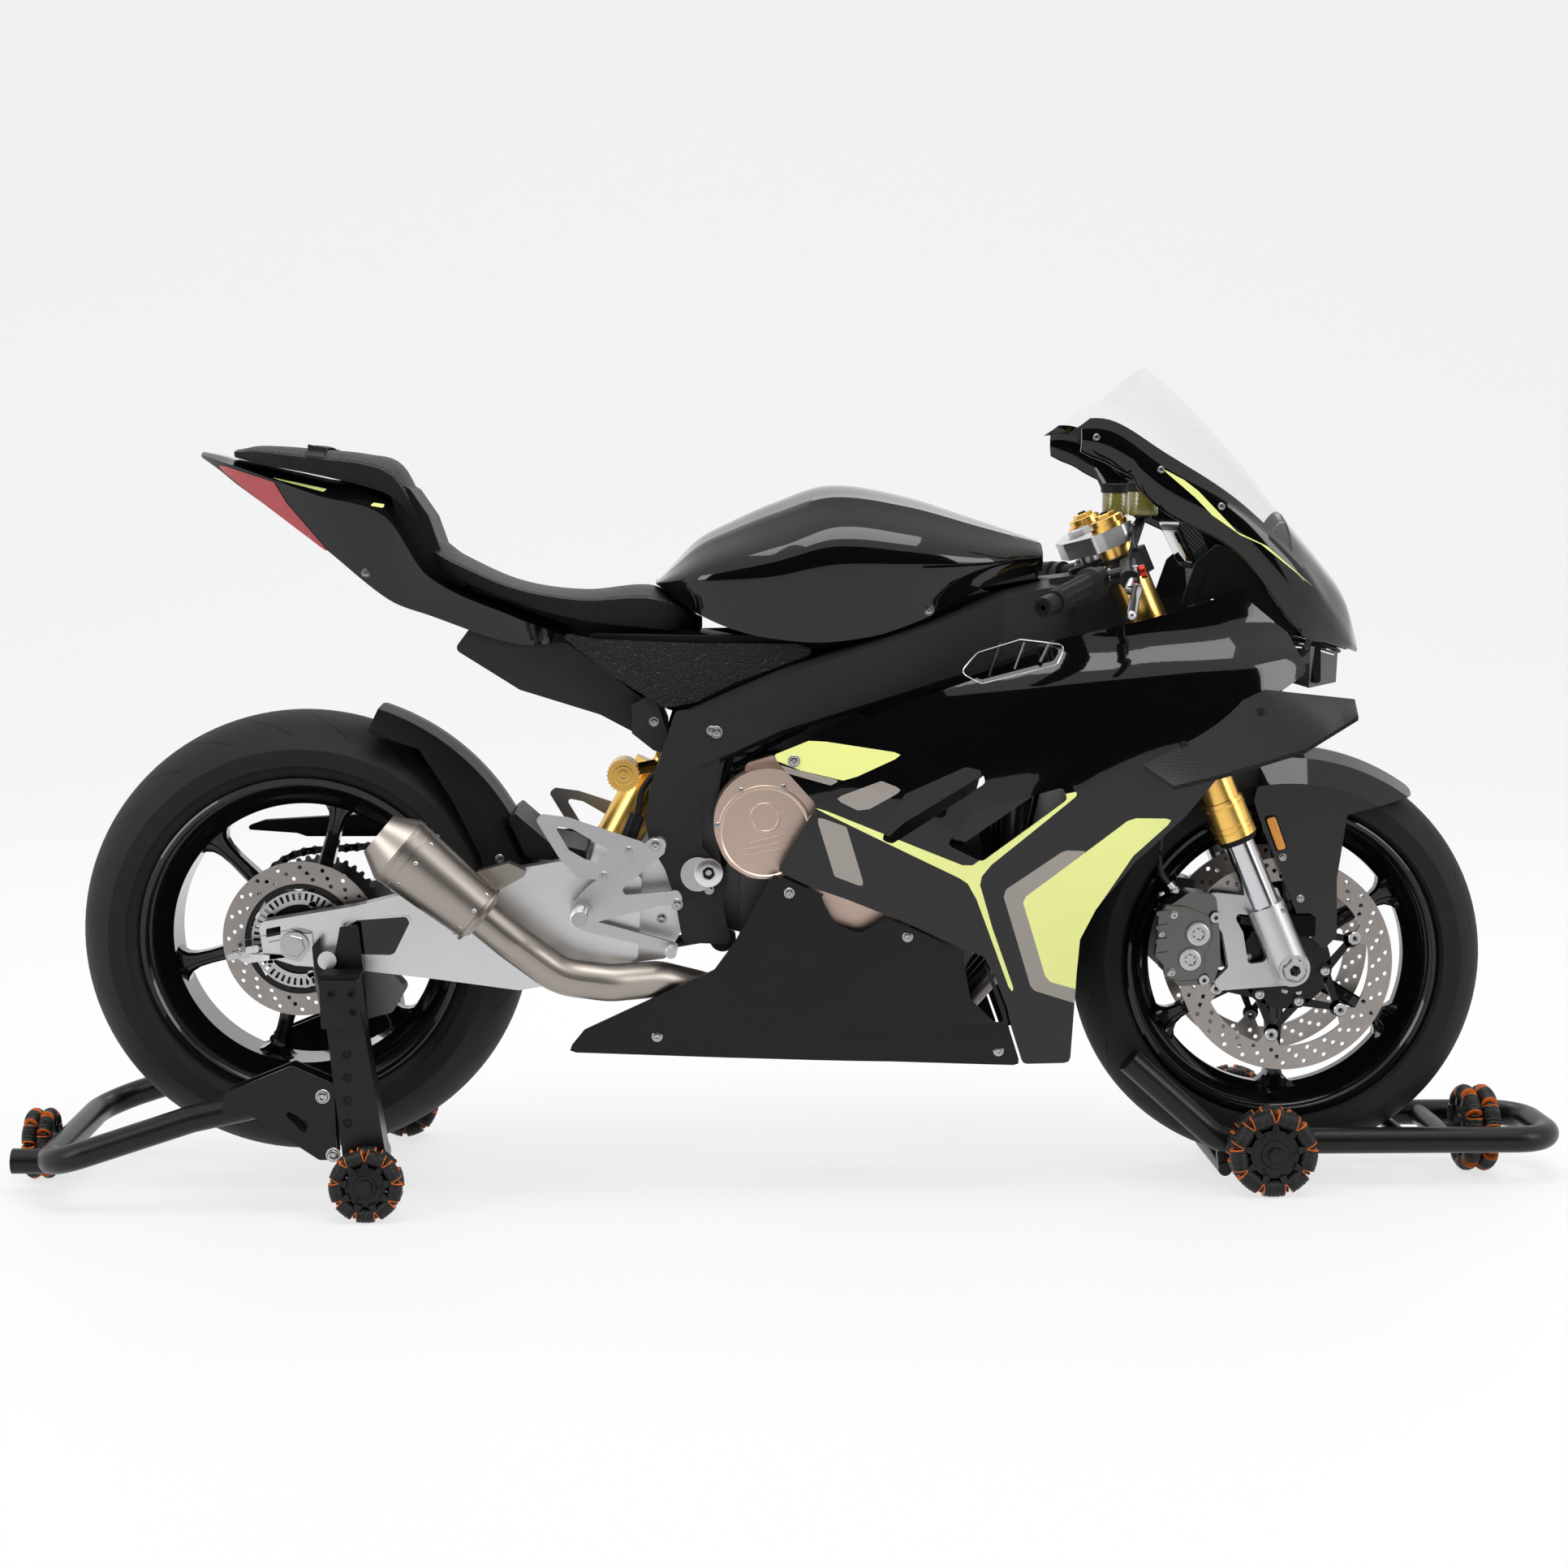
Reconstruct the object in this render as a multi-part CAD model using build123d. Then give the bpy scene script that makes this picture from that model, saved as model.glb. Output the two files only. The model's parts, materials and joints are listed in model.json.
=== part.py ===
from build123d import *
from math import cos, pi, radians, sin, tan
import os

# A sport bike with two wheels in line, held upright by a rear paddock stand and a front wheel dolly.
# Millimetres. X runs forward, Y to the rider's left and Z up from the floor. The layout below is
# measured from the rear axle, and export() moves it so that X = 0 is the middle of the footprint.

# Layout
WHEELBASE = 1409
REAR_AXLE_Z = 365
FRONT_AXLE_Z = 323
RAKE = 23.3
FORK_OFFSET = 28
FORK_HALF_SPACING = 106
FIT = 0.2
RUNNING_FIT = 0.3
CLEARANCE = 6

# Wheels, tyres and brakes
BEAD_RADIUS = 216
FLANGE_RADIUS = 228
REAR_TYRE_RADIUS = 320
REAR_TYRE_WIDTH = 190
REAR_RIM_WIDTH = 168
FRONT_TYRE_RADIUS = 300
FRONT_TYRE_WIDTH = 120
FRONT_RIM_WIDTH = 105
TYRE_WALL = 10
BARREL_RADIUS = 194
SPOKES = 6
REAR_HUB_RADIUS = 44
REAR_HUB_HALF = 60
FRONT_HUB_RADIUS = 42
FRONT_HUB_HALF = 52
AXLE_RADIUS = 12
FRONT_AXLE_BORE = 8
DISC_THICKNESS = 5
FRONT_DISC_RADIUS = 155
FRONT_DISC_BAND = 32
FRONT_DISC_Y = 73
REAR_DISC_RADIUS = 110
REAR_DISC_BAND = 32
REAR_DISC_Y = 85
DISC_ARM_HALF = 6
SPROCKET_TEETH = 40
SPROCKET_RADIUS = 95
SPROCKET_Y = 109
SPROCKET_THICKNESS = 6
CHAIN_WIDTH = 14
CHAIN_HEIGHT = 12
COUNTERSHAFT = (652, 470)
COUNTERSHAFT_RADIUS = 37

# Fork and bars, heights measured along the steering axis from the front axle's level
STANCHION_RADIUS = 21.5
FORK_OUTER_RADIUS = 27
FORK_FLARE_RADIUS = 30
FORK_OUTER_BOTTOM = 206
FORK_FLARE_TOP = 262
FORK_TOP = 695
LUG_TOP = 98
LUG_RADIUS = 27
LOWER_CLAMP = (398, 440)
TOP_CLAMP = (655, 680)
CLIP_ON = (604, 640)
HEAD_TUBE = (450, 640)
HEAD_TUBE_RADIUS = 36
STEM_RADIUS = 14
BAR_RADIUS = 11
GRIP_RADIUS = 17
BAR_END = (1028, 330, 849)

# Frame and swingarm
PIVOT = (562, 466)
PLATE_INNER_Y = 120
PLATE_OUTER_Y = 150
RIGHT_ARM = (108, 142)
LEFT_ARM = (122, 152)
SPOOL = (48, 348)
SPOOL_RADIUS = 8
SIDE_STAND_PIVOT = (600, 330)
SIDE_STAND_Y = 166
SIDE_STAND_PIN = 6

# Bodywork
SKIN = 4
SCREEN_WALL = 3

# Stands
STAND_TUBE_RADIUS = 19
STAND_HALF_WIDTH = 200
STAND_WHEEL = (108, 51)
STAND_WHEEL_RADIUS = 51
STAND_AXLE_RADIUS = 8
STAND_WHEEL_Y = (229, 273)
PUSH_WHEEL_X = -392
CROSS_TUBE_X = -345
CROSS_TUBE_Z = 64
PUSH_AXLE_END_X = PUSH_WHEEL_X - 26
SOCKET_END_X = -411
SOCKET_Y = -96
SOCKET_Z = 48
SOCKET_BORE = 15
SOCKET_DEPTH = 44
TUBE_JOINT_Y = 134
LIFT_PLATE_Y = (156, 162)
DOLLY_HALF_WIDTH = 89
DOLLY_TUBE_Z = 66
DOLLY_WHEEL_RADIUS = 63.5
DOLLY_WHEEL_X = 1381
DOLLY_WHEEL_Y = (113, 168)
DOLLY_FRONT_WHEEL_X = 1713
DOLLY_FRONT_X = 1808
DOLLY_CRADLE_X = (1325, 1586)
CRADLE_BAR_RADIUS = 10

# Fork lugs, bars and their fittings
LUG_INNER_Y = 82
LUG_OUTER_Y = 118
LUG_ARM_THICK = 16
BAR_SHOWS_TO = 0.985
BAR_END_BORE = 4
PERCH = (0.34, 0.48)

# Frame, engine and drive
SPAR_THICK = 34
HEAD_HALF_WIDTH = 80
ENGINE_MOUNT = (862, 738)
CASE_HALF_WIDTH = 126
COVER_SEAT_Y = CASE_HALF_WIDTH + FIT
EXHAUST_PORTS = (-60, 0, 60)
CHAIN_INNER_Y = SPROCKET_Y - CHAIN_WIDTH / 2
CHAIN_OUTER_Y = SPROCKET_Y + CHAIN_WIDTH / 2
SPOOL_END_Y = 172
PIPE_RADIUS = 26
MUFFLER_FRONT = Vector(267, -205, 412)
MUFFLER_REAR = Vector(152, -207, 508)
MUFFLER_AXIS = (MUFFLER_REAR - MUFFLER_FRONT).normalized()

# Bodywork fixings
SIDE_FAIRING_STAY = (858, 615)
BELLY_STAY = (880, 372)
LEFT_PAN_REAR = 690
NOSE_FROM = 4

FOOTPRINT_MIDDLE_X = (PUSH_AXLE_END_X + DOLLY_FRONT_X + STAND_TUBE_RADIUS) / 2
SIN, COS = sin(radians(RAKE)), cos(radians(RAKE))
STEER = Plane(
    origin=(WHEELBASE - FORK_OFFSET * COS, 0, FRONT_AXLE_Z - FORK_OFFSET * SIN),
    x_dir=(COS, 0, SIN),
    z_dir=(-SIN, 0, COS),
)


# Shape helpers


def corner_radii(points, radius, closed):
    """The wanted corner radius, cut down where a corner's shorter side can't hold it."""
    radii = []
    span = range(len(points)) if closed else range(1, len(points) - 1)
    for i in span:
        here = Vector(points[i])
        back = Vector(points[i - 1]) - here
        ahead = Vector(points[(i + 1) % len(points)]) - here
        turn = 180 - back.get_angle(ahead)
        room = 0.45 * min(back.length, ahead.length) / tan(radians(turn / 2))
        radii.append(min(radius, room))
    return radii


def outline(points, radius=0):
    if radius == 0:
        return make_face(Polyline(*points, close=True))
    return make_face(FilletPolyline(*points, radius=corner_radii(points, radius, True), close=True))


def slab(points, y_low, y_high, radius=0):
    """An outline of (x, z) points, solid from one Y to another."""
    return extrude(Plane.XZ.offset(-y_high) * outline(points, radius), amount=y_high - y_low)


def both(shape):
    return [shape, mirror(shape, about=Plane.XZ)]


def pair_slab(points, y_low, y_high, radius=0):
    return both(slab(points, y_low, y_high, radius))


def rod(start, end, radius, bore=0, end_radius=None):
    """A round bar, tube or cone between two points."""
    start, end = Vector(start), Vector(end)
    length = (end - start).length
    if end_radius is None:
        body = Cylinder(radius, length, align=(Align.CENTER, Align.CENTER, Align.MIN))
    else:
        body = Cone(radius, end_radius, length, align=(Align.CENTER, Align.CENTER, Align.MIN))
    if bore:
        body -= Cylinder(bore, length, align=(Align.CENTER, Align.CENTER, Align.MIN))
    return Plane(origin=start, z_dir=end - start) * body


def pin(x, z, y_low, y_high, radius, bore=0):
    return rod((x, y_low, z), (x, y_high, z), radius, bore)


def tube(points, radius, bore=0, bend=60):
    path = FilletPolyline(*points, radius=corner_radii(points, bend, False))
    start = Plane(origin=path @ 0, z_dir=path % 0)
    body = sweep(start * Circle(radius), path=path)
    return body - sweep(start * Circle(bore), path=path) if bore else body


def turned(profile):
    """A closed (y, radius) profile turned about the Y axis."""
    return revolve(Plane.YZ * make_face(Polyline(*profile, close=True)), Axis.Y)


def ring(outer, inner, y_low, y_high):
    return turned([(y_low, inner), (y_low, outer), (y_high, outer), (y_high, inner)])


def section(x, points):
    """A face of (y, z) points across the bike at one X."""
    return Plane(origin=(x, 0, 0), x_dir=(0, 1, 0), z_dir=(1, 0, 0)) * outline(points)


def ruled(sections):
    return loft(sections, ruled=True)


def about_axle(shape, axle_x, axle_z):
    return Pos(axle_x, 0, axle_z) * shape


def along_steer(points):
    """Round solids of the fork, given as (forward, y, from, to, radius, bore) in the steering frame."""
    made = []
    for forward, y, low, high, radius, bore in points:
        body = Pos(forward, y, low) * Cylinder(radius, high - low,
            align=(Align.CENTER, Align.CENTER, Align.MIN))
        if bore:
            body -= Pos(forward, y, low) * Cylinder(bore, high - low,
                align=(Align.CENTER, Align.CENTER, Align.MIN))
        made.append(STEER * body)
    return made


def on_steer(forward, y, height):
    return STEER.from_local_coords(Vector(forward, y, height))


def fuse(shapes):
    shapes = list(shapes)
    body = shapes[0]
    for shape in shapes[1:]:
        body = body + shape
    return body


def export(name, shapes):
    """Writes one node, its solids moved to the part's own origin."""
    solids = [solid for shape in shapes for solid in shape.solids()]
    moved = [Pos(-FOOTPRINT_MIDDLE_X, 0, 0) * solid for solid in solids]
    whole = moved[0] if len(moved) == 1 else Compound(children=moved)
    export_step(whole, f"parts/{name}.step")


# Wheels


def tyre(radius, width, rim_width):
    """A hollow tyre from bead to bead, its tread an arc across the full width."""
    half, shoulder = width / 2, BEAD_RADIUS + 0.52 * (radius - BEAD_RADIUS)
    bead, side = rim_width / 2 - 11.7, rim_width / 2 - 7.5
    inner_top, inner_half = radius - TYRE_WALL, half - TYRE_WALL
    with BuildLine(Plane.YZ) as profile:
        ThreePointArc((-half, shoulder), (0, radius), (half, shoulder))
        Polyline((half, shoulder), (side, FLANGE_RADIUS + 0.5), (bead, BEAD_RADIUS + RUNNING_FIT),
            (bead - 9, BEAD_RADIUS + RUNNING_FIT))
        Line((bead - 9, BEAD_RADIUS + RUNNING_FIT), (inner_half, shoulder))
        ThreePointArc((inner_half, shoulder), (0, inner_top), (-inner_half, shoulder))
        Line((-inner_half, shoulder), (9 - bead, BEAD_RADIUS + RUNNING_FIT))
        Polyline((9 - bead, BEAD_RADIUS + RUNNING_FIT), (-bead, BEAD_RADIUS + RUNNING_FIT),
            (-side, FLANGE_RADIUS + 0.5), (-half, shoulder))
    return revolve(make_face(profile.line), Axis.Y)


def rim(width, hub_radius, hub_half, spoke_turn, spoke_sizes):
    """Flanges, drop-centre barrel, hub and spokes. spoke_sizes: across and deep at hub, then at barrel."""
    half = width / 2
    seat = BEAD_RADIUS
    outer = [(half, FLANGE_RADIUS), (half - 7, FLANGE_RADIUS), (half - 11, seat), (half - 26, seat - 5)]
    outer += [(half - 40, BARREL_RADIUS + 2)]
    inner = [(half - 44, BARREL_RADIUS - 6), (half - 30, seat - 15), (half - 14, seat - 9),
        (half, seat + 8)]
    barrel = turned(outer + [(-y, r) for y, r in reversed(outer)] + [(-y, r) for y,
        r in inner[::-1]] + inner)
    hub = ring(hub_radius, AXLE_RADIUS + RUNNING_FIT, -hub_half, hub_half)
    hub_across, hub_deep, rim_across, rim_deep = spoke_sizes
    root = Pos(0, 0, hub_radius - 6) * Rectangle(hub_across, hub_deep)
    waist = Pos(0, 0, 130) * Rectangle(0.8 * hub_across, 0.5 * (hub_deep + rim_deep))
    tip = Pos(0, 0, BARREL_RADIUS - 2) * Rectangle(rim_across, rim_deep)
    spoke = ruled([root, waist, tip])
    spokes = [Rot(0, spoke_turn + 360 * i / SPOKES, 0) * spoke for i in range(SPOKES)]
    return fuse([barrel, hub] + spokes)


def brake_disc(radius, band, middle_y, carrier_from):
    """A flat braking band and the dished carrier that bolts it to the hub, on the +Y side."""
    low, high = middle_y - DISC_THICKNESS / 2, middle_y + DISC_THICKNESS / 2
    braking = ring(radius, radius - band, low, high)
    inner = carrier_from[1]
    web = ring(radius - band + 1, inner, low, high)
    near, far = inner + 18, radius - band - 8
    window = []
    for r, side in ((near, -1), (far, -1), (far, 1), (near, 1)):
        turn = side * (pi / SPOKES - DISC_ARM_HALF / r)
        window.append((r * sin(turn), r * cos(turn)))
    gap = slab(window, low - 1, high + 1, 5)
    gaps = [Rot(0, 360 * i / SPOKES, 0) * gap for i in range(SPOKES)]
    drum = ring(inner + 10, inner, carrier_from[0], high)
    return fuse([braking, web, drum]) - gaps


def rear_sprocket():
    teeth = []
    for i in range(SPROCKET_TEETH):
        for share, radius in ((0, SPROCKET_RADIUS), (0.3, SPROCKET_RADIUS), (0.5, SPROCKET_RADIUS - 6),
            (0.8, SPROCKET_RADIUS - 6)):
            turn = 2 * pi * (i + share) / SPROCKET_TEETH
            teeth.append((radius * cos(turn), radius * sin(turn)))
    low, high = SPROCKET_Y - SPROCKET_THICKNESS / 2, SPROCKET_Y + SPROCKET_THICKNESS / 2
    plate = slab(teeth, low, high) - pin(0, 0, low, high, 30)
    for i in range(SPOKES):
        turn = 2 * pi * i / SPOKES
        plate -= pin(62 * cos(turn), 62 * sin(turn), low, high, 13)
    return fuse([plate, ring(46, 30, REAR_HUB_HALF, low)])


def wheels():
    rear = (0, REAR_AXLE_Z)
    front = (WHEELBASE, FRONT_AXLE_Z)
    export("rear_tyre", [about_axle(tyre(REAR_TYRE_RADIUS, REAR_TYRE_WIDTH, REAR_RIM_WIDTH), *rear)])
    export("front_tyre", [about_axle(tyre(FRONT_TYRE_RADIUS, FRONT_TYRE_WIDTH, FRONT_RIM_WIDTH), *front)])
    rear_rim = rim(REAR_RIM_WIDTH, REAR_HUB_RADIUS, REAR_HUB_HALF, 15, (34, 52, 30, 30))
    front_rim = rim(FRONT_RIM_WIDTH, FRONT_HUB_RADIUS, FRONT_HUB_HALF, 0, (28, 40, 26, 26))
    export("rear_rim", [about_axle(rear_rim, *rear)])
    export("front_rim", [about_axle(front_rim, *front)])
    front_disc = brake_disc(FRONT_DISC_RADIUS, FRONT_DISC_BAND, FRONT_DISC_Y, (FRONT_HUB_HALF, 30))
    export("front_discs", [about_axle(disc, *front) for disc in both(front_disc)])
    rear_disc = brake_disc(REAR_DISC_RADIUS, REAR_DISC_BAND, REAR_DISC_Y, (REAR_HUB_HALF, 30))
    export("rear_disc", [about_axle(mirror(rear_disc, about=Plane.XZ), *rear)])
    export("rear_sprocket", [about_axle(rear_sprocket(), *rear)])


def axles():
    spacer = AXLE_RADIUS + 9
    rear = [
        pin(0, REAR_AXLE_Z, -RIGHT_ARM[1] - 12, LEFT_ARM[1] + 12, AXLE_RADIUS),
        pin(0, REAR_AXLE_Z, -RIGHT_ARM[1] - 10, -RIGHT_ARM[1] - FIT, 20),
        pin(0, REAR_AXLE_Z, LEFT_ARM[1] + FIT, LEFT_ARM[1] + 10, 20),
        pin(0, REAR_AXLE_Z, -RIGHT_ARM[0] + FIT, -REAR_HUB_HALF - 1, spacer),
        pin(0, REAR_AXLE_Z, REAR_HUB_HALF + 1, LEFT_ARM[0] - FIT, spacer),
    ]
    pivot = [
        pin(*PIVOT, -PLATE_OUTER_Y - 6, PLATE_OUTER_Y + 6, AXLE_RADIUS),
        pin(*PIVOT, PLATE_OUTER_Y + FIT, PLATE_OUTER_Y + 9, 24),
        pin(*PIVOT, -PLATE_OUTER_Y - 9, -PLATE_OUTER_Y - FIT, 24),
    ]
    export("rear_axle_and_pivot", [fuse(rear), fuse(pivot)])
    front = pin(WHEELBASE, FRONT_AXLE_Z, -122, 122, AXLE_RADIUS)
    for side in (-1, 1):
        ends = sorted((side * (FRONT_HUB_HALF + 1), side * (LUG_INNER_Y - FIT)))
        front += pin(WHEELBASE, FRONT_AXLE_Z, *ends, spacer)
    front -= pin(WHEELBASE, FRONT_AXLE_Z, -122, 122, FRONT_AXLE_BORE)
    export("front_axle", [front])


# Fork, bars and front brake



# The lug's arm to the caliper and the window in it
LUG_ARM = [(1392, 440), (1356, 424), (1300, 430), (1284, 412), (1312, 372), (1322, 322), (1300, 300),
    (1310, 288), (1420, 296)]
LUG_ARM_WINDOW = [(1366, 396), (1326, 400), (1342, 372), (1350, 326), (1376, 330)]


def fork():
    legs = [-FORK_HALF_SPACING, FORK_HALF_SPACING]
    outers = []
    for y in legs:
        leg = along_steer([
            (FORK_OFFSET, y, FORK_OUTER_BOTTOM, FORK_TOP - 8, FORK_OUTER_RADIUS, STANCHION_RADIUS + FIT),
            (FORK_OFFSET, y, FORK_OUTER_BOTTOM, FORK_FLARE_TOP, FORK_FLARE_RADIUS, STANCHION_RADIUS + FIT),
            (FORK_OFFSET, y, FORK_TOP - 8, FORK_TOP, FORK_OUTER_RADIUS - 4, 0),
        ])
        outers.append(fuse(leg))
    export("fork_outers", outers)
    stanchions = along_steer([(FORK_OFFSET, y, 40, 400, STANCHION_RADIUS, 0) for y in legs])
    export("fork_stanchions", stanchions)

    lugs = []
    axle = (WHEELBASE, FRONT_AXLE_Z)
    for y in legs:
        barrel = along_steer([(FORK_OFFSET, y, -6, LUG_TOP, LUG_RADIUS, 0)])[0]
        boss = pin(*axle, *sorted((y, y / abs(y) * LUG_OUTER_Y)), 26)
        side = y / abs(y)
        low, high = sorted((side * LUG_INNER_Y, side * (LUG_INNER_Y + LUG_ARM_THICK)))
        bracket = slab(LUG_ARM, low, high, 8) - slab(LUG_ARM_WINDOW, low, high, 6)
        inner = sorted((0, side * LUG_INNER_Y))
        fender_seat = sorted((side * (LUG_INNER_Y + SKIN + FIT), side * (LUG_INNER_Y + LUG_ARM_THICK)))
        seat = slab([(1385, 366), (1385, 396), (1446, 396), (1446, 366)], *fender_seat, 4)
        lug = barrel + boss + pin(*axle, low, high, 26) + bracket + seat
        lug -= along_steer([(FORK_OFFSET, y, 40, LUG_TOP + 80, STANCHION_RADIUS + FIT, 0)])[0]
        lug -= pin(*axle, -140, 140, AXLE_RADIUS + FIT)
        lug -= Pos(WHEELBASE, sum(inner) / 2, FRONT_AXLE_Z) * Box(400, inner[1] - inner[0], 400)
        lugs.append(lug)
    export("fork_lugs", lugs)

    clamps = []
    reach = FORK_HALF_SPACING + 34
    for low, high, front_edge in ((*LOWER_CLAMP, 66), (*TOP_CLAMP, 58)):
        shape = [(-34, -40), (-34, 40), (-6, reach - 6), (10, reach), (front_edge - 16, reach),
            (front_edge, reach - 20),
                 (front_edge - 14, 50), (front_edge - 14, -50), (front_edge, 20 - reach), (front_edge - 16,
                     -reach),
                 (10, -reach), (-6, 6 - reach)]
        plate = Pos(0, 0, low) * extrude(outline(shape, 10), amount=high - low)
        clamps.append(STEER * plate)
    clamps.append(along_steer([(0, 0, LOWER_CLAMP[0], TOP_CLAMP[1] + 6, STEM_RADIUS, 0)])[0])
    body = fuse(clamps)
    for y in legs:
        body -= along_steer([(FORK_OFFSET, y, 380, 700, FORK_OUTER_RADIUS + FIT, 0)])[0]
    export("triple_clamps", [body])


def bar_point(share):
    """A point along the left bar, from the fork leg at 0 to the bar's end at 1."""
    root = on_steer(FORK_OFFSET, FORK_HALF_SPACING, (CLIP_ON[0] + CLIP_ON[1]) / 2)
    return root + (Vector(*BAR_END) - root) * share


GRIP_FROM, GRIP_TO = 0.5, 0.98


def bars():
    clamp = along_steer([(FORK_OFFSET, FORK_HALF_SPACING, *CLIP_ON, FORK_OUTER_RADIUS + 9, 0)])[0]
    weight_from, weight_to = bar_point(BAR_SHOWS_TO), bar_point(1.1)
    clip = clamp + rod(bar_point(0.02), weight_from, BAR_RADIUS) + rod(weight_from, weight_to,
        GRIP_RADIUS - 3)
    clip -= rod(bar_point(1.03), bar_point(1.11), BAR_END_BORE)
    clip -= along_steer([(FORK_OFFSET, FORK_HALF_SPACING, 560, 690, FORK_OUTER_RADIUS + FIT, 0)])[0]
    export("clip_ons", both(clip))
    grip = rod(bar_point(GRIP_FROM), bar_point(GRIP_TO), GRIP_RADIUS, BAR_RADIUS + FIT)
    grip += rod(bar_point(GRIP_FROM), bar_point(GRIP_FROM + 0.03), GRIP_RADIUS + 6, BAR_RADIUS + FIT)
    export("grips", both(grip))

    perch = rod(bar_point(PERCH[0]), bar_point(PERCH[1]), 17, BAR_RADIUS + FIT)
    middle = bar_point((PERCH[0] + PERCH[1]) / 2)
    cylinder = rod(middle + Vector(50, -34, 20), middle + Vector(42, 26, 2), 14)
    neck = rod(middle + Vector(14, -5, 4), middle + Vector(46, -8, 12), 10)
    lever_points = [middle + Vector(44, 20, 4), middle + Vector(36, 62, -12), (1152, 264, 869),
        (1136, 326, 834)]
    lever = tube(lever_points, 6, bend=40)
    base = Vector(1184, 117, 962)
    stay = rod(middle + Vector(46, -20, 22), base - Vector(0, 0, 1), 5) + rod(base, base + Vector(0, 0, 3),
        12)
    lever = fuse([perch, neck, cylinder, lever, stay]) - rod(bar_point(0), bar_point(0.9), BAR_RADIUS + FIT)
    export("levers", both(lever))
    pot_low, pot_lid, pot_top = (base + Vector(0, 0, rise) for rise in (3, 38, 50))
    export("brake_reservoirs", both(rod(pot_low, pot_lid, 21) + rod(pot_lid, pot_top, 23)))


def front_brakes():
    outer_face = LUG_INNER_Y + 26
    inner_face = FRONT_TYRE_WIDTH / 2 - 2.5
    shape = [(1300, 428), (1262, 432), (1222, 404), (1226, 318), (1250, 296), (1298, 300), (1308, 330),
        (1306, 372)]
    gap = DISC_THICKNESS / 2 + CLEARANCE - 1
    axle = (WHEELBASE, FRONT_AXLE_Z)
    body = slab(shape, inner_face, outer_face, 10)
    body -= pin(*axle, FRONT_DISC_Y - gap, FRONT_DISC_Y + gap, FRONT_DISC_RADIUS + CLEARANCE)
    body -= pin(*axle, 0, FRONT_DISC_Y - gap, 400) - pin(*axle, 0, FRONT_DISC_Y - gap,
        BARREL_RADIUS - 6 - CLEARANCE)
    body -= slab(LUG_ARM, LUG_INNER_Y - FIT, LUG_INNER_Y + LUG_ARM_THICK + FIT)
    export("front_calipers", both(body))


def front_fender():
    top, wall, half = FRONT_TYRE_RADIUS + 13, SKIN, LUG_INNER_Y + 4
    outer = [(0, top), (26, top - 1), (62, top - 16), (half, 262), (half, 40)]
    inner = [(half - wall, 40), (half - wall, 260), (60, top - 20), (25, top - wall - 1), (0, top - wall)]
    left = turned(outer + inner)
    shell = left + mirror(left, about=Plane.XZ)
    sides = [(1356, 560), (1374, 640), (1424, 660), (1530, 640), (1600, 566), (1532, 551), (1491, 540),
        (1478, 447),
             (1480, 364), (1461, 345), (1430, 376), (1364, 536)]
    shell = about_axle(shell, WHEELBASE, FRONT_AXLE_Z) & slab(sides, -half - 1, half + 1, 6)
    for side in (-1, 1):
        keep = sorted((side * LUG_INNER_Y, side * (half + 2)))
        shell -= pin(*on_fork(150), *keep, FORK_FLARE_RADIUS + 2)
    export("front_fender", [shell])


def on_fork(height):
    """The (x, z) of the fork legs' centre line at a height."""
    point = on_steer(FORK_OFFSET, 0, height)
    return point.X, point.Z


# Frame, swingarm and engine

# x, low z, high z, outer y of the right or left beam
SPAR_ROWS = (
    (545, 596, 694, 150),
    (676, 656, 750, 156),
    (834, 705, 802, 150),
    (990, 752, 860, 118),
    (1050, 772, 872, 92),
    (1104, 786, 878, 62),
)


def frame():
    sections = [
        section(x, [(outer - SPAR_THICK, low), (outer, low + 10), (outer, high - 10),
            (outer - SPAR_THICK, high)])
        for x, low, high, outer in SPAR_ROWS
    ]
    spar = ruled(sections)
    plate = [(531, 692), (513, 638), (494, 583), (490, 532), (495, 509), (516, 472), (530, 431),
        (541, 368), (608, 366),
             (598, 420), (604, 464), (568, 503), (568, 573), (600, 640), (640, 670), (600, 700)]
    side = spar + slab(plate, PLATE_INNER_Y, PLATE_OUTER_Y, 8)
    head = along_steer([(0, 0, *HEAD_TUBE, HEAD_TUBE_RADIUS, 0)])[0]
    gusset = slab([(1060, 786), (1062, 876), (1130, 884), (1180, 790)], -66, 66)
    cross_tubes = [pin(540, 640, -PLATE_INNER_Y - 4, PLATE_INNER_Y + 4, 18),
        pin(575, 378, -PLATE_INNER_Y - 4, PLATE_INNER_Y + 4, 10)]
    dash_stay = [
        slab([(1272, 893.7), (1290, 894.4), (1300, 798), (1280, 800)], -30, 30),
        slab([(1196, 800), (1206, 826), (1369.8, 790), (1369.8, 760)], -30, 30),
    ]
    mounts = both(pin(*ENGINE_MOUNT, HEAD_HALF_WIDTH + FIT, 120, 12))
    body = fuse(both(side) + [head, gusset] + cross_tubes + mounts + dash_stay + side_stand_bracket())
    body -= along_steer([(0, 0, HEAD_TUBE[0] - 80, HEAD_TUBE[1] + 80, STEM_RADIUS + RUNNING_FIT, 0)])[0]
    body -= pin(*PIVOT, -170, 170, AXLE_RADIUS + FIT)
    export("frame_beams", [body])
    rail = [(267, 838), (369, 792), (508, 690), (508, 640), (425, 684), (312, 719), (221, 776)]
    rails = pair_slab(rail, 72, 92, 8)
    crossers = [pin(300, 760, -74, 74, 12), pin(460, 690, -74, 74, 12)]
    lug = [slab([(470, 700), (500, 716), (519, 664), (519, 630), (500, 636), (470, 660)],
        *ends) for ends in ((72, PLATE_INNER_Y - FIT), (FIT - PLATE_INNER_Y, -72))]
    export("subframe", [fuse(rails + crossers + lug)])


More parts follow.
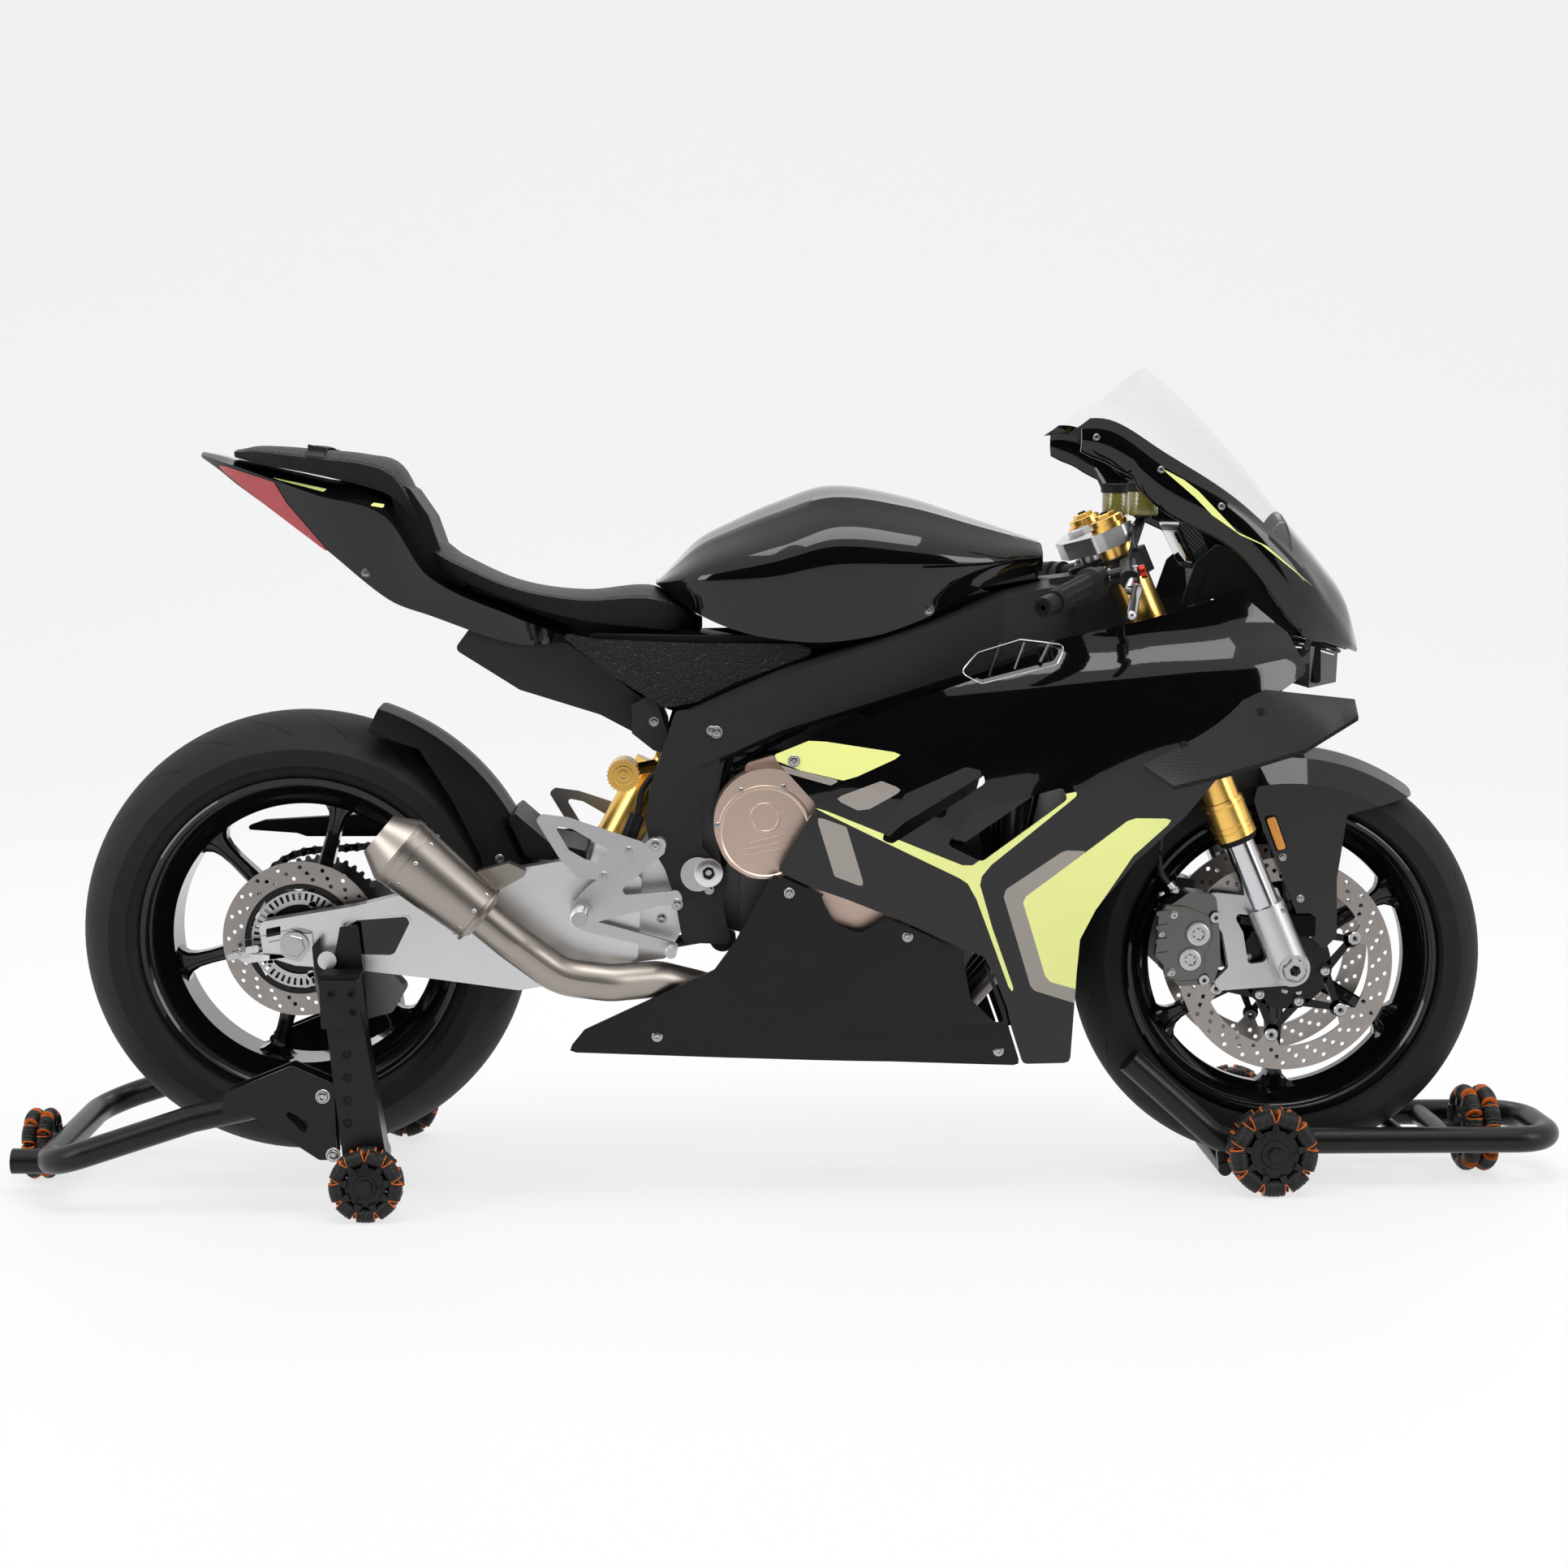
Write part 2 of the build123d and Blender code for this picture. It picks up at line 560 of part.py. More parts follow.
ARM = [(-51, 397), (85, 420), (267, 465), (369, 482), (484, 462), (478, 346), (446, 322), (311, 300),
    (197, 316), (73, 331),
       (0, 336), (-44, 350)]
ARM_FRONT = [(440, 470), (574, 494), (592, 466), (570, 436), (517, 340), (440, 330)]
LEFT_FRONT = [(440, 478), (574, 494), (592, 466), (570, 436), (440, 412)]


def swingarm():
    right = slab(ARM, -RIGHT_ARM[1], -RIGHT_ARM[0], 10) + slab(ARM_FRONT, -RIGHT_ARM[0] - 6, -66, 10)
    left = slab(ARM, *LEFT_ARM, 10)
    left += slab(LEFT_FRONT, 62, CHAIN_INNER_Y - CLEARANCE, 10)
    bridge = slab([(404, 412), (404, 476), (470, 476), (470, 412)], -RIGHT_ARM[0] - 2, LEFT_ARM[0] + 2, 8)
    body = fuse([right, left, bridge])
    body -= pin(0, REAR_AXLE_Z, -170, 170, AXLE_RADIUS + FIT)
    body -= pin(*PIVOT, -170, 170, AXLE_RADIUS + FIT)
    slot = [(-40, 376), (-40, 388), (-20, 392), (-20, 380)]
    body -= slab(slot, -200, 200)
    spools = []
    for side, face in ((-1, RIGHT_ARM[1]), (1, LEFT_ARM[1])):
        spools.append(pin(*SPOOL, *sorted((side * (face - 6), side * SPOOL_END_Y)), SPOOL_RADIUS))
        spools.append(pin(*SPOOL, *sorted((side * (SPOOL_END_Y - 4), side * SPOOL_END_Y)),
            SPOOL_RADIUS + 5))
    export("swingarm", [fuse([body] + spools)])




def belt(rear_radius, front_radius):
    circles = [Pos(0, REAR_AXLE_Z) * Circle(rear_radius), Pos(*COUNTERSHAFT) * Circle(front_radius)]
    hull = make_hull([edge for circle in circles for edge in circle.edges()])
    return extrude(Plane.XZ.offset(-CHAIN_OUTER_Y) * hull, amount=CHAIN_WIDTH)


def drive():
    inner = SPROCKET_RADIUS + CLEARANCE - 1
    chain = belt(inner + CHAIN_HEIGHT, COUNTERSHAFT_RADIUS + CHAIN_HEIGHT) - belt(inner,
        COUNTERSHAFT_RADIUS)
    export("drive_chain", [chain])




def engine():
    case = [(622, 360), (622, 590), (700, 640), (860, 640), (950, 560), (978, 420), (930, 300), (700, 284),
        (640, 330)]
    head = [(800, 600), (770, 770), (930, 776), (975, 640), (950, 540)]
    block = slab(case, -CASE_HALF_WIDTH, CASE_HALF_WIDTH, 16) + slab(head, -HEAD_HALF_WIDTH,
        HEAD_HALF_WIDTH, 10)
    for y in EXHAUST_PORTS:
        block += rod((940, y, 664.2), (984.4, y, 635.9), 19)
    block -= slab([(600, 395), (600, 545), (712, 545), (712, 395)], CHAIN_INNER_Y - CLEARANCE,
        CASE_HALF_WIDTH + 1)
    block += pin(*COUNTERSHAFT, CHAIN_INNER_Y - CLEARANCE - 2, SPROCKET_Y + 3,
        COUNTERSHAFT_RADIUS - RUNNING_FIT)
    export("engine_block", [block])
    clutch = pin(660, 541, -186, -COVER_SEAT_Y, 76) + slab([(628, 470), (628, 620), (668, 632), (720, 600),
        (730, 480)], -150, -COVER_SEAT_Y, 10)
    lower = pin(778, 430, -176, -COVER_SEAT_Y, 62) + slab([(720, 360), (720, 500), (850, 500), (870, 400),
        (820, 350)], -146, -COVER_SEAT_Y, 10)
    generator = pin(818, 450, COVER_SEAT_Y, 176, 74)
    sprocket_cover = slab([(612, 410), (616, 536), (700, 548), (738, 530), (738, 400), (640, 392)],
        COVER_SEAT_Y, 150, 12)
    export("engine_covers", [clutch + lower, generator, sprocket_cover])
    core = [(1032, 336), (1062, 328), (1122, 606), (1092, 614)]
    radiator = slab(core, -140, 140, 4)
    radiator += slab([(1026, 336), (1068, 328), (1128, 606), (1086, 616)], 140, 152, 4)
    radiator += slab([(1026, 336), (1068, 328), (1128, 606), (1086, 616)], -152, -140, 4)
    stay = fuse([pin(1108, 610, -60, 60, 8), rod((1104, 40, 612), (1062, 40, 784), 7),
        rod((1104, -40, 612), (1062, -40, 784), 7)])
    export("radiator", [radiator + stay])


PIPE = [(740, -30, 234), (650, -84, 246), (570, -117, 295), (506, -145, 316), (440, -176, 316),
    (372, -192, 328)]


def exhaust():
    pipes = []
    for y in EXHAUST_PORTS:
        points = [(984.7, y, 635.7), (1008, y, 620.7), (1017, y, 560), (1012, y, 430), (996, y * 0.8, 320),
            (926, y * 0.6, 238), (800, y * 0.4, 234)]
        pipes.append(tube(points, 19, bend=60))
    pipes.append(slab([(726, 214), (730, 256), (850, 254), (860, 216)], -62, 50, 10))
    pipes.append(tube(PIPE + [MUFFLER_FRONT - MUFFLER_AXIS * 50, MUFFLER_FRONT - MUFFLER_AXIS * FIT],
        PIPE_RADIUS, bend=90))
    export("exhaust_pipes", [fuse(pipes)])
    axis = MUFFLER_AXIS
    body = rod(MUFFLER_FRONT, MUFFLER_FRONT + axis * 8, 30, end_radius=40)
    body += rod(MUFFLER_FRONT + axis * 8, MUFFLER_REAR, 40, end_radius=51)
    cap_end = MUFFLER_REAR + axis * 34
    body += rod(MUFFLER_REAR, cap_end, 51, end_radius=32)
    body -= rod(MUFFLER_REAR - axis * 40, cap_end + axis, 24)
    hanger = slab([(250, 470), (300, 484), (330, 470), (276, 440)], -172, -RIGHT_ARM[1] - FIT, 6)
    export("muffler", [body + hanger])


def rear_suspension():
    spring = rod((448, 0, 500), (504, 0, 604), 33)
    eyes = [rod((437.6, 0, 482.3), (515, 0, 624.5), 10), pin(514.5, 623.5, -28, 28, 12)]
    canister = fuse([rod((458, -56, 601), (458, -128, 601), 22), rod((458, -70, 601), (500, -30, 606), 9)])
    export("rear_shock", [fuse([spring, canister] + eyes)])


# Bodywork

FAIRING_LEVELS = (190, 330, 480, 620, 740, 870)
# x, then the outer half-width at each level
FAIRING_ROWS = (
    (360, 146, 165, 178, 182, 176, 160),
    (600, 150, 186, 200, 200, 190, 170),
    (760, 155, 192, 212, 214, 200, 175),
    (900, 150, 195, 222, 226, 212, 185),
    (1050, 140, 190, 226, 236, 226, 200),
    (1200, 125, 180, 222, 238, 232, 208),
    (1330, 100, 160, 200, 222, 218, 190),
    (1450, 70, 120, 150, 170, 165, 135),
)


def fairing_skin():
    """The left fairing as one thin wall, before its panels are cut from it."""
    sections = []
    for x, *halves in FAIRING_ROWS:
        outer = list(zip(halves, FAIRING_LEVELS))
        inner = [(half - SKIN, z) for half, z in reversed(outer)]
        sections.append(section(x, outer + inner))
    return ruled(sections)


def fairing_core():
    """Everything inside the left fairing's outer face, out from the middle plane."""
    top, low = FAIRING_LEVELS[-1], FAIRING_LEVELS[0]
    return ruled([section(x, list(zip(halves, FAIRING_LEVELS)) + [(0, top), (0, low)]) for x,
        *halves in FAIRING_ROWS])


SIDE_PANEL = [(662, 638), (718, 658), (840, 707), (939, 741), (1039, 792), (1128, 811), (1217, 833),
    (1309, 861), (1381, 804),
              (1405, 750), (1367, 727), (1231, 555), (1165, 493), (1112, 424), (1090, 329), (1090,
                  192), (1022, 192),
              (1004, 244), (994, 281), (974, 330), (958, 356), (928, 368), (854, 403), (769, 437), (720,
                  454), (670, 477),
              (692, 515), (726, 568)]
BELLY_PANEL = [(377, 213), (403, 246), (585, 336), (613, 376), (666, 473), (719, 450), (769, 433),
    (854, 399), (926, 364),
               (954, 353), (971, 328), (991, 280), (1001, 243), (1019, 190), (837, 199), (608, 205)]
FAIRING_VENTS = (
    [(724, 452), (753, 401), (787, 389), (825, 412), (831, 426)],
    [(845, 585), (928, 623), (950, 618), (956, 601), (829, 516), (813, 521)],
    [(940, 561), (1061, 596), (1067, 579), (952, 492), (902, 516)],
    [(928, 750), (951, 772), (1006, 789), (1061, 783), (1050, 767), (950, 741)],
    [(928, 366), (956, 354), (993, 256), (978, 256), (942, 294)],
)


def fairings():
    skin, core = fairing_skin(), fairing_core()
    side = skin & slab(SIDE_PANEL, 0, 260, 4)
    belly = skin & slab(BELLY_PANEL, 0, 260, 4)
    floor = slab([(400, 213), (608, 205), (837, 199), (1019, 190), (1019, 194), (837, 203), (608, 209),
        (400, 217)], 70, 260)
    belly += core & floor
    for vent in FAIRING_VENTS:
        cut = slab(vent, 0, 260, 5)
        side, belly = side - cut, belly - cut
    side += pin(*SIDE_FAIRING_STAY, CASE_HALF_WIDTH + FIT, 220, 7)
    export("side_fairings", both(side))
    belly += pin(*BELLY_STAY, CASE_HALF_WIDTH + FIT, 205, 7)
    left_belly = belly - Pos(LEFT_PAN_REAR - 500, 100, 300) * Box(1000, 400, 400)
    export("belly_pans", [mirror(belly, about=Plane.XZ), left_belly])

    top_line = [(1150, 640), (1240, 683), (1338, 729), (1462, 716)]
    low_line = [(1207, 601), (1274, 617), (1385, 651), (1457, 696)]
    faces = []
    for y, line in ((226, top_line), (268, low_line)):
        band = line + [(x, z - 6) for x, z in reversed(line)]
        faces.append(Plane.XZ.offset(-y) * outline(band))
    wing = ruled(faces)
    stays = fuse([rod((x, 205, z), (x, 240, z), 5) for x, z in ((1225, 655), (1330, 700))])
    export("winglets", both(wing + stays - core))


# x, half-width, low z, screen edge z, shoulder y, shoulder z, crown z
COWL_ROWS = (
    (1072, 160, 1052, 1083, 128, 1140, 1192),
    (1131, 168, 1034, 1080, 134, 1146, 1194),
    (1203, 172, 972, 1032, 136, 1122, 1176),
    (1310, 166, 912, 972, 116, 1034, 1076),
    (1407, 140, 800, 890, 92, 934, 960),
    (1456, 108, 786, 832, 74, 880, 903),
    (1492, 70, 776, 796, 46, 838, 856),
    (1516, 30, 768, 774, 20, 786, 796),
)


def screen_edge(rows, wall):
    sections = []
    for x, half, _, edge, shoulder_y, shoulder_z, crown in rows:
        outer = [(half, edge), (shoulder_y, shoulder_z), (0, crown)]
        outer += [(-y, z) for y, z in reversed(outer[:-1])]
        inner = [(half - wall, edge), (shoulder_y - wall, shoulder_z - wall), (0, crown - wall)]
        inner += [(-y, z) for y, z in reversed(inner[:-1])]
        sections.append(section(x, outer + inner[::-1]))
    return ruled(sections)


def front_cowl():
    lens = screen_edge(COWL_ROWS[: NOSE_FROM + 1], SCREEN_WALL)
    lens -= slab([(1072, 1083), (1203, 1177), (1203, 1300), (1000, 1300), (1000, 1083)], -200, 200)
    export("windscreen", [lens])

    flanks = []
    for x, half, low, edge, *_ in COWL_ROWS[: NOSE_FROM + 1]:
        flanks.append(section(x, [(half - 2, low), (half, edge - 0.2), (half - SKIN, edge - 0.2),
            (half - 2 - SKIN, low)]))
    flank = ruled(flanks)
    nose_sections = []
    for x, half, low, edge, shoulder_y, shoulder_z, crown in COWL_ROWS[NOSE_FROM:]:
        wall = min(SKIN, half / 6)
        outer = [(half - 2, low), (half, edge), (shoulder_y, shoulder_z), (0, crown)]
        outer += [(-y, z) for y, z in reversed(outer[:-1])]
        inner = [(half - 2 - wall, low), (half - wall, edge), (shoulder_y - wall, shoulder_z - wall),
            (0, crown - wall)]
        inner += [(-y, z) for y, z in reversed(inner[:-1])]
        nose_sections.append(section(x, outer + inner[::-1]))
    nose = ruled(nose_sections)
    cowl = fuse(both(flank) + [nose])
    cowl -= slab([(1040, 1100), (1040, 1049), (1097, 1047), (1050, 1000), (1000, 1000), (1000, 1100)],
        -200, 200)
    export("upper_cowl", [cowl])

    lamp = ruled([
        section(1370, [(-80, 740), (-80, 784), (80, 784), (80, 740)]),
        section(1430, [(-90, 722), (-96, 782), (96, 782), (90, 722)]),
        section(1478, [(-52, 728), (-58, 772), (58, 772), (52, 728)]),
    ])
    ears = [rod((1425, side * 88, 778), (1425, side * 121, 800), 5) for side in (-1, 1)]
    export("headlight", [fuse([lamp] + ears) - cowl])
    display = slab([(1240, 958), (1262, 964), (1296, 896), (1274, 888)], -78, 78, 5)
    export("instrument_panel", [display - slab([(1200, 880), (1200, 891), (1320, 896), (1320, 880)], -100,
        100)])


# x, base z, shoulder z, crown z, base y, shoulder y, crown y
TANK_ROWS = (
    (506, 862, 868, 874, 60, 70, 40),
    (563, 824, 880, 930, 104, 122, 62),
    (668, 792, 900, 981, 132, 152, 84),
    (749, 788, 918, 1007, 138, 164, 98),
    (854, 809.8, 912, 993, 132, 158, 98),
    (960, 862, 904, 960, 108, 122, 78),
    (1052, 886, 908, 930, 58, 66, 42),
)
TANK_SPLIT = [(914, 700), (858, 806), (914, 903), (925, 942), (845, 992), (845, 1100), (1200, 1100),
    (1200, 700)]


def body_section(x, base_z, shoulder_z, crown_z, base_y, shoulder_y, crown_y):
    right = [(-base_y, base_z), (-shoulder_y, shoulder_z),
        (-crown_y, crown_z - 0.2 * (crown_z - shoulder_z))]
    left = [(-y, z) for y, z in reversed(right)]
    return section(x, right + [(0, crown_z)] + left)


# x, base z, shoulder z, crown z, base y, shoulder y, crown y
RIDER_SEAT_ROWS = (
    (188, 898, 914, 931, 60, 70, 40),
    (224, 874, 896, 908, 96, 112, 60),
    (307, 842, 860, 870, 112, 128, 70),
    (400, 818, 846, 856, 116, 132, 74),
    (493, 806, 852, 866, 96, 110, 64),
    (560, 799, 812, 821, 52, 58, 34),
)
PILLION_ROWS = (
    (-84, 1042, 1050, 1054, 50, 56, 30),
    (-52, 1034, 1050, 1060, 72, 82, 46),
    (33, 1018, 1040, 1055, 84, 96, 54),
    (129, 994, 1024, 1042, 86, 96, 54),
    (170, 944, 960, 974, 74, 82, 46),
)
TAIL_ROWS = (
    (-137, 1040, 1046, 1052, 20, 26, 14),
    (-84, 1004, 1030, 1040, 46, 58, 30),
    (33, 922, 990, 1015, 78, 96, 60),
    (129, 846, 960, 991, 92, 106, 72),
    (186, 824, 880, 892, 98, 116, 80),
    (307, 784, 822, 838, 98, 118, 80),
    (379, 786, 796, 812, 98, 118, 80),
)


def tank_and_seats():
    tank = ruled([body_section(*row) for row in TANK_ROWS])
    front = slab(TANK_SPLIT, -220, 220)
    export("fuel_tank", [tank - front])
    export("tank_cover", [tank & front])
    seat = ruled([body_section(*row) for row in RIDER_SEAT_ROWS])
    pillion = ruled([body_section(*row) for row in PILLION_ROWS])
    tail = ruled([body_section(*row) for row in TAIL_ROWS])
    lamp_shape = [(-122, 1037), (-29, 1011), (-12, 979), (51, 904), (16, 930), (-74, 996)]
    lamp = slab(lamp_shape, -110, 110, 3)
    export("rider_seat", [seat])
    export("pillion_seat", [pillion])
    rails_room = slab([(215, 700), (215, 845), (300, 845), (400, 790), (400, 700)], -92 - FIT, 92 + FIT)
    export("tail_cowl", [tail - seat - pillion - rails_room - slab(lamp_shape, -200, 200, 3)])
    export("tail_light", [tail & lamp])
    panel = [(363, 803), (420, 792), (562, 786), (700, 786), (730, 775), (613, 731), (560, 704),
        (517, 696), (440, 742)]
    export("side_panels", pair_slab(panel, PLATE_INNER_Y + FIT, PLATE_INNER_Y + 6, 5))


def hugger():
    """The inner rear mudguard, a channel over the tyre with a mount to the swingarm."""
    half, top = 104, REAR_TYRE_RADIUS + 27
    wall = 3
    profile = [(0, top), (60, top - 4), (half, top - 30), (half, 250), (half - wall, 250),
        (half - wall, top - 32), (59, top - 7),
               (0, top - wall)]
    left = turned(profile)
    shell = about_axle(left + mirror(left, about=Plane.XZ), 0, REAR_AXLE_Z)
    side = [(119, 720), (263, 680), (360, 549), (420, 470), (261, 456), (256, 485), (216, 566), (171, 636),
        (100, 660)]
    shell &= slab(side, -half - 1, half + 1, 5)
    shell -= Pos(260, half, 400) * Box(600, 40, 220)
    foot = slab([(318, 484), (294, 536), (304, 544), (352, 502), (404, 490), (404, 476 + FIT), (332, 478)],
        -90, 90, 3)
    guard = [(-117, 499), (-79, 512), (54, 520), (264, 540), (264, 514), (54, 498), (-19, 492)]
    guard_wall = [(-60, 500), (54, 518), (180, 518), (180, 470), (150, 430), (110, 430), (90, 486),
        (-19, 486)]
    top_bar = slab(guard, CHAIN_INNER_Y, CHAIN_OUTER_Y + 3, 6)
    side_wall = slab(guard_wall, CHAIN_OUTER_Y + 1, LEFT_ARM[0] - FIT, 6)
    export("rear_hugger", [fuse([shell, foot, top_bar, side_wall])])


def rider_controls():
    plate = [(500, 520), (446, 478), (410, 452), (384, 424), (392, 398), (424, 402), (508, 424),
        (536, 424), (538, 446),
             (446, 438), (516, 498), (518, 514)]
    guard = [(338, 545), (347, 553), (383, 548), (495, 511), (450, 477), (427, 461), (396, 464), (372, 489)]
    window = [(363, 537), (389, 532), (441, 502), (422, 486), (407, 489), (384, 502)]
    low, high = 166, 174
    bracket = slab(plate, low, high, 6) + slab(guard, high - 1, high + 4, 6) - slab(window, 0, 300, 4)
    bracket += pin(508, 509, PLATE_OUTER_Y + FIT, high, 10) + pin(530, 434, PLATE_OUTER_Y + FIT, high, 10)
    export("rearset_plates", both(bracket))
    peg = pin(402, 417, high + FIT, 196, 14) + rod((402, 190, 417), (402, 276, 420), 11)
    pedal = slab([(384, 398), (388, 410), (416, 402), (534, 369), (534, 356), (512, 360), (400, 388)], 156,
        163, 4)
    pedal += pin(525, 362, 158, 206, 7) + pin(396, 402, 158, 165.8, 9)
    export("foot_controls", both(peg) + both(pedal))


def rear_brake():
    gap = DISC_THICKNESS / 2 + CLEARANCE - 1
    axle = (0, REAR_AXLE_Z)
    shape = [(30, 306), (56, 318), (126, 322), (150, 296), (130, 262), (60, 244), (30, 262)]
    body = slab(shape, -104, -64, 10)
    body -= pin(*axle, -REAR_DISC_Y - gap, -REAR_DISC_Y + gap, REAR_DISC_RADIUS + CLEARANCE)
    body -= slab([(-20, 100), (-20, 330), (36, 330), (36, 100)], -200, 0)
    hanger = slab([(18, 345), (48, 345), (62, 296), (44, 262), (30, 262), (22, 300)], -RIGHT_ARM[0] + FIT,
        -REAR_DISC_Y - gap, 4)
    export("rear_caliper", [body + hanger])


# Stands


def omni_wheel(radius, low, high, bore):
    """Two rows of rollers side by side on one hub, turned about the Y axis."""
    middle, gap = (low + high) / 2, 1.0
    rows = []
    for start, end in ((low, middle - gap), (middle + gap, high)):
        rows.append(turned([(start, 0.34 * radius), (start, 0.8 * radius),
            (start + 0.18 * (end - start), 0.94 * radius),
                            ((start + end) / 2, radius), (end - 0.18 * (end - start), 0.94 * radius), (end,
                                0.8 * radius),
                            (end, 0.34 * radius)]))
    hub = ring(0.4 * radius, bore, low, high)
    return fuse(rows + [hub])


def rear_stand():
    wheel_x, wheel_z = STAND_WHEEL
    y = STAND_HALF_WIDTH
    path = [(0, y, 162), (-137, y, 132), (CROSS_TUBE_X, y, CROSS_TUBE_Z), (CROSS_TUBE_X, -y, CROSS_TUBE_Z),
        (-137, -y, 132), (0, -y, 162)]
    gusset = [(-89, 172), (4, 210), (62, 184), (64, 78), (40, 78), (-55, 142), (-92, 138)]
    window = [(-19, 156), (26, 132), (22, 112)]
    post = [(wheel_x - 34, 70), (wheel_x + 26, 70), (94, 326), (46, 326)]
    sleeve = [(46, 262), (44, 330), (96, 330), (102, 264)]
    side = [slab(post, y - 23, y + 23, 4), slab(sleeve, y - 27, y + 27, 4)]
    for offset in (-18.5, 18.5):
        side.append(slab(gusset, y + offset - 2, y + offset + 2, 6) - slab(window, y + offset - 3,
            y + offset + 3, 4))
    side.append(slab([(52, 276), (52, 322), (92, 322), (92, 276)], LIFT_PLATE_Y[1] + FIT, y - 20))
    side.append(pin(wheel_x, 80, y - 22, y + 23, 26))
    side.append(pin(wheel_x, wheel_z, y + 20, STAND_WHEEL_Y[1] + 4, STAND_AXLE_RADIUS))
    sides = [half for shape in side for half in both(shape)]
    push_axle = rod((CROSS_TUBE_X + 8, 0, STAND_WHEEL_RADIUS), (PUSH_AXLE_END_X, 0, STAND_WHEEL_RADIUS),
        STAND_AXLE_RADIUS)
    frame_tube = tube(path, STAND_TUBE_RADIUS, bend=62)
    whole = fuse([frame_tube, *sides, push_axle])
    for joint_y in (-TUBE_JOINT_Y, TUBE_JOINT_Y):
        whole -= Pos(CROSS_TUBE_X, joint_y, CROSS_TUBE_Z) * Box(60, FIT, 60)
    export("rear_stand_frame", [whole])
    socket_floor = (SOCKET_END_X + SOCKET_DEPTH, SOCKET_Y, SOCKET_Z)
    socket = rod((SOCKET_END_X, SOCKET_Y, SOCKET_Z), socket_floor, STAND_TUBE_RADIUS - 1, SOCKET_BORE)
    socket += rod(socket_floor, (CROSS_TUBE_X - 4, SOCKET_Y, SOCKET_Z), STAND_TUBE_RADIUS - 1)
    export("stand_socket", [socket - tube(path, STAND_TUBE_RADIUS + FIT, bend=62)])
    lift = [(26, 366), (34, 376), (56, 392), (90, 396), (100, 300), (104, 220), (94, 214), (60, 262),
        (40, 286), (28, 340)]
    notch_x, notch_z = SPOOL
    notch_half = SPOOL_RADIUS + FIT
    notch = [(notch_x - notch_half, notch_z), (notch_x + notch_half, notch_z), (notch_x + 22, 420),
        (notch_x - 12, 420)]
    plate = slab(lift, *LIFT_PLATE_Y, 3) - slab(notch, 150, 170) - pin(notch_x, notch_z, 150, 170,
        notch_half)
    export("rear_stand_lifts", both(plate))

    wheel = omni_wheel(STAND_WHEEL_RADIUS, *STAND_WHEEL_Y, STAND_AXLE_RADIUS + RUNNING_FIT)
    export("stand_wheel_left", [Pos(wheel_x, 0, wheel_z) * wheel])
    export("stand_wheel_right", [Pos(wheel_x, 0, wheel_z) * mirror(wheel, about=Plane.XZ)])
    push = Rot(0, 0, 90) * omni_wheel(STAND_WHEEL_RADIUS, -22, 22, STAND_AXLE_RADIUS + RUNNING_FIT)
    export("stand_wheel_rear", [Pos(PUSH_WHEEL_X, 0, STAND_WHEEL_RADIUS) * push])


def dolly():
    half, z = DOLLY_HALF_WIDTH, DOLLY_TUBE_Z
    path = [(1182, half, 186), (1316, half, z), (DOLLY_FRONT_X, half, z), (DOLLY_FRONT_X, -half, z),
        (1316, -half, z), (1182, -half, 186)]
    body = [tube(path, STAND_TUBE_RADIUS, bend=58)]
    body.append(pin(1651, z, -half, half, 15))
    body.append(rod((1651, 0, DOLLY_WHEEL_RADIUS), (DOLLY_FRONT_WHEEL_X + 36, 0, DOLLY_WHEEL_RADIUS),
        STAND_AXLE_RADIUS))
    for x in DOLLY_CRADLE_X:
        reach = FRONT_TYRE_RADIUS + CRADLE_BAR_RADIUS + RUNNING_FIT
        bar_z = FRONT_AXLE_Z - (reach**2 - (x - WHEELBASE) ** 2) ** 0.5
        body.append(pin(x, bar_z, -half, half, CRADLE_BAR_RADIUS))
        drop = [(x - 14, z), (x + 14, z), (x + 8, bar_z - 6), (x - 8, bar_z - 6)]
        body += pair_slab(drop, half - 14, half - 4)
    for side in (-1, 1):
        ends = sorted((side * half, side * (DOLLY_WHEEL_Y[1] + 3)))
        body.append(pin(DOLLY_WHEEL_X, DOLLY_WHEEL_RADIUS, *ends, STAND_AXLE_RADIUS))
    export("dolly_frame", [fuse(body)])
    wheel = omni_wheel(DOLLY_WHEEL_RADIUS, *DOLLY_WHEEL_Y, STAND_AXLE_RADIUS + RUNNING_FIT)
    export("dolly_wheel_left", [Pos(DOLLY_WHEEL_X, 0, DOLLY_WHEEL_RADIUS) * wheel])
    export("dolly_wheel_right", [Pos(DOLLY_WHEEL_X, 0, DOLLY_WHEEL_RADIUS) * mirror(wheel, about=Plane.XZ)])
    front = Rot(0, 0, 90) * omni_wheel(DOLLY_WHEEL_RADIUS, -26, 26, STAND_AXLE_RADIUS + RUNNING_FIT)
    export("dolly_wheel_front", [Pos(DOLLY_FRONT_WHEEL_X, 0, DOLLY_WHEEL_RADIUS) * front])


def side_stand():
    x, z = SIDE_STAND_PIVOT
    y = SIDE_STAND_Y
    leg = rod((x, y, z), (x - 250, y + 8, z - 44), 9)
    foot = slab([(x - 270, z - 66), (x - 236, z - 60), (x - 232, z - 30), (x - 262, z - 30)], y - 4,
        y + 22, 6)
    body = fuse([leg, foot, pin(x, z, y - 10, y + 10, 18)]) - pin(x, z, y - 20, y + 20,
        SIDE_STAND_PIN + RUNNING_FIT)
    export("side_stand", [body])


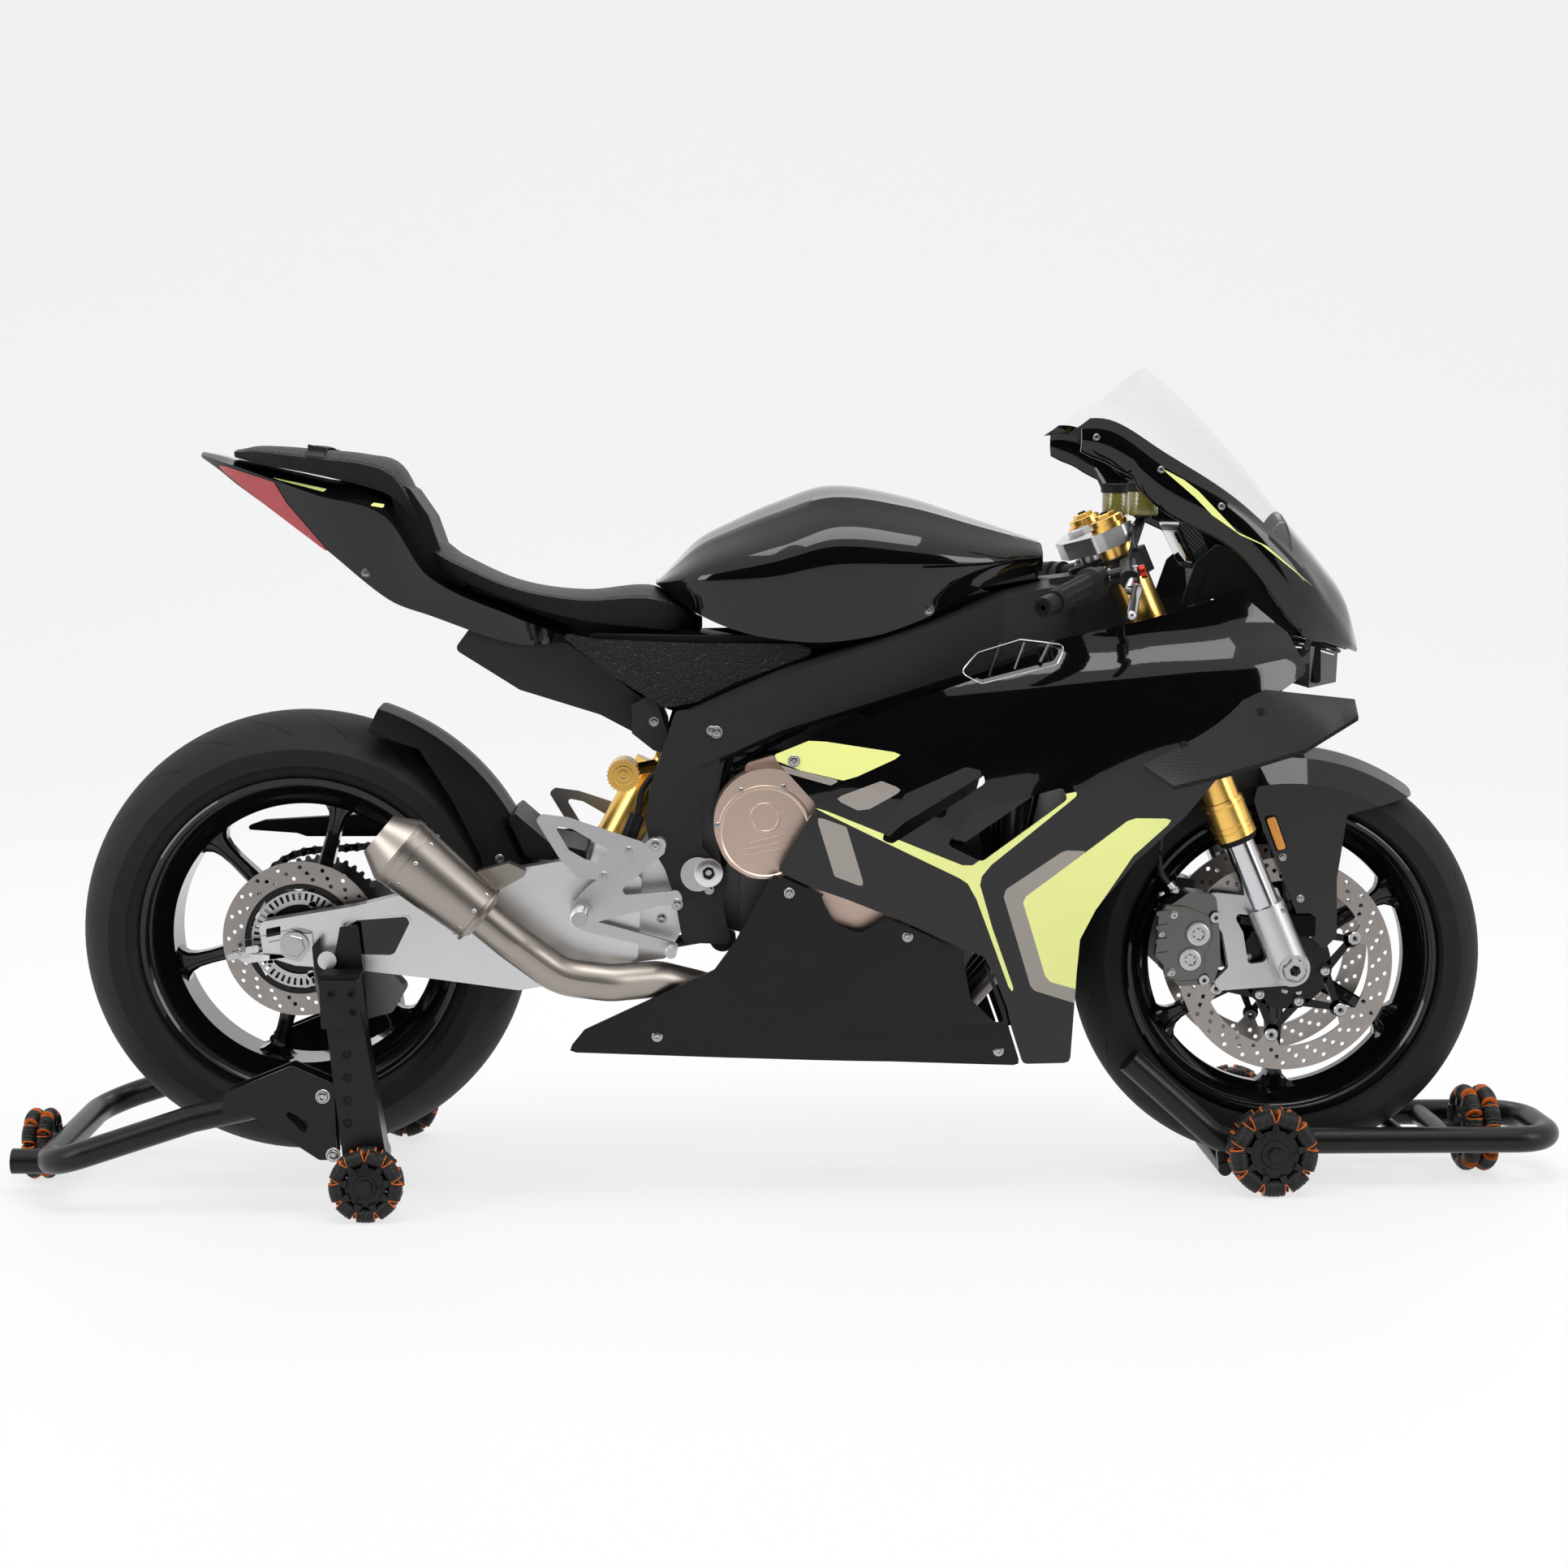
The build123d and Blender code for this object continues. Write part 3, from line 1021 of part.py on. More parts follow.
def side_stand_bracket():
    x, z = SIDE_STAND_PIVOT
    web = [(570, 368), (606, 368), (x + 18, z), (x - 4, z - 18), (x - 22, z)]
    return [
        slab(web, PLATE_INNER_Y, PLATE_INNER_Y + 24, 4),
        pin(x, z, PLATE_INNER_Y, SIDE_STAND_Y - 10 - RUNNING_FIT, 20),
        pin(x, z, PLATE_INNER_Y, SIDE_STAND_Y + 14, SIDE_STAND_PIN),
    ]


os.makedirs("parts", exist_ok=True)
wheels()
axles()
fork()
bars()
front_brakes()
front_fender()
frame()
swingarm()
drive()
engine()
exhaust()
rear_suspension()
fairings()
front_cowl()
tank_and_seats()
hugger()
rider_controls()
rear_brake()
rear_stand()
dolly()
side_stand()
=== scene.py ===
import json
import random
from math import asin, atan2, ceil, cos, degrees, exp, hypot, pi, radians, sin, sqrt, tan, tau

import bmesh
import bpy
from mathutils import Matrix, Vector
from mathutils.bvhtree import BVHTree

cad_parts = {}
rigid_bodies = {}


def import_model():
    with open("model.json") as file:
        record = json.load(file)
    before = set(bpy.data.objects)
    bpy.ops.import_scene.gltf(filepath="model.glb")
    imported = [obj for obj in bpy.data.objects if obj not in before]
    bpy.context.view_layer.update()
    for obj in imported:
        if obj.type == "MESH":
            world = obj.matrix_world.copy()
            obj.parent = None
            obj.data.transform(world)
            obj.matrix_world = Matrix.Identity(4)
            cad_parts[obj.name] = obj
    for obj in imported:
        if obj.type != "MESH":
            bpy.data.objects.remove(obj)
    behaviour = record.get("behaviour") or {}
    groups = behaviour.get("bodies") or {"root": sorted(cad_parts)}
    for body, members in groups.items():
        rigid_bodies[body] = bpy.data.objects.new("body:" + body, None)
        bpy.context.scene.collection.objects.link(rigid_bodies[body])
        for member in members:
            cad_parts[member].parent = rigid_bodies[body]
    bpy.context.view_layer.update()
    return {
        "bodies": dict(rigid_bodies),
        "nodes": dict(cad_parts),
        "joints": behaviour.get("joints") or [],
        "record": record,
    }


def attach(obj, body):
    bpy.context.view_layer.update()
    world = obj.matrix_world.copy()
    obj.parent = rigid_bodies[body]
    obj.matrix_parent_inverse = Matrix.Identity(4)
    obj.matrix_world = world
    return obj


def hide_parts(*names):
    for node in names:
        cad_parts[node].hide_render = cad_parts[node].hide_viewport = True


random.seed(7)
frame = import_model()
nodes = frame["nodes"]
print("frame loaded:", len(nodes), "nodes")


class Wire:
    def __init__(self, finish, socket):
        self.finish = finish
        self.socket = socket

    def math(self, operation, first, second=0.0):
        return self.finish.math(operation, first, second)

    def __add__(self, other):
        return self.math("ADD", self, other)

    def __radd__(self, other):
        return self.math("ADD", other, self)

    def __sub__(self, other):
        return self.math("SUBTRACT", self, other)

    def __rsub__(self, other):
        return self.math("SUBTRACT", other, self)

    def __mul__(self, other):
        return self.math("MULTIPLY", self, other)

    def __rmul__(self, other):
        return self.math("MULTIPLY", other, self)

    def __truediv__(self, other):
        return self.math("DIVIDE", self, other)

    def __rtruediv__(self, other):
        return self.math("DIVIDE", other, self)

    def __pow__(self, other):
        return self.math("POWER", self, other)

    def __mod__(self, other):
        return self.math("FLOORED_MODULO", self, other)

    def __gt__(self, other):
        return self.math("GREATER_THAN", self, other)

    def __lt__(self, other):
        return self.math("LESS_THAN", self, other)

    def __abs__(self):
        return self.math("ABSOLUTE", self)

    def sine(self):
        return self.math("SINE", self)


finishes = {}  # every material by its name


class Finish:  # the nodes of a new material, or of the world it is given
    def __init__(self, name, world=None):
        self.name = name
        self.material = world or bpy.data.materials.new(name)
        self.material.use_nodes = True
        self.tree = self.material.node_tree
        self.shader = self.tree.nodes["Background" if world else "Principled BSDF"]

    def node(self, kind, settings=None, sockets=None, output=0):
        made = self.tree.nodes.new("ShaderNode" + kind)
        for name, value in (settings or {}).items():
            if name == "stops":  # a ramp's positions and colours
                ramp = made.color_ramp
                while len(ramp.elements) < len(value):
                    ramp.elements.new(0.5)
                for element, (position, colour) in zip(ramp.elements, value):
                    element.position = position
                    element.color = (*colour, 1.0)
            else:
                setattr(made, name, value)
        for name, value in (sockets or {}).items():
            self.feed(made.inputs[name], value)
        return Wire(self, made.outputs[output])

    def feed(self, socket, value):
        if isinstance(value, Wire):
            self.tree.links.new(value.socket, socket)
        elif isinstance(value, tuple) and socket.type == "RGBA":
            socket.default_value = (*value[:3], 1.0)
        else:
            socket.default_value = value

    def place(self):
        return self.node("TexCoord", output=3)  # object coordinates, which are metres in the shared frame

    def axes(self, vector=None):
        split = self.node("SeparateXYZ", {}, {0: vector or self.place()})
        outputs = split.socket.node.outputs
        return [Wire(self, outputs[i]) for i in range(3)]

    def math(self, operation, first, second=0.0):
        return self.node("Math", {"operation": operation}, {0: first, 1: second})

    def noise(self, scale, detail=3.0, rough=0.5, vector=None):
        return self.node("TexNoise", {}, {"Vector": vector or self.place(), "Scale": scale, "Detail": detail,
            "Roughness": rough})

    def cells(self, scale, feature="F1", vector=None):
        return self.node("TexVoronoi", {"feature": feature},
            {"Vector": vector or self.place(), "Scale": scale})

    def stretch(self, factors):
        return self.node("Mapping", {}, {"Vector": self.place(), "Scale": factors})

    def mix(self, factor, low, high):
        return self.node("Mix", {"data_type": "RGBA"}, {"Factor": factor, 6: low, 7: high}, output=2)

    def bump(self, height, distance, strength=1.0):
        return self.node("Bump", {}, {"Height": height, "Distance": distance, "Strength": strength})

    def set(self, **values):
        names = {"colour": "Base Color", "roughness": "Roughness", "metallic": "Metallic",
            "coat": "Coat Weight", "coatRoughness": "Coat Roughness", "coatIor": "Coat IOR",
            "normal": "Normal", "alpha": "Alpha", "specular": "Specular IOR Level", "glow": "Emission Color",
            "glowStrength": "Emission Strength"}
        for name, value in values.items():
            self.feed(self.shader.inputs[names[name]], value)
        finishes[self.name] = self.material
        return self.material


def grey(level):
    return (level, level, level)


print("shader helpers ready")


def painted(name, colour, roughness, coat=0.0, peel=0.0, grain=0.0, grainSize=0.0008, dust=0.0, shine=0.3):
    f = Finish(name)
    height = f.noise(1 / 0.02, 2) * peel
    if grain:
        height = height + f.noise(1 / grainSize, 2) * grain
    patches = f.noise(9, 4)
    tone = f.mix(patches * dust, colour, tuple(min(1.0, c * 1.6 + 0.004) for c in colour))
    return f.set(colour=tone, roughness=f.noise(30, 3) * 0.06 + (roughness - 0.03), coat=coat,
        coatRoughness=0.02, coatIor=1.45, specular=shine, normal=f.bump(height, 1.0))


def metal(name, colour, roughness, grain=0.0, grainSize=0.0006, spread=0.08, tint=0.08, brush=None):
    f = Finish(name)
    vector = f.stretch(brush) if brush else None
    streak = f.noise(1 / grainSize if not brush else 1.0, 3, 0.6, vector)
    tone = f.mix(f.noise(14, 4), tuple(c * (1 - tint) for c in colour),
        tuple(min(1.0, c * (1 + tint)) for c in colour))
    return f.set(colour=tone, metallic=1.0, roughness=streak * spread + (roughness - spread / 2),
        normal=f.bump(streak * grain, 1.0))


def lugAlloy(seatAhead=0.873, seatAbove=0.362):  # cast legs whose fender seats are painted black
    f = Finish("lugAlloy")
    x, _, z = f.axes()
    seat = (x + z * 0.4307 > seatAhead) * (z > seatAbove)
    grain = f.noise(800, 3)
    tone = f.mix(f.noise(14, 4), (0.58, 0.58, 0.59), (0.66, 0.66, 0.67))
    return f.set(colour=f.mix(seat, tone, grey(0.01)), metallic=1.0, roughness=grain * 0.12 + 0.3,
        normal=f.bump(grain * 0.0002, 1.0))


def tyreRubber(name, centreX, centreZ, slashes, width):
    f = Finish(name)
    x, y, z = f.axes()
    dx, dz = x - centreX, z - centreZ
    radius = (dx * dx + dz * dz) ** 0.5
    turn = f.math("ARCTAN2", dz, dx) / tau
    lateral = abs(y) / (width / 2)
    sweep = (turn * slashes + lateral * lateral * 1.3 + (y > 0.0) * 0.5) % 1.0
    slash = (abs(sweep - 0.5) < 0.035) * (lateral > 0.28) * (lateral < 0.82)
    rings = ((radius * (tau / 0.0035)).sine() > 0.2) * (radius < 0.262) * (radius > 0.243)
    grain = f.noise(700, 3) * 0.00012 + f.noise(60, 3) * 0.0002 - slash * 0.003 + rings * 0.0004
    wear = f.noise(22, 5, 0.6)
    tone = f.mix(wear, grey(0.008), (0.018, 0.018, 0.019))
    # the tread grooves are painted darker than the rubber round them: painted shade in the grooves
    return f.set(colour=f.mix(slash, tone, grey(0.004)), roughness=wear * 0.2 + 0.5, specular=0.2,
        normal=f.bump(grain, 1.0))


def seatLeather():
    f = Finish("seatLeather")
    pores = f.cells(620, "DISTANCE_TO_EDGE") * 0.0009 + f.noise(260, 4) * 0.0002
    return f.set(colour=f.mix(f.noise(40, 3), grey(0.006), grey(0.013)),
        roughness=f.noise(90, 3) * 0.14 + 0.42, specular=0.22, normal=f.bump(pores, 1.0, 0.8))


def titanium():
    f = Finish("titanium")
    x = f.axes()[0]
    heat = f.node("MapRange", {}, {"Value": x + f.noise(16, 3) * 0.05, "From Min": -0.16, "From Max": 0.1})
    stops = [(0.0, (0.36, 0.32, 0.285)), (0.45, (0.34, 0.29, 0.25)), (0.72, (0.27, 0.2, 0.15)),
        (1.0, (0.17, 0.14, 0.15))]
    tone = f.node("ValToRGB", {"stops": stops}, {0: heat})
    speck = f.noise(1300, 2)
    return f.set(colour=f.mix(speck * 0.25, tone, (0.5, 0.47, 0.43)), metallic=1.0,
        roughness=speck * 0.1 + 0.3, normal=f.bump(speck * 0.00006, 1.0))


def carbonWeave():
    f = Finish("carbonWeave")
    x, y, z = f.axes()
    along = (x * 0.8 + z * 0.6) / 0.004
    across = (z * 0.8 - x * 0.6 + y * 0.5) / 0.004
    step = (f.math("FLOOR", along) + f.math("FLOOR", across)) % 2.0
    thread = (along * (4 * tau)).sine() * step + (across * (4 * tau)).sine() * (1 - step)
    return f.set(colour=f.mix(step * 0.9, (0.004, 0.004, 0.0045), (0.012, 0.012, 0.013)),
        roughness=step * 0.15 + 0.28, specular=0.2, coat=0.15, coatRoughness=0.2,
        normal=f.bump(thread * 0.00006, 1.0))


def discSteel():
    f = Finish("discSteel")
    ground = f.noise(420, 2)
    return f.set(colour=f.mix(f.noise(30, 3), (0.33, 0.30, 0.28), (0.42, 0.385, 0.36)), metallic=1.0,
        roughness=ground * 0.12 + 0.26, normal=f.bump(ground * 0.00004, 1.0))


def clearScreen():
    f = Finish("clearScreen")
    edge = f.node("LayerWeight", {}, {"Blend": 0.35}, output=1)
    # the pane turns more opaque in its pale grey where it is seen at a glancing angle: a painted glancing
    # reflection
    return f.set(colour=(0.6, 0.62, 0.63), roughness=0.02, alpha=edge * 0.12 + 0.02, specular=0.5, coat=0.2,
        coatRoughness=0.01)


def lens(name, colour, depth, alpha=1.0):
    f = Finish(name)
    x, _, z = f.axes()
    ribs = ((x + z) * (tau / 0.006)).sine() * 0.0002
    tone = f.mix(f.noise(25, 2), depth, colour)
    return f.set(colour=tone, roughness=0.09, coat=1.0, coatRoughness=0.02, alpha=alpha,
        normal=f.bump(ribs, 1.0, 0.5))


def hexPad():
    f = Finish("hexPad")
    cell = f.cells(150, "DISTANCE_TO_EDGE")
    ridge = f.node("MapRange", {}, {"Value": cell, "From Min": 0.03, "From Max": 0.12})
    # the cells are painted lighter on their raised middles and darker in the grooves between them: painted
    # light and shade
    return f.set(colour=f.mix(ridge, grey(0.006), (0.014, 0.014, 0.015)), roughness=0.5 - ridge * 0.12,
        specular=0.3, normal=f.bump(ridge * 0.0009, 1.0))


painted("glossBlack", (0.003, 0.003, 0.0033), 0.12, coat=1.0, peel=0.00002, shine=0.06)
painted("satinBlack", (0.006, 0.006, 0.0065), 0.34, grain=0.00004, grainSize=0.0015, dust=0.5, shine=0.22)
painted("mattBlack", (0.0045, 0.0045, 0.005), 0.46, shine=0.17, grain=0.00006, grainSize=0.0012, dust=0.5)
painted("texturedBlack", (0.017, 0.017, 0.018), 0.4, shine=0.25, grain=0.0003, grainSize=0.0011, dust=0.6)
painted("subframeGrey", (0.016, 0.016, 0.018), 0.45, shine=0.3, grain=0.0003, grainSize=0.0012, dust=0.4)
painted("wheelBlack", (0.004, 0.004, 0.0043), 0.18, coat=0.7, peel=0.00003, shine=0.15)
painted("standBlack", grey(0.006), 0.3, shine=0.3, grain=0.0002, grainSize=0.0016, dust=0.3)
painted("rubberBlack", grey(0.009), 0.55, shine=0.25, grain=0.00025, grainSize=0.001, dust=0.5)
painted("rollerBlack", grey(0.009), 0.45, shine=0.3, grain=0.0002, grainSize=0.001, dust=0.5)
painted("lime", (0.93, 0.98, 0.34), 0.22, coat=0.6)
painted("taupe", (0.35, 0.315, 0.285), 0.25, coat=0.6)
painted("threadGrey", grey(0.16), 0.7, grain=0.0002, grainSize=0.0008)
painted("strapWeave", grey(0.012), 0.7, grain=0.0004, grainSize=0.0014)
painted("orangeRing", (0.75, 0.16, 0.02), 0.4)
lens("amber", (0.95, 0.42, 0.02), (0.7, 0.2, 0.0))
lens("redLens", (0.55, 0.03, 0.04), (0.3, 0.01, 0.015))
lens("lampGlass", (0.03, 0.032, 0.036), (0.01, 0.01, 0.012))
lens("smokedPot", (0.30, 0.28, 0.05), (0.10, 0.09, 0.02))
metal("brushedAlloy", (0.76, 0.76, 0.77), 0.32, grain=0.00003, spread=0.14, tint=0.05, brush=(25, 900, 900))
metal("castAlloy", (0.62, 0.62, 0.63), 0.36, grain=0.0002, grainSize=0.0012, spread=0.12)
lugAlloy()
metal("darkAlloy", (0.11, 0.11, 0.115), 0.42, grain=0.0003, grainSize=0.002, spread=0.12)
metal("chrome", (0.62, 0.62, 0.64), 0.14, spread=0.04)
metal("steelBolt", grey(0.50), 0.24, spread=0.1)
metal("gold", (0.97, 0.58, 0.15), 0.26, spread=0.03)
metal("bronze", (0.72, 0.55, 0.46), 0.36, grain=0.00008, grainSize=0.002, spread=0.12)
metal("caliperGrey", (0.17, 0.18, 0.165), 0.38, grain=0.0001, spread=0.1)
tyreRubber("rearTyreRubber", -0.7045, 0.365, 22, 0.190)
tyreRubber("frontTyreRubber", 0.7045, 0.323, 24, 0.120)
painted("gripRubber", grey(0.010), 0.6, grain=0.0002, grainSize=0.0007, shine=0.2)
metal("redAnodised", (0.5, 0.03, 0.02), 0.3)
painted("hoseBraid", grey(0.012), 0.4, grain=0.0006, grainSize=0.0016, shine=0.3)
painted("glassBlack", (0.002, 0.002, 0.003), 0.06, coat=0.8, shine=0.3)
metal("lampMirror", (0.85, 0.86, 0.88), 0.08, spread=0.03)
painted("spiderBlack", grey(0.006), 0.3, grain=0.00005)
painted("hubBlack", grey(0.010), 0.4, grain=0.0001)
metal("chainSteel", (0.16, 0.155, 0.15), 0.4, spread=0.15)
seatLeather()
titanium()
carbonWeave()
discSteel()
clearScreen()
hexPad()
print("finishes ready:", len(finishes))

finishNodes = {
    "texturedBlack": ("frame_beams",),
    "subframeGrey": ("subframe",),
    "brushedAlloy": ("swingarm",),
    "steelBolt": ("rear_axle_and_pivot", "drive_chain", "rear_sprocket"),
    "darkAlloy": ("engine_block", "radiator"),
    "bronze": ("engine_covers",),
    "titanium": ("exhaust_pipes", "muffler"),
    "gold": ("rear_shock", "fork_outers"),
    "glossBlack": ("side_fairings", "upper_cowl", "fuel_tank", "tank_cover", "tail_cowl", "front_fender"),
    "satinBlack": ("belly_pans", "levers"),
    "carbonWeave": ("winglets",),
    "clearScreen": ("windscreen",),
    "lampGlass": ("headlight", "instrument_panel"),
    "seatLeather": ("rider_seat", "pillion_seat"),
    "redLens": ("tail_light",),
    "hexPad": ("side_panels",),
    "mattBlack": ("rear_hugger", "clip_ons", "side_stand"),
    "castAlloy": ("rearset_plates", "foot_controls", "triple_clamps", "front_axle"),
    "caliperGrey": ("rear_caliper", "front_calipers"),
    "standBlack": ("rear_stand_frame", "stand_socket", "rear_stand_lifts", "dolly_frame"),
    "rearTyreRubber": ("rear_tyre",),
    "wheelBlack": ("rear_rim", "front_rim"),
    "discSteel": ("rear_disc", "front_discs"),
    "chrome": ("fork_stanchions",),
    "lugAlloy": ("fork_lugs",),
    "rubberBlack": ("grips",),
    "smokedPot": ("brake_reservoirs",),
    "frontTyreRubber": ("front_tyre",),
    "rollerBlack": ("stand_wheel_left", "stand_wheel_right", "stand_wheel_rear", "dolly_wheel_left",
        "dolly_wheel_right", "dolly_wheel_front"),
}
for finishName, nodeNames in finishNodes.items():
    for nodeName in nodeNames:
        nodes[nodeName].data.materials.clear()
        nodes[nodeName].data.materials.append(finishes[finishName])
print("frame nodes painted")

axleX = 704.5  # how far the rear axle is behind the middle of the footprint, in millimetres


def at(x, y, z):
    return Vector(((x - axleX) / 1000, y / 1000, z / 1000))


def spline(points, steps, sharp=(), closed=False):
    count = len(points)
    points = [Vector(p) for p in points]
    out = []
    for i in range(count if closed else count - 1):
        following = (i + 1) % count
        b, c = points[i], points[following]
        a = points[(i - 1) % count] if closed or i > 0 else b - (c - b)
        d = points[(i + 2) % count] if closed or i + 2 < count else c + (c - b)
        long = max((c - b).length, 1e-6)
        spanB, spanC = (c - b).length + (b - a).length, (d - c).length + (c - b).length
        tangentB = (c - a) * (long / max(spanB, 1e-6)) if i not in sharp else c - b
        tangentC = (d - b) * (long / max(spanC, 1e-6)) if following not in sharp else c - b
        for s in range(steps):
            t = s / steps
            start = b * (2 * t**3 - 3 * t**2 + 1) + tangentB * (t**3 - 2 * t**2 + t)
            out.append(start + c * (3 * t**2 - 2 * t**3) + tangentC * (t**3 - t**2))
    if not closed:
        out.append(points[-1])
    return out


def rounded(points, radius, steps=3):
    out = []
    count = len(points)
    for i in range(count):
        a, b, c = (Vector(points[j % count]) for j in (i - 1, i, i + 1))
        before, after = a - b, c - b
        turn = before.angle(after, pi)
        reach = min(radius / max(tan(turn / 2), 0.2), before.length * 0.45, after.length * 0.45)
        start, end = b + before.normalized() * reach, b + after.normalized() * reach
        for s in range(steps + 1):
            t = s / steps
            out.append(start * (1 - t) ** 2 + b * 2 * t * (1 - t) + end * t**2)
    return out


def piece(name, points, faces, finish, body, slot, replaces=(), bevel=0.0, subdivide=0, sharpAngle=35,
    faceFinish=None):
    mesh = bpy.data.meshes.new(name)
    mesh.from_pydata([tuple(p) for p in points], [], faces)
    mesh.validate()
    fixer = bmesh.new()
    fixer.from_mesh(mesh)
    bmesh.ops.recalc_face_normals(fixer, faces=fixer.faces)
    fixer.to_mesh(mesh)
    fixer.free()
    names = finish if isinstance(finish, list) else [finish]
    for one in names:
        mesh.materials.append(finishes[one])
    if faceFinish:
        mesh.polygons.foreach_set("material_index", faceFinish)
    made = bpy.data.objects.new(name, mesh)
    bpy.context.collection.objects.link(made)
    dress(made, bevel, subdivide, sharpAngle)
    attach(made, body)
    if replaces:
        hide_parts(*replaces)
    return made


def dress(made, bevel=0.0, subdivide=0, sharpAngle=35):
    made.data.shade_smooth()
    if subdivide:
        smoother = made.modifiers.new("Subdivision", "SUBSURF")
        smoother.levels = smoother.render_levels = subdivide
    if bevel:
        edge = made.modifiers.new("Bevel", "BEVEL")
        edge.width = bevel / 1000
        edge.segments = 2
        edge.limit_method = "ANGLE"
        edge.angle_limit = radians(sharpAngle)
        edge.harden_normals = True
    elif not subdivide:
        made.data.set_sharp_from_angle(angle=radians(sharpAngle))


class Shape:  # points in millimetres, x from the rear axle and z from the floor, gathered into one mesh
    def __init__(self):
        self.points = []
        self.faces = []
        self.marks = []

    def add(self, points, faces, mark=0):
        start = len(self.points)
        self.points += [Vector(p) for p in points]
        self.faces += [[start + i for i in face] for face in faces]
        self.marks += [mark] * len(faces)
        return self

    def rings(self, rings, mark=0, caps=True, closedRing=True, closedRow=False):
        size = len(rings[0])
        start = len(self.points)
        for ring in rings:
            self.points += [Vector(p) for p in ring]
        rows = len(rings) if closedRow else len(rings) - 1
        for r in range(rows):
            low, high = start + r * size, start + ((r + 1) % len(rings)) * size
            for i in range(size if closedRing else size - 1):
                j = (i + 1) % size
                self.faces.append([low + i, low + j, high + j, high + i])
                self.marks.append(mark)
        if caps and not closedRow:
            self.faces.append([start + i for i in range(size)][::-1])
            self.faces.append([start + (len(rings) - 1) * size + i for i in range(size)])
            self.marks += [mark, mark]
        return self

    def turned(self, profile, centre, axis=(0, 1, 0), steps=24, mark=0, closed=False):
        # the profile is of radius and distance along the axis
        axis = Vector(axis).normalized()
        side = axis.orthogonal().normalized()
        other = axis.cross(side)
        centre = Vector(centre)
        rings = []
        for radius, along in profile:
            rings.append([centre + axis * along + (side * cos(a) + other * sin(a)) * radius
                for a in (tau * i / steps for i in range(steps))])
        return self.rings(rings, mark, caps=not closed, closedRow=closed)

    def hollow(self, profile, centre, axis=(0, 1, 0), steps=24, mark=0):  # turned round a bore
        return self.turned(profile, centre, axis, steps, mark, True)

    def tube(self, path, radius, steps=10, mark=0, flat=1.0):
        rings = []
        path = [Vector(p) for p in path]
        up = Vector((0, 0, 1))
        for i, p in enumerate(path):
            ahead = (path[min(i + 1, len(path) - 1)] - path[max(i - 1, 0)]).normalized()
            side = ahead.cross(up)
            side = side.normalized() if side.length > 0.05 else Vector((0, 1, 0))
            over = side.cross(ahead)
            size = radius[i] if isinstance(radius, (list, tuple)) else radius
            rings.append([p + (side * cos(a) + over * sin(a) * flat) * size
                for a in (tau * k / steps for k in range(steps))])
        return self.rings(rings, mark)

    def slab(self, outline, near, far, mark=0):  # an outline in x and z, between two distances across
        return self.rings([[(p[0], y, p[1]) for p in outline] for y in sorted((near, far))], mark)

    def mirrored(self):
        start = len(self.points)
        self.points += [Vector((p.x, -p.y, p.z)) for p in self.points]
        self.faces += [[start + i for i in face][::-1] for face in self.faces]
        self.marks += self.marks
        return self

    def make(self, name, finish, slot, body="chassis", **more):
        points = [at(*p) for p in self.points]
        return piece(name, points, self.faces, finish, body, slot, faceFinish=self.marks, **more)


def shapes(count):
    return [Shape() for _ in range(count)]


def inside(x, z, outline):
    hit = False
    for i in range(len(outline)):
        (x1, z1), (x2, z2) = outline[i - 1], outline[i]
        if (z1 > z) != (z2 > z) and x < (x2 - x1) * (z - z1) / (z2 - z1) + x1:
            hit = not hit
    return hit


def cutSheet(outline, holes, regions, step):
    # a flat grid cut along every outline, as points and faces with the number of the region each lies in
    xs, zs = [p[0] for p in outline], [p[1] for p in outline]
    grid = bmesh.new()
    columns = max(1, ceil((max(xs) - min(xs)) / step))
    rows = max(1, ceil((max(zs) - min(zs)) / step))
    left, foot = min(xs) - 1, min(zs) - 1
    wide, tall = max(xs) - min(xs) + 2, max(zs) - min(zs) + 2
    corner = [[grid.verts.new((left + i * wide / columns, 0, foot + j * tall / rows))
        for j in range(rows + 1)] for i in range(columns + 1)]
    for i in range(columns):
        for j in range(rows):
            grid.faces.new((corner[i][j], corner[i + 1][j], corner[i + 1][j + 1], corner[i][j + 1]))
    for line in [outline] + holes + [r[0] for r in regions]:
        for k in range(len(line)):
            a, b = Vector((line[k - 1][0], 0, line[k - 1][1])), Vector((line[k][0], 0, line[k][1]))
            if (b - a).length < 1e-6:
                continue
            lowX, highX, lowZ, highZ = min(a.x, b.x), max(a.x, b.x), min(a.z, b.z), max(a.z, b.z)
            near = []
            for face in grid.faces:
                fx, fz = [v.co.x for v in face.verts], [v.co.z for v in face.verts]
                if max(fx) >= lowX and min(fx) <= highX and max(fz) >= lowZ and min(fz) <= highZ:
                    near.append(face)
            edges, corners = {e for f in near for e in f.edges}, {v for f in near for v in f.verts}
            across = (b - a).cross(Vector((0, 1, 0))).normalized()
            bmesh.ops.bisect_plane(grid, geom=list(edges) + list(corners) + near, dist=1e-4, plane_co=a,
                plane_no=across)
    gone, numbers = [], {}
    for face in grid.faces:
        middle = face.calc_center_median()
        if not inside(middle.x, middle.z, outline) or any(inside(middle.x, middle.z, hole) for hole in holes):
            gone.append(face)
            continue
        numbers[face] = 0
        for line, number in regions:
            if inside(middle.x, middle.z, line):
                numbers[face] = number
    bmesh.ops.delete(grid, geom=gone, context="FACES")
    grid.verts.index_update()
    points = [(v.co.x, v.co.z) for v in grid.verts]
    faces = [([v.index for v in face.verts], numbers[face]) for face in grid.faces]
    grid.free()
    return points, faces


sheets = {}  # sheets already cut, by their outlines


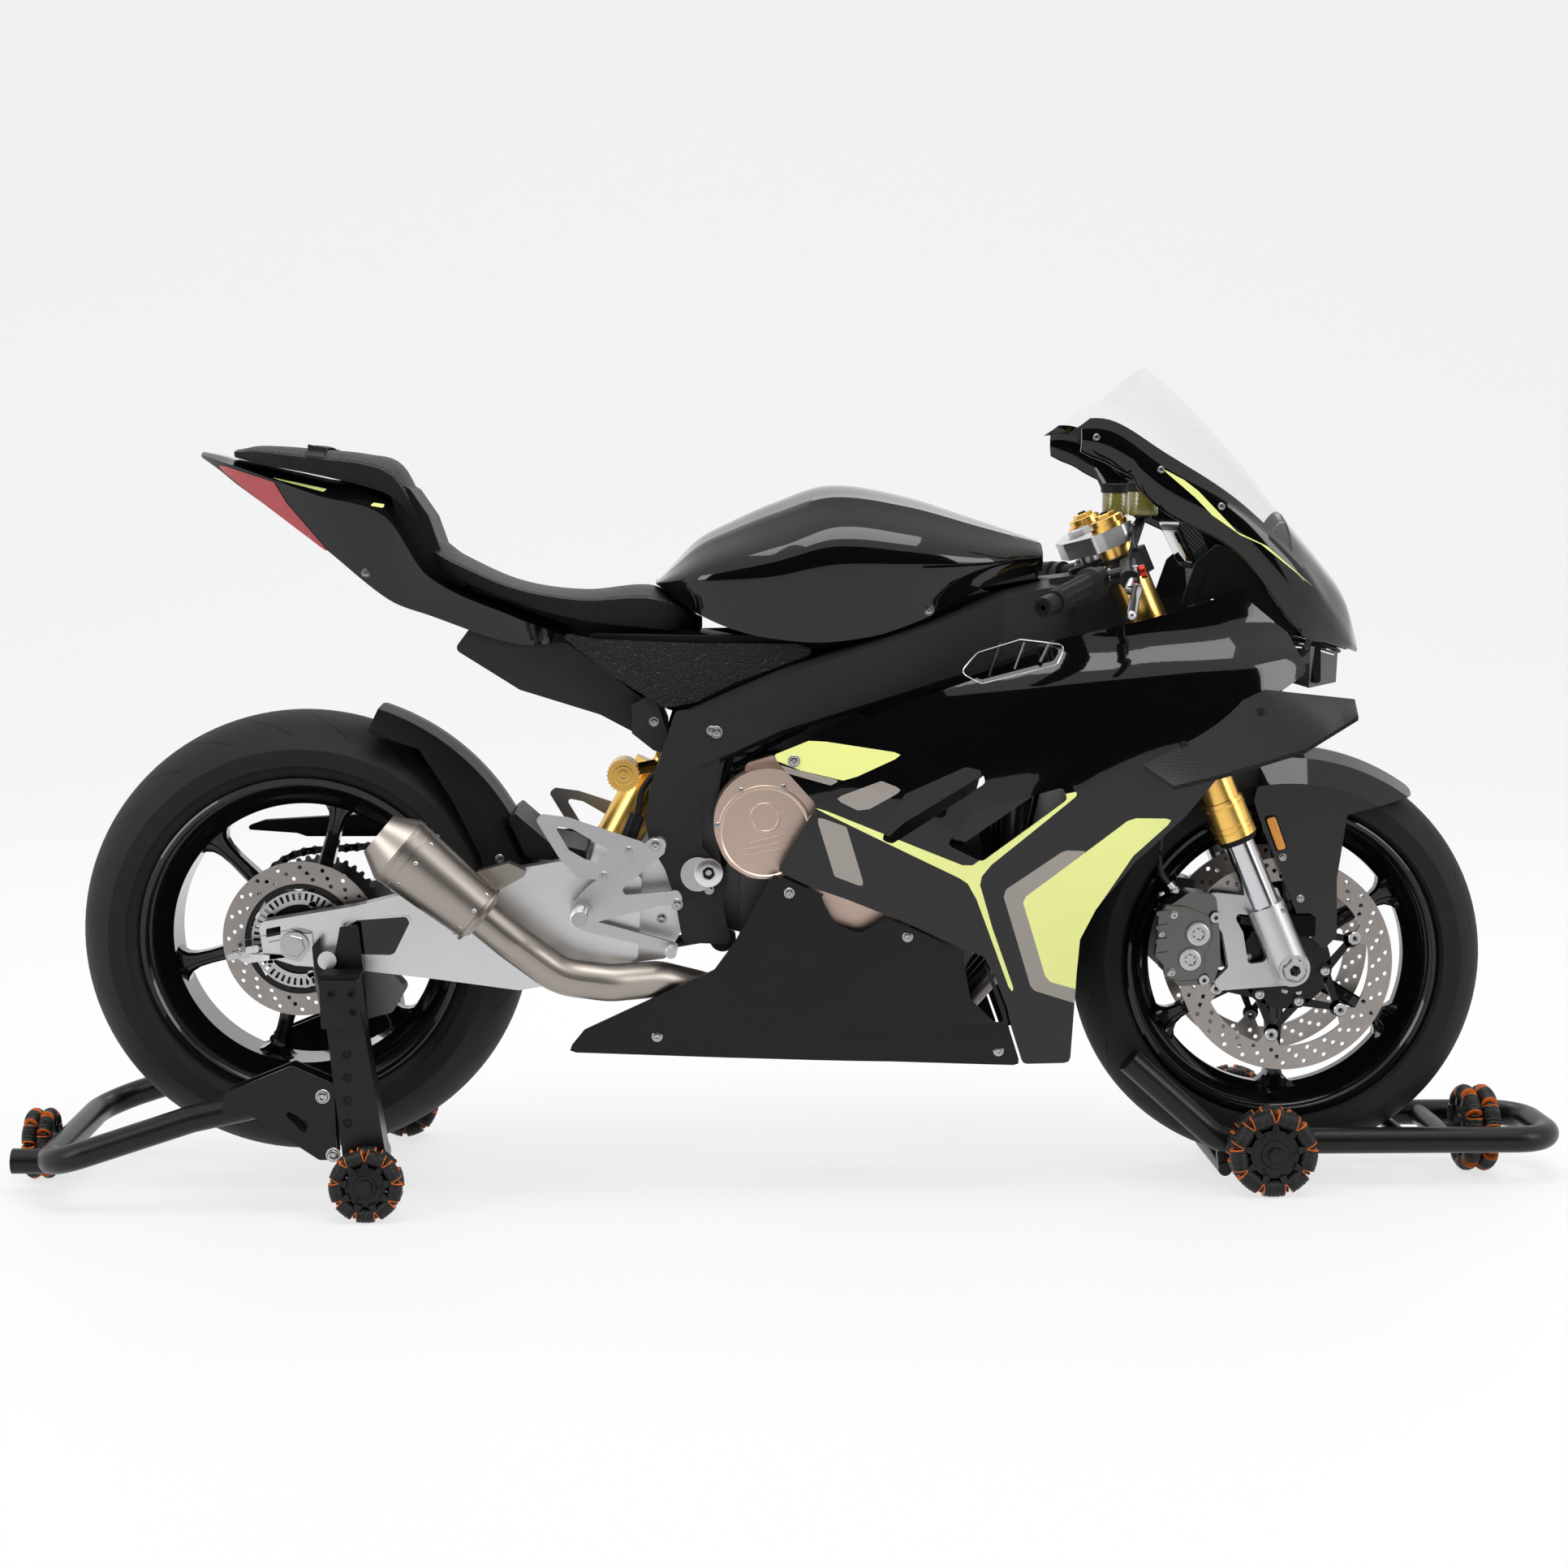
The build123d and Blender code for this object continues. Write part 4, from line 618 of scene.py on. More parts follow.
def panel(shape, outline, depth, wall, side=1, holes=(), regions=(), step=16, innerMark=None):
    # a wall over an outline in x and z: depth(x, z) is its outer face's distance from the middle plane
    key = str((outline, holes, regions, step))
    if key not in sheets:
        sheets[key] = cutSheet([tuple(p) for p in outline], [[tuple(p) for p in h] for h in holes],
            [([tuple(p) for p in r], n) for r, n in regions], step)
    points, faces = sheets[key]
    count = len(points)
    outer = [(x, side * depth(x, z), z) for x, z in points]
    inner = [(x, side * (depth(x, z) - wall), z) for x, z in points]
    start = len(shape.points)
    shape.points += [Vector(p) for p in outer + inner]
    edges = {}
    for face, mark in faces:
        shape.faces.append([start + i for i in face])
        shape.marks.append(mark)
        shape.faces.append([start + count + i for i in face][::-1])
        shape.marks.append(mark if innerMark is None else innerMark)
        for i in range(len(face)):
            pair = (face[i - 1], face[i])
            if pair[::-1] in edges:
                del edges[pair[::-1]]
            else:
                edges[pair] = mark
    for (a, b), mark in edges.items():
        shape.faces.append([start + b, start + a, start + count + a, start + count + b])
        shape.marks.append(mark)
    return shape


def hermite(knots, values, x):
    if x <= knots[0]:
        return values[0] + (values[1] - values[0]) / (knots[1] - knots[0]) * (x - knots[0])
    if x >= knots[-1]:
        return values[-1] + (values[-1] - values[-2]) / (knots[-1] - knots[-2]) * (x - knots[-1])
    i = max(k for k in range(len(knots) - 1) if knots[k] <= x)
    slopes = []
    for k in (i, i + 1):
        a, b = max(k - 1, 0), min(k + 1, len(knots) - 1)
        slopes.append((values[b] - values[a]) / (knots[b] - knots[a]))
    long = knots[i + 1] - knots[i]
    t = (x - knots[i]) / long
    start = values[i] * (2 * t**3 - 3 * t**2 + 1) + slopes[0] * long * (t**3 - 2 * t**2 + t)
    return start + values[i + 1] * (3 * t**2 - 2 * t**3) + slopes[1] * long * (t**3 - t**2)


def station(rows, x):  # one row of a table, smoothly between its rows
    return [hermite([r[0] for r in rows], [r[k] for r in rows], x) for k in range(1, len(rows[0]))]


print("shape helpers ready")

sideShape = {
    "levels": (190, 330, 480, 620, 740, 870),
    "rows": (
        (360, 146, 165, 178, 182, 176, 160), (600, 150, 186, 200, 200, 190, 170),
        (760, 155, 192, 212, 214, 200, 175), (900, 150, 195, 222, 226, 212, 185),
        (1050, 140, 190, 226, 236, 226, 200), (1200, 125, 180, 222, 238, 232, 208),
        (1330, 100, 160, 200, 222, 218, 190), (1450, 70, 120, 150, 170, 165, 135),
    ),
    "wall": 4,
}


def sideDepth(x, z):
    return hermite(sideShape["levels"], station(sideShape["rows"], x), z)


fairing = {
    "outline": [(662, 638), (718, 658), (840, 707), (939, 741), (1039, 792), (1128, 811), (1217, 833),
        (1309, 861), (1381, 804), (1405, 750), (1367, 727), (1300, 640), (1231, 555), (1165, 493),
        (1112, 424), (1092, 380), (1090, 329), (1090, 192), (1022, 192), (1004, 244), (994, 281), (974, 330),
        (958, 356), (928, 368), (854, 403), (769, 437), (720, 454), (670, 477), (692, 515), (726, 568)],
    "lime": [
        [(658, 634), (714, 657), (738, 656), (847, 640), (781, 609), (761, 603), (704, 616)],
        [(720, 566), (738, 561), (925, 487), (939, 487), (956, 500), (1064, 587), (1080, 590), (1078, 583),
            (965, 488), (952, 471), (950, 459), (969, 397), (1002, 309), (1001, 303), (995, 311), (946, 438),
            (933, 461), (921, 469), (738, 557)],
        [(1216, 552), (1162, 553), (1150, 549), (1014, 443), (1010, 434), (1046, 326), (1054, 317),
            (1110, 300), (1110, 420), (1160, 500)],
    ],
    "taupe": [
        [(646, 624), (660, 628), (706, 615), (757, 603), (744, 596), (686, 612)],
        [(748, 578), (813, 603), (844, 591), (797, 564), (781, 562)],
        [(724, 554), (766, 539), (792, 454), (750, 470)],
        [(1094, 507), (1068, 508), (1060, 505), (986, 453), (983, 442), (1026, 311), (1033, 304),
            (1110, 278), (1110, 430)],
    ],
    "vents": [
        [(845, 585), (928, 623), (950, 618), (956, 601), (829, 516), (813, 521)],
        [(940, 561), (1061, 596), (1067, 579), (952, 492), (902, 516)],
        [(928, 750), (951, 772), (1006, 789), (1061, 783), (1050, 767), (950, 741)],
    ],
    "ventRim": [(922, 750), (948, 777), (1006, 795), (1068, 788), (1054, 762), (950, 736)],
    "grille": [(928, 366), (956, 354), (993, 256), (978, 256), (942, 294)],
    "coverEye": [(724, 452), (753, 401), (787, 389), (825, 412), (831, 426)],
}


def fairingDepth(x, z):  # the side face with its pressed crease and the step under the shoulder
    depth = sideDepth(x, z)
    shoulder = 668 + (x - 714) * 0.34
    if z > shoulder:
        depth -= 5 * min(1.0, (z - shoulder) / 26)
    fold = 702 + (x - 700) * 0.1
    if x > 690 and z > fold:  # the upper face leans inward
        depth -= 0.55 * min(z - fold, 46) * min(1.0, (x - 690) / 120)
    crease = 505 + abs(x - 945) * 0.62
    return depth + 3 * exp(-((z - crease) / 26) ** 2) * exp(-((x - 1010) / 160) ** 2)


def makeFairing(side):
    shape = Shape()
    outline = rounded(fairing["outline"], 9, 2)
    vents = [rounded(line, 7, 2) for line in fairing["vents"]]
    regions = [(rounded(line, 5, 2), mark) for kind, mark in (("taupe", 2), ("lime", 1))
        for line in fairing[kind]]
    panel(shape, outline, fairingDepth, sideShape["wall"], side, vents, regions, 15, innerMark=3)
    return shape


belly = {
    "outline": [(377, 213), (403, 246), (585, 336), (613, 376), (666, 473), (719, 450), (769, 433),
        (854, 399), (926, 364), (954, 353), (971, 328), (991, 280), (1001, 243), (1019, 190), (837, 199),
        (608, 205)],
    "leftRear": [(690, 203), (690, 463)],  # the left pan starts here, clear of the side stand
    "rightFrom": 400,
    "leftFrom": 690,
}


def bellyDepth(x, z):
    return sideDepth(x, z) - 6 * exp(-((z - 252) / 9) ** 2) * max(0.0, min(1.0, (x - 740) / 200))


def panFloor(shape, side, rear):  # the pan's underside, open along the middle
    count = 12
    rings = []
    for i in range(count + 1):
        x = rear + (1012 - rear) * i / count
        low = hermite((400, 608, 837, 1019), (213, 205, 199, 190), x) + 1
        out = bellyDepth(x, low) - 3
        line = [(70, 0), (out * 0.75, 0), (out - 10, 1.5), (out, 6)]
        rings.append([(x, side * y, low + up) for y, up in line]
            + [(x, side * y, low + up + 3) for y, up in line[::-1]])
    shape.rings(rings)


scoops = [  # each blade's outline, with a point on its sunken edge and that edge's direction
    ([(826, 524), (846, 543), (957, 612), (946, 620), (926, 625), (843, 588), (812, 522)], (845, 543),
        (0.845, 0.535), 74),
    ([(905, 513), (925, 513), (1030, 587), (1058, 594), (940, 563)], (923, 512), (0.82, 0.573), 48),
]


def makeScoops(shape, side):
    for line, edge, along, reach in scoops:
        def blade(x, z):
            away = (x - edge[0]) * along[1] - (z - edge[1]) * along[0]
            return fairingDepth(x, z) - 4 - 17 * max(0.0, min(1.0, 1 + away / reach))
        panel(shape, rounded(line, 3, 2), blade, 2.5, side, step=9)
    for x in (962, 996, 1030):  # the ribs across the upper vent
        shape.tube([(x, side * (fairingDepth(x, 750) - 6), 744 + (x - 962) * 0.3),
            (x + 16, side * (fairingDepth(x, 780) - 6), 790)], 3, 8)


def makeTrim(shape, side):  # bright edges round the upper vent
    rim = spline([Vector((x, 0, z)) for x, z in rounded(fairing["ventRim"], 8, 3)], 2, closed=True)
    path = [(p.x, side * (fairingDepth(p.x, p.z) + 0.2), p.z) for p in rim]
    shape.tube(path + path[:1], 0.8, 8)


for side, name in ((-1, "rightFairing"), (1, "leftFairing")):
    shape = makeFairing(side)
    shape.make(name, ["glossBlack", "lime", "taupe", "mattBlack"], "lime_and_black", bevel=0.9,
        replaces=("side_fairings",))
    blades, edges = shapes(2)
    makeScoops(blades, side)
    makeTrim(edges, side)
    blades.make(name + "Scoops", "glossBlack", "lime_and_black", bevel=0.6)
    edges.make(name + "VentEdge", "brushedAlloy", "lime_and_black")
    lower = Shape()
    outline = belly["leftRear"] + belly["outline"][5:15] if side > 0 else belly["outline"]
    holes = [rounded(fairing["coverEye"], 14, 3), rounded(fairing["grille"], 6, 2)]
    panel(lower, rounded(outline, 7, 2), bellyDepth, sideShape["wall"], side, holes, (), 16)
    panFloor(lower, side, belly["leftFrom"] if side > 0 else belly["rightFrom"])
    lower.make(name.replace("Fairing", "BellyPan"), "satinBlack", "satin_black", bevel=0.9,
        replaces=("belly_pans",))
print("side panels ready")


def sectionRing(values, steps=6, sharp=(2, 4)):
    baseZ, shoulderZ, crownZ, baseY, shoulderY, crownY = values
    side = [(-baseY, baseZ), (-shoulderY, shoulderZ), (-crownY, crownZ - 0.2 * (crownZ - shoulderZ))]
    points = side + [(0, crownZ)] + [(-y, z) for y, z in side[::-1]]
    line = spline([Vector((y, 0, z)) for y, z in points], steps, sharp)
    return [(p.x, p.z) for p in line]


def body(shape, rows, stations, steps=6, sharp=(2, 4), rounding=4):
    first, last = rows[0][0], rows[-1][0]
    rings = []
    for i in range(stations + 1):
        x = first + (last - first) * i / stations
        ring = sectionRing(station(rows, x), steps, sharp)
        rings.append([(x, y, z) for y, z in ring])
    for end, sign in ((0, -1), (-1, 1)):
        middle = sum((Vector(p) for p in rings[end]), Vector()) / len(rings[end])
        for grow, size in ((0.35, 0.97), (0.75, 0.88), (1.0, 0.7)):
            ring = [middle + (Vector(p) - middle) * size + Vector((sign * rounding * grow, 0, 0))
                for p in rings[end]]
            ring = [tuple(p) for p in ring]
            if end == 0:
                rings.insert(0, ring)
            else:
                rings.append(ring)
    return shape.rings(rings)


def bodyDepth(rows, x, z, steps=6, sharp=(2, 4)):
    ring = sectionRing(station(rows, x), steps, sharp)
    half = ring[len(ring) // 2:]
    for (y1, z1), (y2, z2) in zip(half, half[1:]):
        if min(z1, z2) <= z <= max(z1, z2) and abs(z2 - z1) > 1e-6:
            return y1 + (y2 - y1) * (z - z1) / (z2 - z1)
    return half[-1][0] if z < half[-1][1] else half[0][0]


tank = {
    "rows": (
        (508, 864, 869, 874, 58, 68, 38), (530, 846, 872, 897, 80, 94, 50),
        (563, 826, 880, 930, 104, 122, 62), (610, 806, 890, 955, 120, 138, 72),
        (668, 793, 900, 981, 132, 152, 84), (749, 789, 918, 1007, 138, 164, 98),
        (854, 810, 912, 993, 132, 158, 98), (960, 862, 904, 960, 108, 122, 78),
        (1050, 886, 908, 930, 58, 66, 42),
    ),
}
shape = Shape()
body(shape, tank["rows"], 60, 8, (2, 4), 3)
shape.make("fuelTankShell", "glossBlack", "gloss_black", sharpAngle=30, replaces=("fuel_tank", "tank_cover"))

tail = {
    "rows": (
        (-137, 1042, 1047, 1052, 20, 26, 14), (-110, 1024, 1038, 1047, 34, 44, 24),
        (-84, 1004, 1030, 1040, 46, 58, 30), (33, 922, 990, 1015, 78, 96, 60),
        (129, 846, 960, 991, 92, 106, 72), (186, 824, 880, 892, 98, 116, 80),
        (307, 784, 822, 838, 98, 118, 80), (379, 786, 796, 812, 98, 118, 80),
    ),
    "lens": [(-122, 1037), (-29, 1008), (-12, 979), (51, 906), (16, 932), (-74, 998)],
    "stripe": [(-33, 1015), (45, 999), (41, 995), (-22, 1011)],
    "stripeEnd": [(111, 980), (126, 978), (124, 973), (107, 976)],
}
shape = Shape()
body(shape, tail["rows"], 60, 6, (1, 2, 4, 5), 2)
shape.make("tailCowlShell", "glossBlack", "gloss_black", sharpAngle=25, replaces=("tail_cowl",))


def tailDepth(x, z):
    return bodyDepth(tail["rows"], x, z, 6, (1, 2, 4, 5))


lensShape, stripeShape = shapes(2)
for side in (-1, 1):
    panel(lensShape, rounded(tail["lens"], 5), lambda x, z: tailDepth(x, z) + 1.2, 5, side, step=8)
    for stripe in (tail["stripe"], tail["stripeEnd"]):
        panel(stripeShape, rounded(stripe, 2), lambda x, z: tailDepth(x, z) + 0.4, 0.8, side, step=8)
lensShape.make("tailLens", "redLens", "red_lens", bevel=0.8, replaces=("tail_light",))
stripeShape.make("tailStripe", "lime", "lime_and_black")

riderSeat = {
    "rows": (
        (188, 900, 915, 931, 60, 70, 40), (200, 890, 908, 927, 82, 94, 52),
        (224, 874, 896, 908, 96, 112, 60), (307, 842, 862, 870, 112, 128, 76),
        (400, 818, 846, 857, 116, 132, 80), (493, 806, 848, 864, 96, 112, 66),
        (535, 801, 832, 846, 74, 84, 50), (562, 799, 812, 821, 50, 56, 32),
    ),
}
pillion = {
    "rows": (
        (-84, 1042, 1050, 1055, 50, 56, 30), (-52, 1034, 1050, 1060, 72, 82, 46),
        (33, 1018, 1040, 1055, 84, 96, 58), (100, 1002, 1032, 1048, 86, 97, 58),
        (140, 985, 1014, 1034, 84, 94, 54), (170, 946, 962, 976, 74, 82, 46),
    ),
}


def seatCover(name, node, rows, stations):
    shape = Shape()
    body(shape, rows, stations, 6, (1, 5), 4)
    made = shape.make(name, "seatLeather", "seat_leather", sharpAngle=50, replaces=(node,))


def stitches(shape, path, spacing=6.5, long=4.2, thick=0.55):
    # raised thread stitches laid along a path
    carried = 0.0
    for a, b in zip(path, path[1:]):
        a, b = Vector(a), Vector(b)
        step = (b - a).length
        ahead = (b - a).normalized()
        where = -carried
        while where < step - long:
            if where >= 0:
                shape.tube([a + ahead * where, a + ahead * (where + long * 0.5) + Vector((0, 0, 0.3)),
                    a + ahead * (where + long)], [thick * 0.6, thick, thick * 0.6], 5)
            where += spacing
        carried = max(where - step, 0.0)


seatCover("riderSeatCover", "rider_seat", riderSeat["rows"], 48)
seatCover("pillionSeatCover", "pillion_seat", pillion["rows"], 40)


def acrossPoint(rows, x, share, lift):
    # a point on a lofted body: share is 0 at its right base and 1 at its left base
    ring = sectionRing(station(rows, x), 6, (1, 5))
    place = share * (len(ring) - 1)
    i = min(int(place), len(ring) - 2)
    (y1, z1), (y2, z2) = ring[i], ring[i + 1]
    t = place - i
    return (x, y1 + (y2 - y1) * t, z1 + (z2 - z1) * t + lift)


threads, piping = shapes(2)
for rows, rear, front in ((riderSeat["rows"], 205, 548), (pillion["rows"], -70, 160)):
    along = [rear + (front - rear) * i / 24 for i in range(25)]
    for share in (0.19, 0.215, 0.785, 0.81):
        stitches(threads, [acrossPoint(rows, x, share, 0.5) for x in along])
    for share in (0.2025, 0.7975):
        piping.tube([acrossPoint(rows, x, share, -0.6) for x in along], 1.3, 8)
threads.make("seatStitching", "threadGrey", "seat_leather")
piping.make("seatPiping", "seatLeather", "seat_leather")

strap = {  # where it crosses the seat, its section, and its two buckles
    "at": 30, "rise": 1.6,
    "section": ((-13, 0), (-12, 1.8), (-6, 2.6), (6, 2.6), (12, 1.8), (13, 0)),
    "buckle": [(18, 1049), (44, 1044), (44, 1056), (18, 1061)], "buckleAt": ((-72, -64), (64, 72)),
}
shape = Shape()
band = []
for i in range(31):
    share = 0.06 + 0.88 * i / 30
    lift = 0.8 + (strap["rise"] if 0.3 < share < 0.7 else 0.0)
    band.append([acrossPoint(pillion["rows"], strap["at"] + dx, share, lift + up)
        for dx, up in strap["section"]])
shape.rings(band)
for near, far in strap["buckleAt"]:
    shape.slab(strap["buckle"], near, far)
shape.make("pillionStrap", "strapWeave", "seat_leather", bevel=0.6)

canopy = {  # x, half-width, low z, the screen's edge z, shoulder y, shoulder z, crown z
    "rows": (
        (1072, 160, 1052, 1083, 128, 1140, 1192), (1131, 168, 1034, 1080, 134, 1146, 1194),
        (1203, 172, 972, 1032, 136, 1122, 1176), (1310, 166, 912, 972, 116, 1034, 1076),
        (1407, 140, 800, 890, 92, 934, 960), (1456, 108, 786, 832, 74, 880, 903),
        (1492, 70, 776, 796, 46, 838, 856), (1512, 34, 770, 778, 22, 792, 802),
    ),
}


def canopyRing(x, steps, inward=0.0):
    half, _, edge, shoulderY, shoulderZ, crown = station(canopy["rows"], x)
    points = [(half - inward, edge), (shoulderY - inward, shoulderZ - inward), (0, crown - inward)]
    points += [(-y, z) for y, z in points[:-1][::-1]]
    line = spline([Vector((y, 0, z)) for y, z in points], steps)
    return [(p.x, p.z) for p in line]


screenPart = {"rearTop": 1203, "rearSide": 1080, "front": 1409, "columns": 36, "wall": 3.0}


def makeScreen():
    shape = Shape()
    steps = 9
    count = 4 * steps + 1
    layers = []
    for inward in (0.0, screenPart["wall"]):
        grid = []
        for k in range(count):
            u = abs(k / (count - 1) * 2 - 1)
            start = screenPart["rearTop"] - (screenPart["rearTop"] - screenPart["rearSide"]) * u**1.7
            line = []
            for c in range(screenPart["columns"] + 1):
                x = start + (screenPart["front"] - start) * c / screenPart["columns"]
                y, z = canopyRing(x, steps, inward)[k]
                line.append((x, y, z))
            grid.append(line)
        layers.append(grid)
    columns = screenPart["columns"] + 1
    points = [p for grid in layers for line in grid for p in line]
    offset = count * columns
    faces, marks = [], []
    for k in range(count - 1):
        for c in range(columns - 1):
            a, b = k * columns + c, (k + 1) * columns + c
            u = abs((k + 0.5) / (count - 1) * 2 - 1)
            t = (c + 0.5) / (columns - 1)
            dark = u > 0.9 or t > 0.95
            faces += [[a, a + 1, b + 1, b], [offset + b, offset + b + 1, offset + a + 1, offset + a]]
            marks += [1 if dark else 0] * 2
    for k in range(count - 1):
        for c in (0, columns - 1):
            a, b = k * columns + c, (k + 1) * columns + c
            faces.append([a, b, offset + b, offset + a] if c == 0 else [b, a, offset + a, offset + b])
            marks.append(0 if c == 0 else 1)
    for c in range(columns - 1):
        for k in (0, count - 1):
            a, b = k * columns + c, k * columns + c + 1
            faces.append([a, b, offset + b, offset + a] if k else [b, a, offset + a, offset + b])
            marks.append(1)
    shape.add(points, faces)
    shape.marks = marks
    return shape.make("windscreenPane", ["clearScreen", "glossBlack"], "clear_screen",
        replaces=("windscreen",))


makeScreen()


def makeCowl():
    shape = Shape()
    first, last = 1090, 1409
    for side in (-1, 1):
        rings = []
        for i in range(41):
            x = first + (last - first) * i / 40
            half, low, edge = station(canopy["rows"], x)[:3]
            low = max(low, 1049 + (x - 1097) * -0.49 if x < 1165 else low)
            line = spline([Vector((half - 1, 0, edge + 2)), Vector((half + 1.5, 0, edge - 8)),
                Vector((half + 2, 0, (edge + low) / 2)), Vector((half - 4, 0, low + 4)),
                Vector((half - 8, 0, low))], 4, (1,))
            outer = [(x, side * p.x, p.z) for p in line]
            inner = [(x, side * (p.x - 4), p.z) for p in line[::-1]]
            rings.append(outer + inner)
        shape.rings(rings)
    rings = []
    for i in range(26):
        x = 1407 + (1512 - 1407) * i / 25
        half, low, edge, shoulderY, shoulderZ, crown = station(canopy["rows"], x)
        right = [(half - 6, low), (half + 1, (low + edge) / 2), (half, edge), (shoulderY, shoulderZ)]
        outer = right + [(0, crown)] + [(-y, z) for y, z in right[::-1]]
        line = [(p.x, p.z) for p in spline([Vector((y, 0, z)) for y, z in outer], 5, (2, 6))]
        size = max(0.0, 1 - 4 / max(half, 8))
        inner = [(y * size, low + (z - low) * size) for y, z in line[::-1]]
        rings.append([(x, y, z) for y, z in line + inner])
    shape.rings(rings)
    return shape.make("upperCowlShell", "glossBlack", "gloss_black", bevel=0.7, sharpAngle=40,
        replaces=("upper_cowl",))


makeCowl()
print("bodywork and seats ready")

skins = {}  # a tree of each piece's faces, for finding its surface


def skin(name):
    if name not in skins:
        holder = nodes[name] if name in nodes else bpy.data.objects[name]
        points = [holder.matrix_world @ v.co for v in holder.data.vertices]
        skins[name] = BVHTree.FromPolygons(points, [list(p.vertices) for p in holder.data.polygons])
    return skins[name]


def landing(names, x, z, side=-1):  # how far out the first surface met from one side is, in millimetres
    found = None
    for name in names:
        hit = skin(name).ray_cast(at(x, side * 700, z), Vector((0, -side, 0)))
        if hit[0] and (found is None or hit[0].y * side > found * side):
            found = hit[0].y
    return None if found is None else found * 1000


def fastener(shape, x, y, z, radius, axis=(0, -1, 0), washer=1.4, mark=0):
    r = radius
    shape.turned([(0.2, -1.5), (r * washer, -1.5), (r * washer, 0.5), (r * washer - 0.4, 0.9),
        (r * 1.02, 0.9), (r * 1.02, r * 0.5), (r * 0.86, r * 0.72), (r * 0.55, r * 0.78), (r * 0.5, r * 0.2),
        (0.2, r * 0.2)], (x, y, z), axis, steps=18, mark=mark)


def bolted(shape, names, x, z, radius, side, washer=1.4):  # a fastener on the first surface met from one side
    y = landing(names, x, z, side)
    if y is not None:
        fastener(shape, x, y, z, radius, (0, side, 0), washer)


axles = {"rear": (0, 365), "front": (1409, 323)}


def about(axle, radius, turn, y=0.0):
    # a point round an axle, turned by degrees from straight up towards the front
    x, z = axles[axle]
    return (x + radius * sin(radians(turn)), y, z + radius * cos(radians(turn)))


def circle(centre, radius, steps):
    turns = [tau * i / steps for i in range(steps)]
    return [(centre[0] + radius * cos(turn), centre[1] + radius * sin(turn)) for turn in turns]


def drilled(shape, outlines, near, far):
    # a flat plate in x and z from several outlines, the first its edge and the others holes
    low, high = sorted((near, far))
    flat = bmesh.new()
    for line in outlines:
        corners = [flat.verts.new((x, 0, z)) for x, z in line]
        for i in range(len(corners)):
            flat.edges.new((corners[i - 1], corners[i]))
    bmesh.ops.triangle_fill(flat, use_beauty=True, use_dissolve=False, edges=flat.edges[:])
    flat.verts.index_update()
    flat.verts.ensure_lookup_table()
    count = len(flat.verts)
    points = [(v.co.x, low, v.co.z) for v in flat.verts] + [(v.co.x, high, v.co.z) for v in flat.verts]
    faces = [[v.index for v in f.verts] for f in flat.faces]
    flat.free()
    walls = []
    start = 0
    for line in outlines:
        for i in range(len(line)):
            a, b = start + i, start + (i + 1) % len(line)
            walls.append([a, b, count + b, count + a])
        start += len(line)
    return shape.add(points, faces + [[count + i for i in f][::-1] for f in faces] + walls)


tyres = {
    "rear": {"radius": 320, "width": 190, "rim": 168},
    "front": {"radius": 300, "width": 120, "rim": 105},
}


def makeTyre(name, node, axle, finish):
    size = tyres[axle]
    half, shoulder = size["width"] / 2, 216 + 0.52 * (size["radius"] - 216)
    rise = size["radius"] - shoulder
    bow = (half**2 + rise**2) / (2 * rise)
    crown = []
    for i in range(33):
        a = asin(half / bow) * (i / 16 - 1)
        crown.append((size["radius"] - bow + bow * cos(a), bow * sin(a)))
    wall = [(shoulder - 9, half - 0.6), (shoulder - 20, half - 2.4), (shoulder - 24, half - 2.6),
        (shoulder - 25, half - 4.2), (229 + 0.4, size["rim"] / 2 - 7.5), (216.5, size["rim"] / 2 - 11.7),
        (216.5, size["rim"] / 2 - 20)]
    inside = [(shoulder - 6, half - 10), (size["radius"] - 10, half * 0.4)]
    profile = [(r, -y) for r, y in (wall + inside)[::-1]] + crown + wall + inside
    shape = Shape()
    x, z = axles[axle]
    shape.hollow(profile, (x, 0, z), steps=120)
    return shape.make(name, finish, "tyre_rubber", body=axle + "_wheel", sharpAngle=28, replaces=(node,))


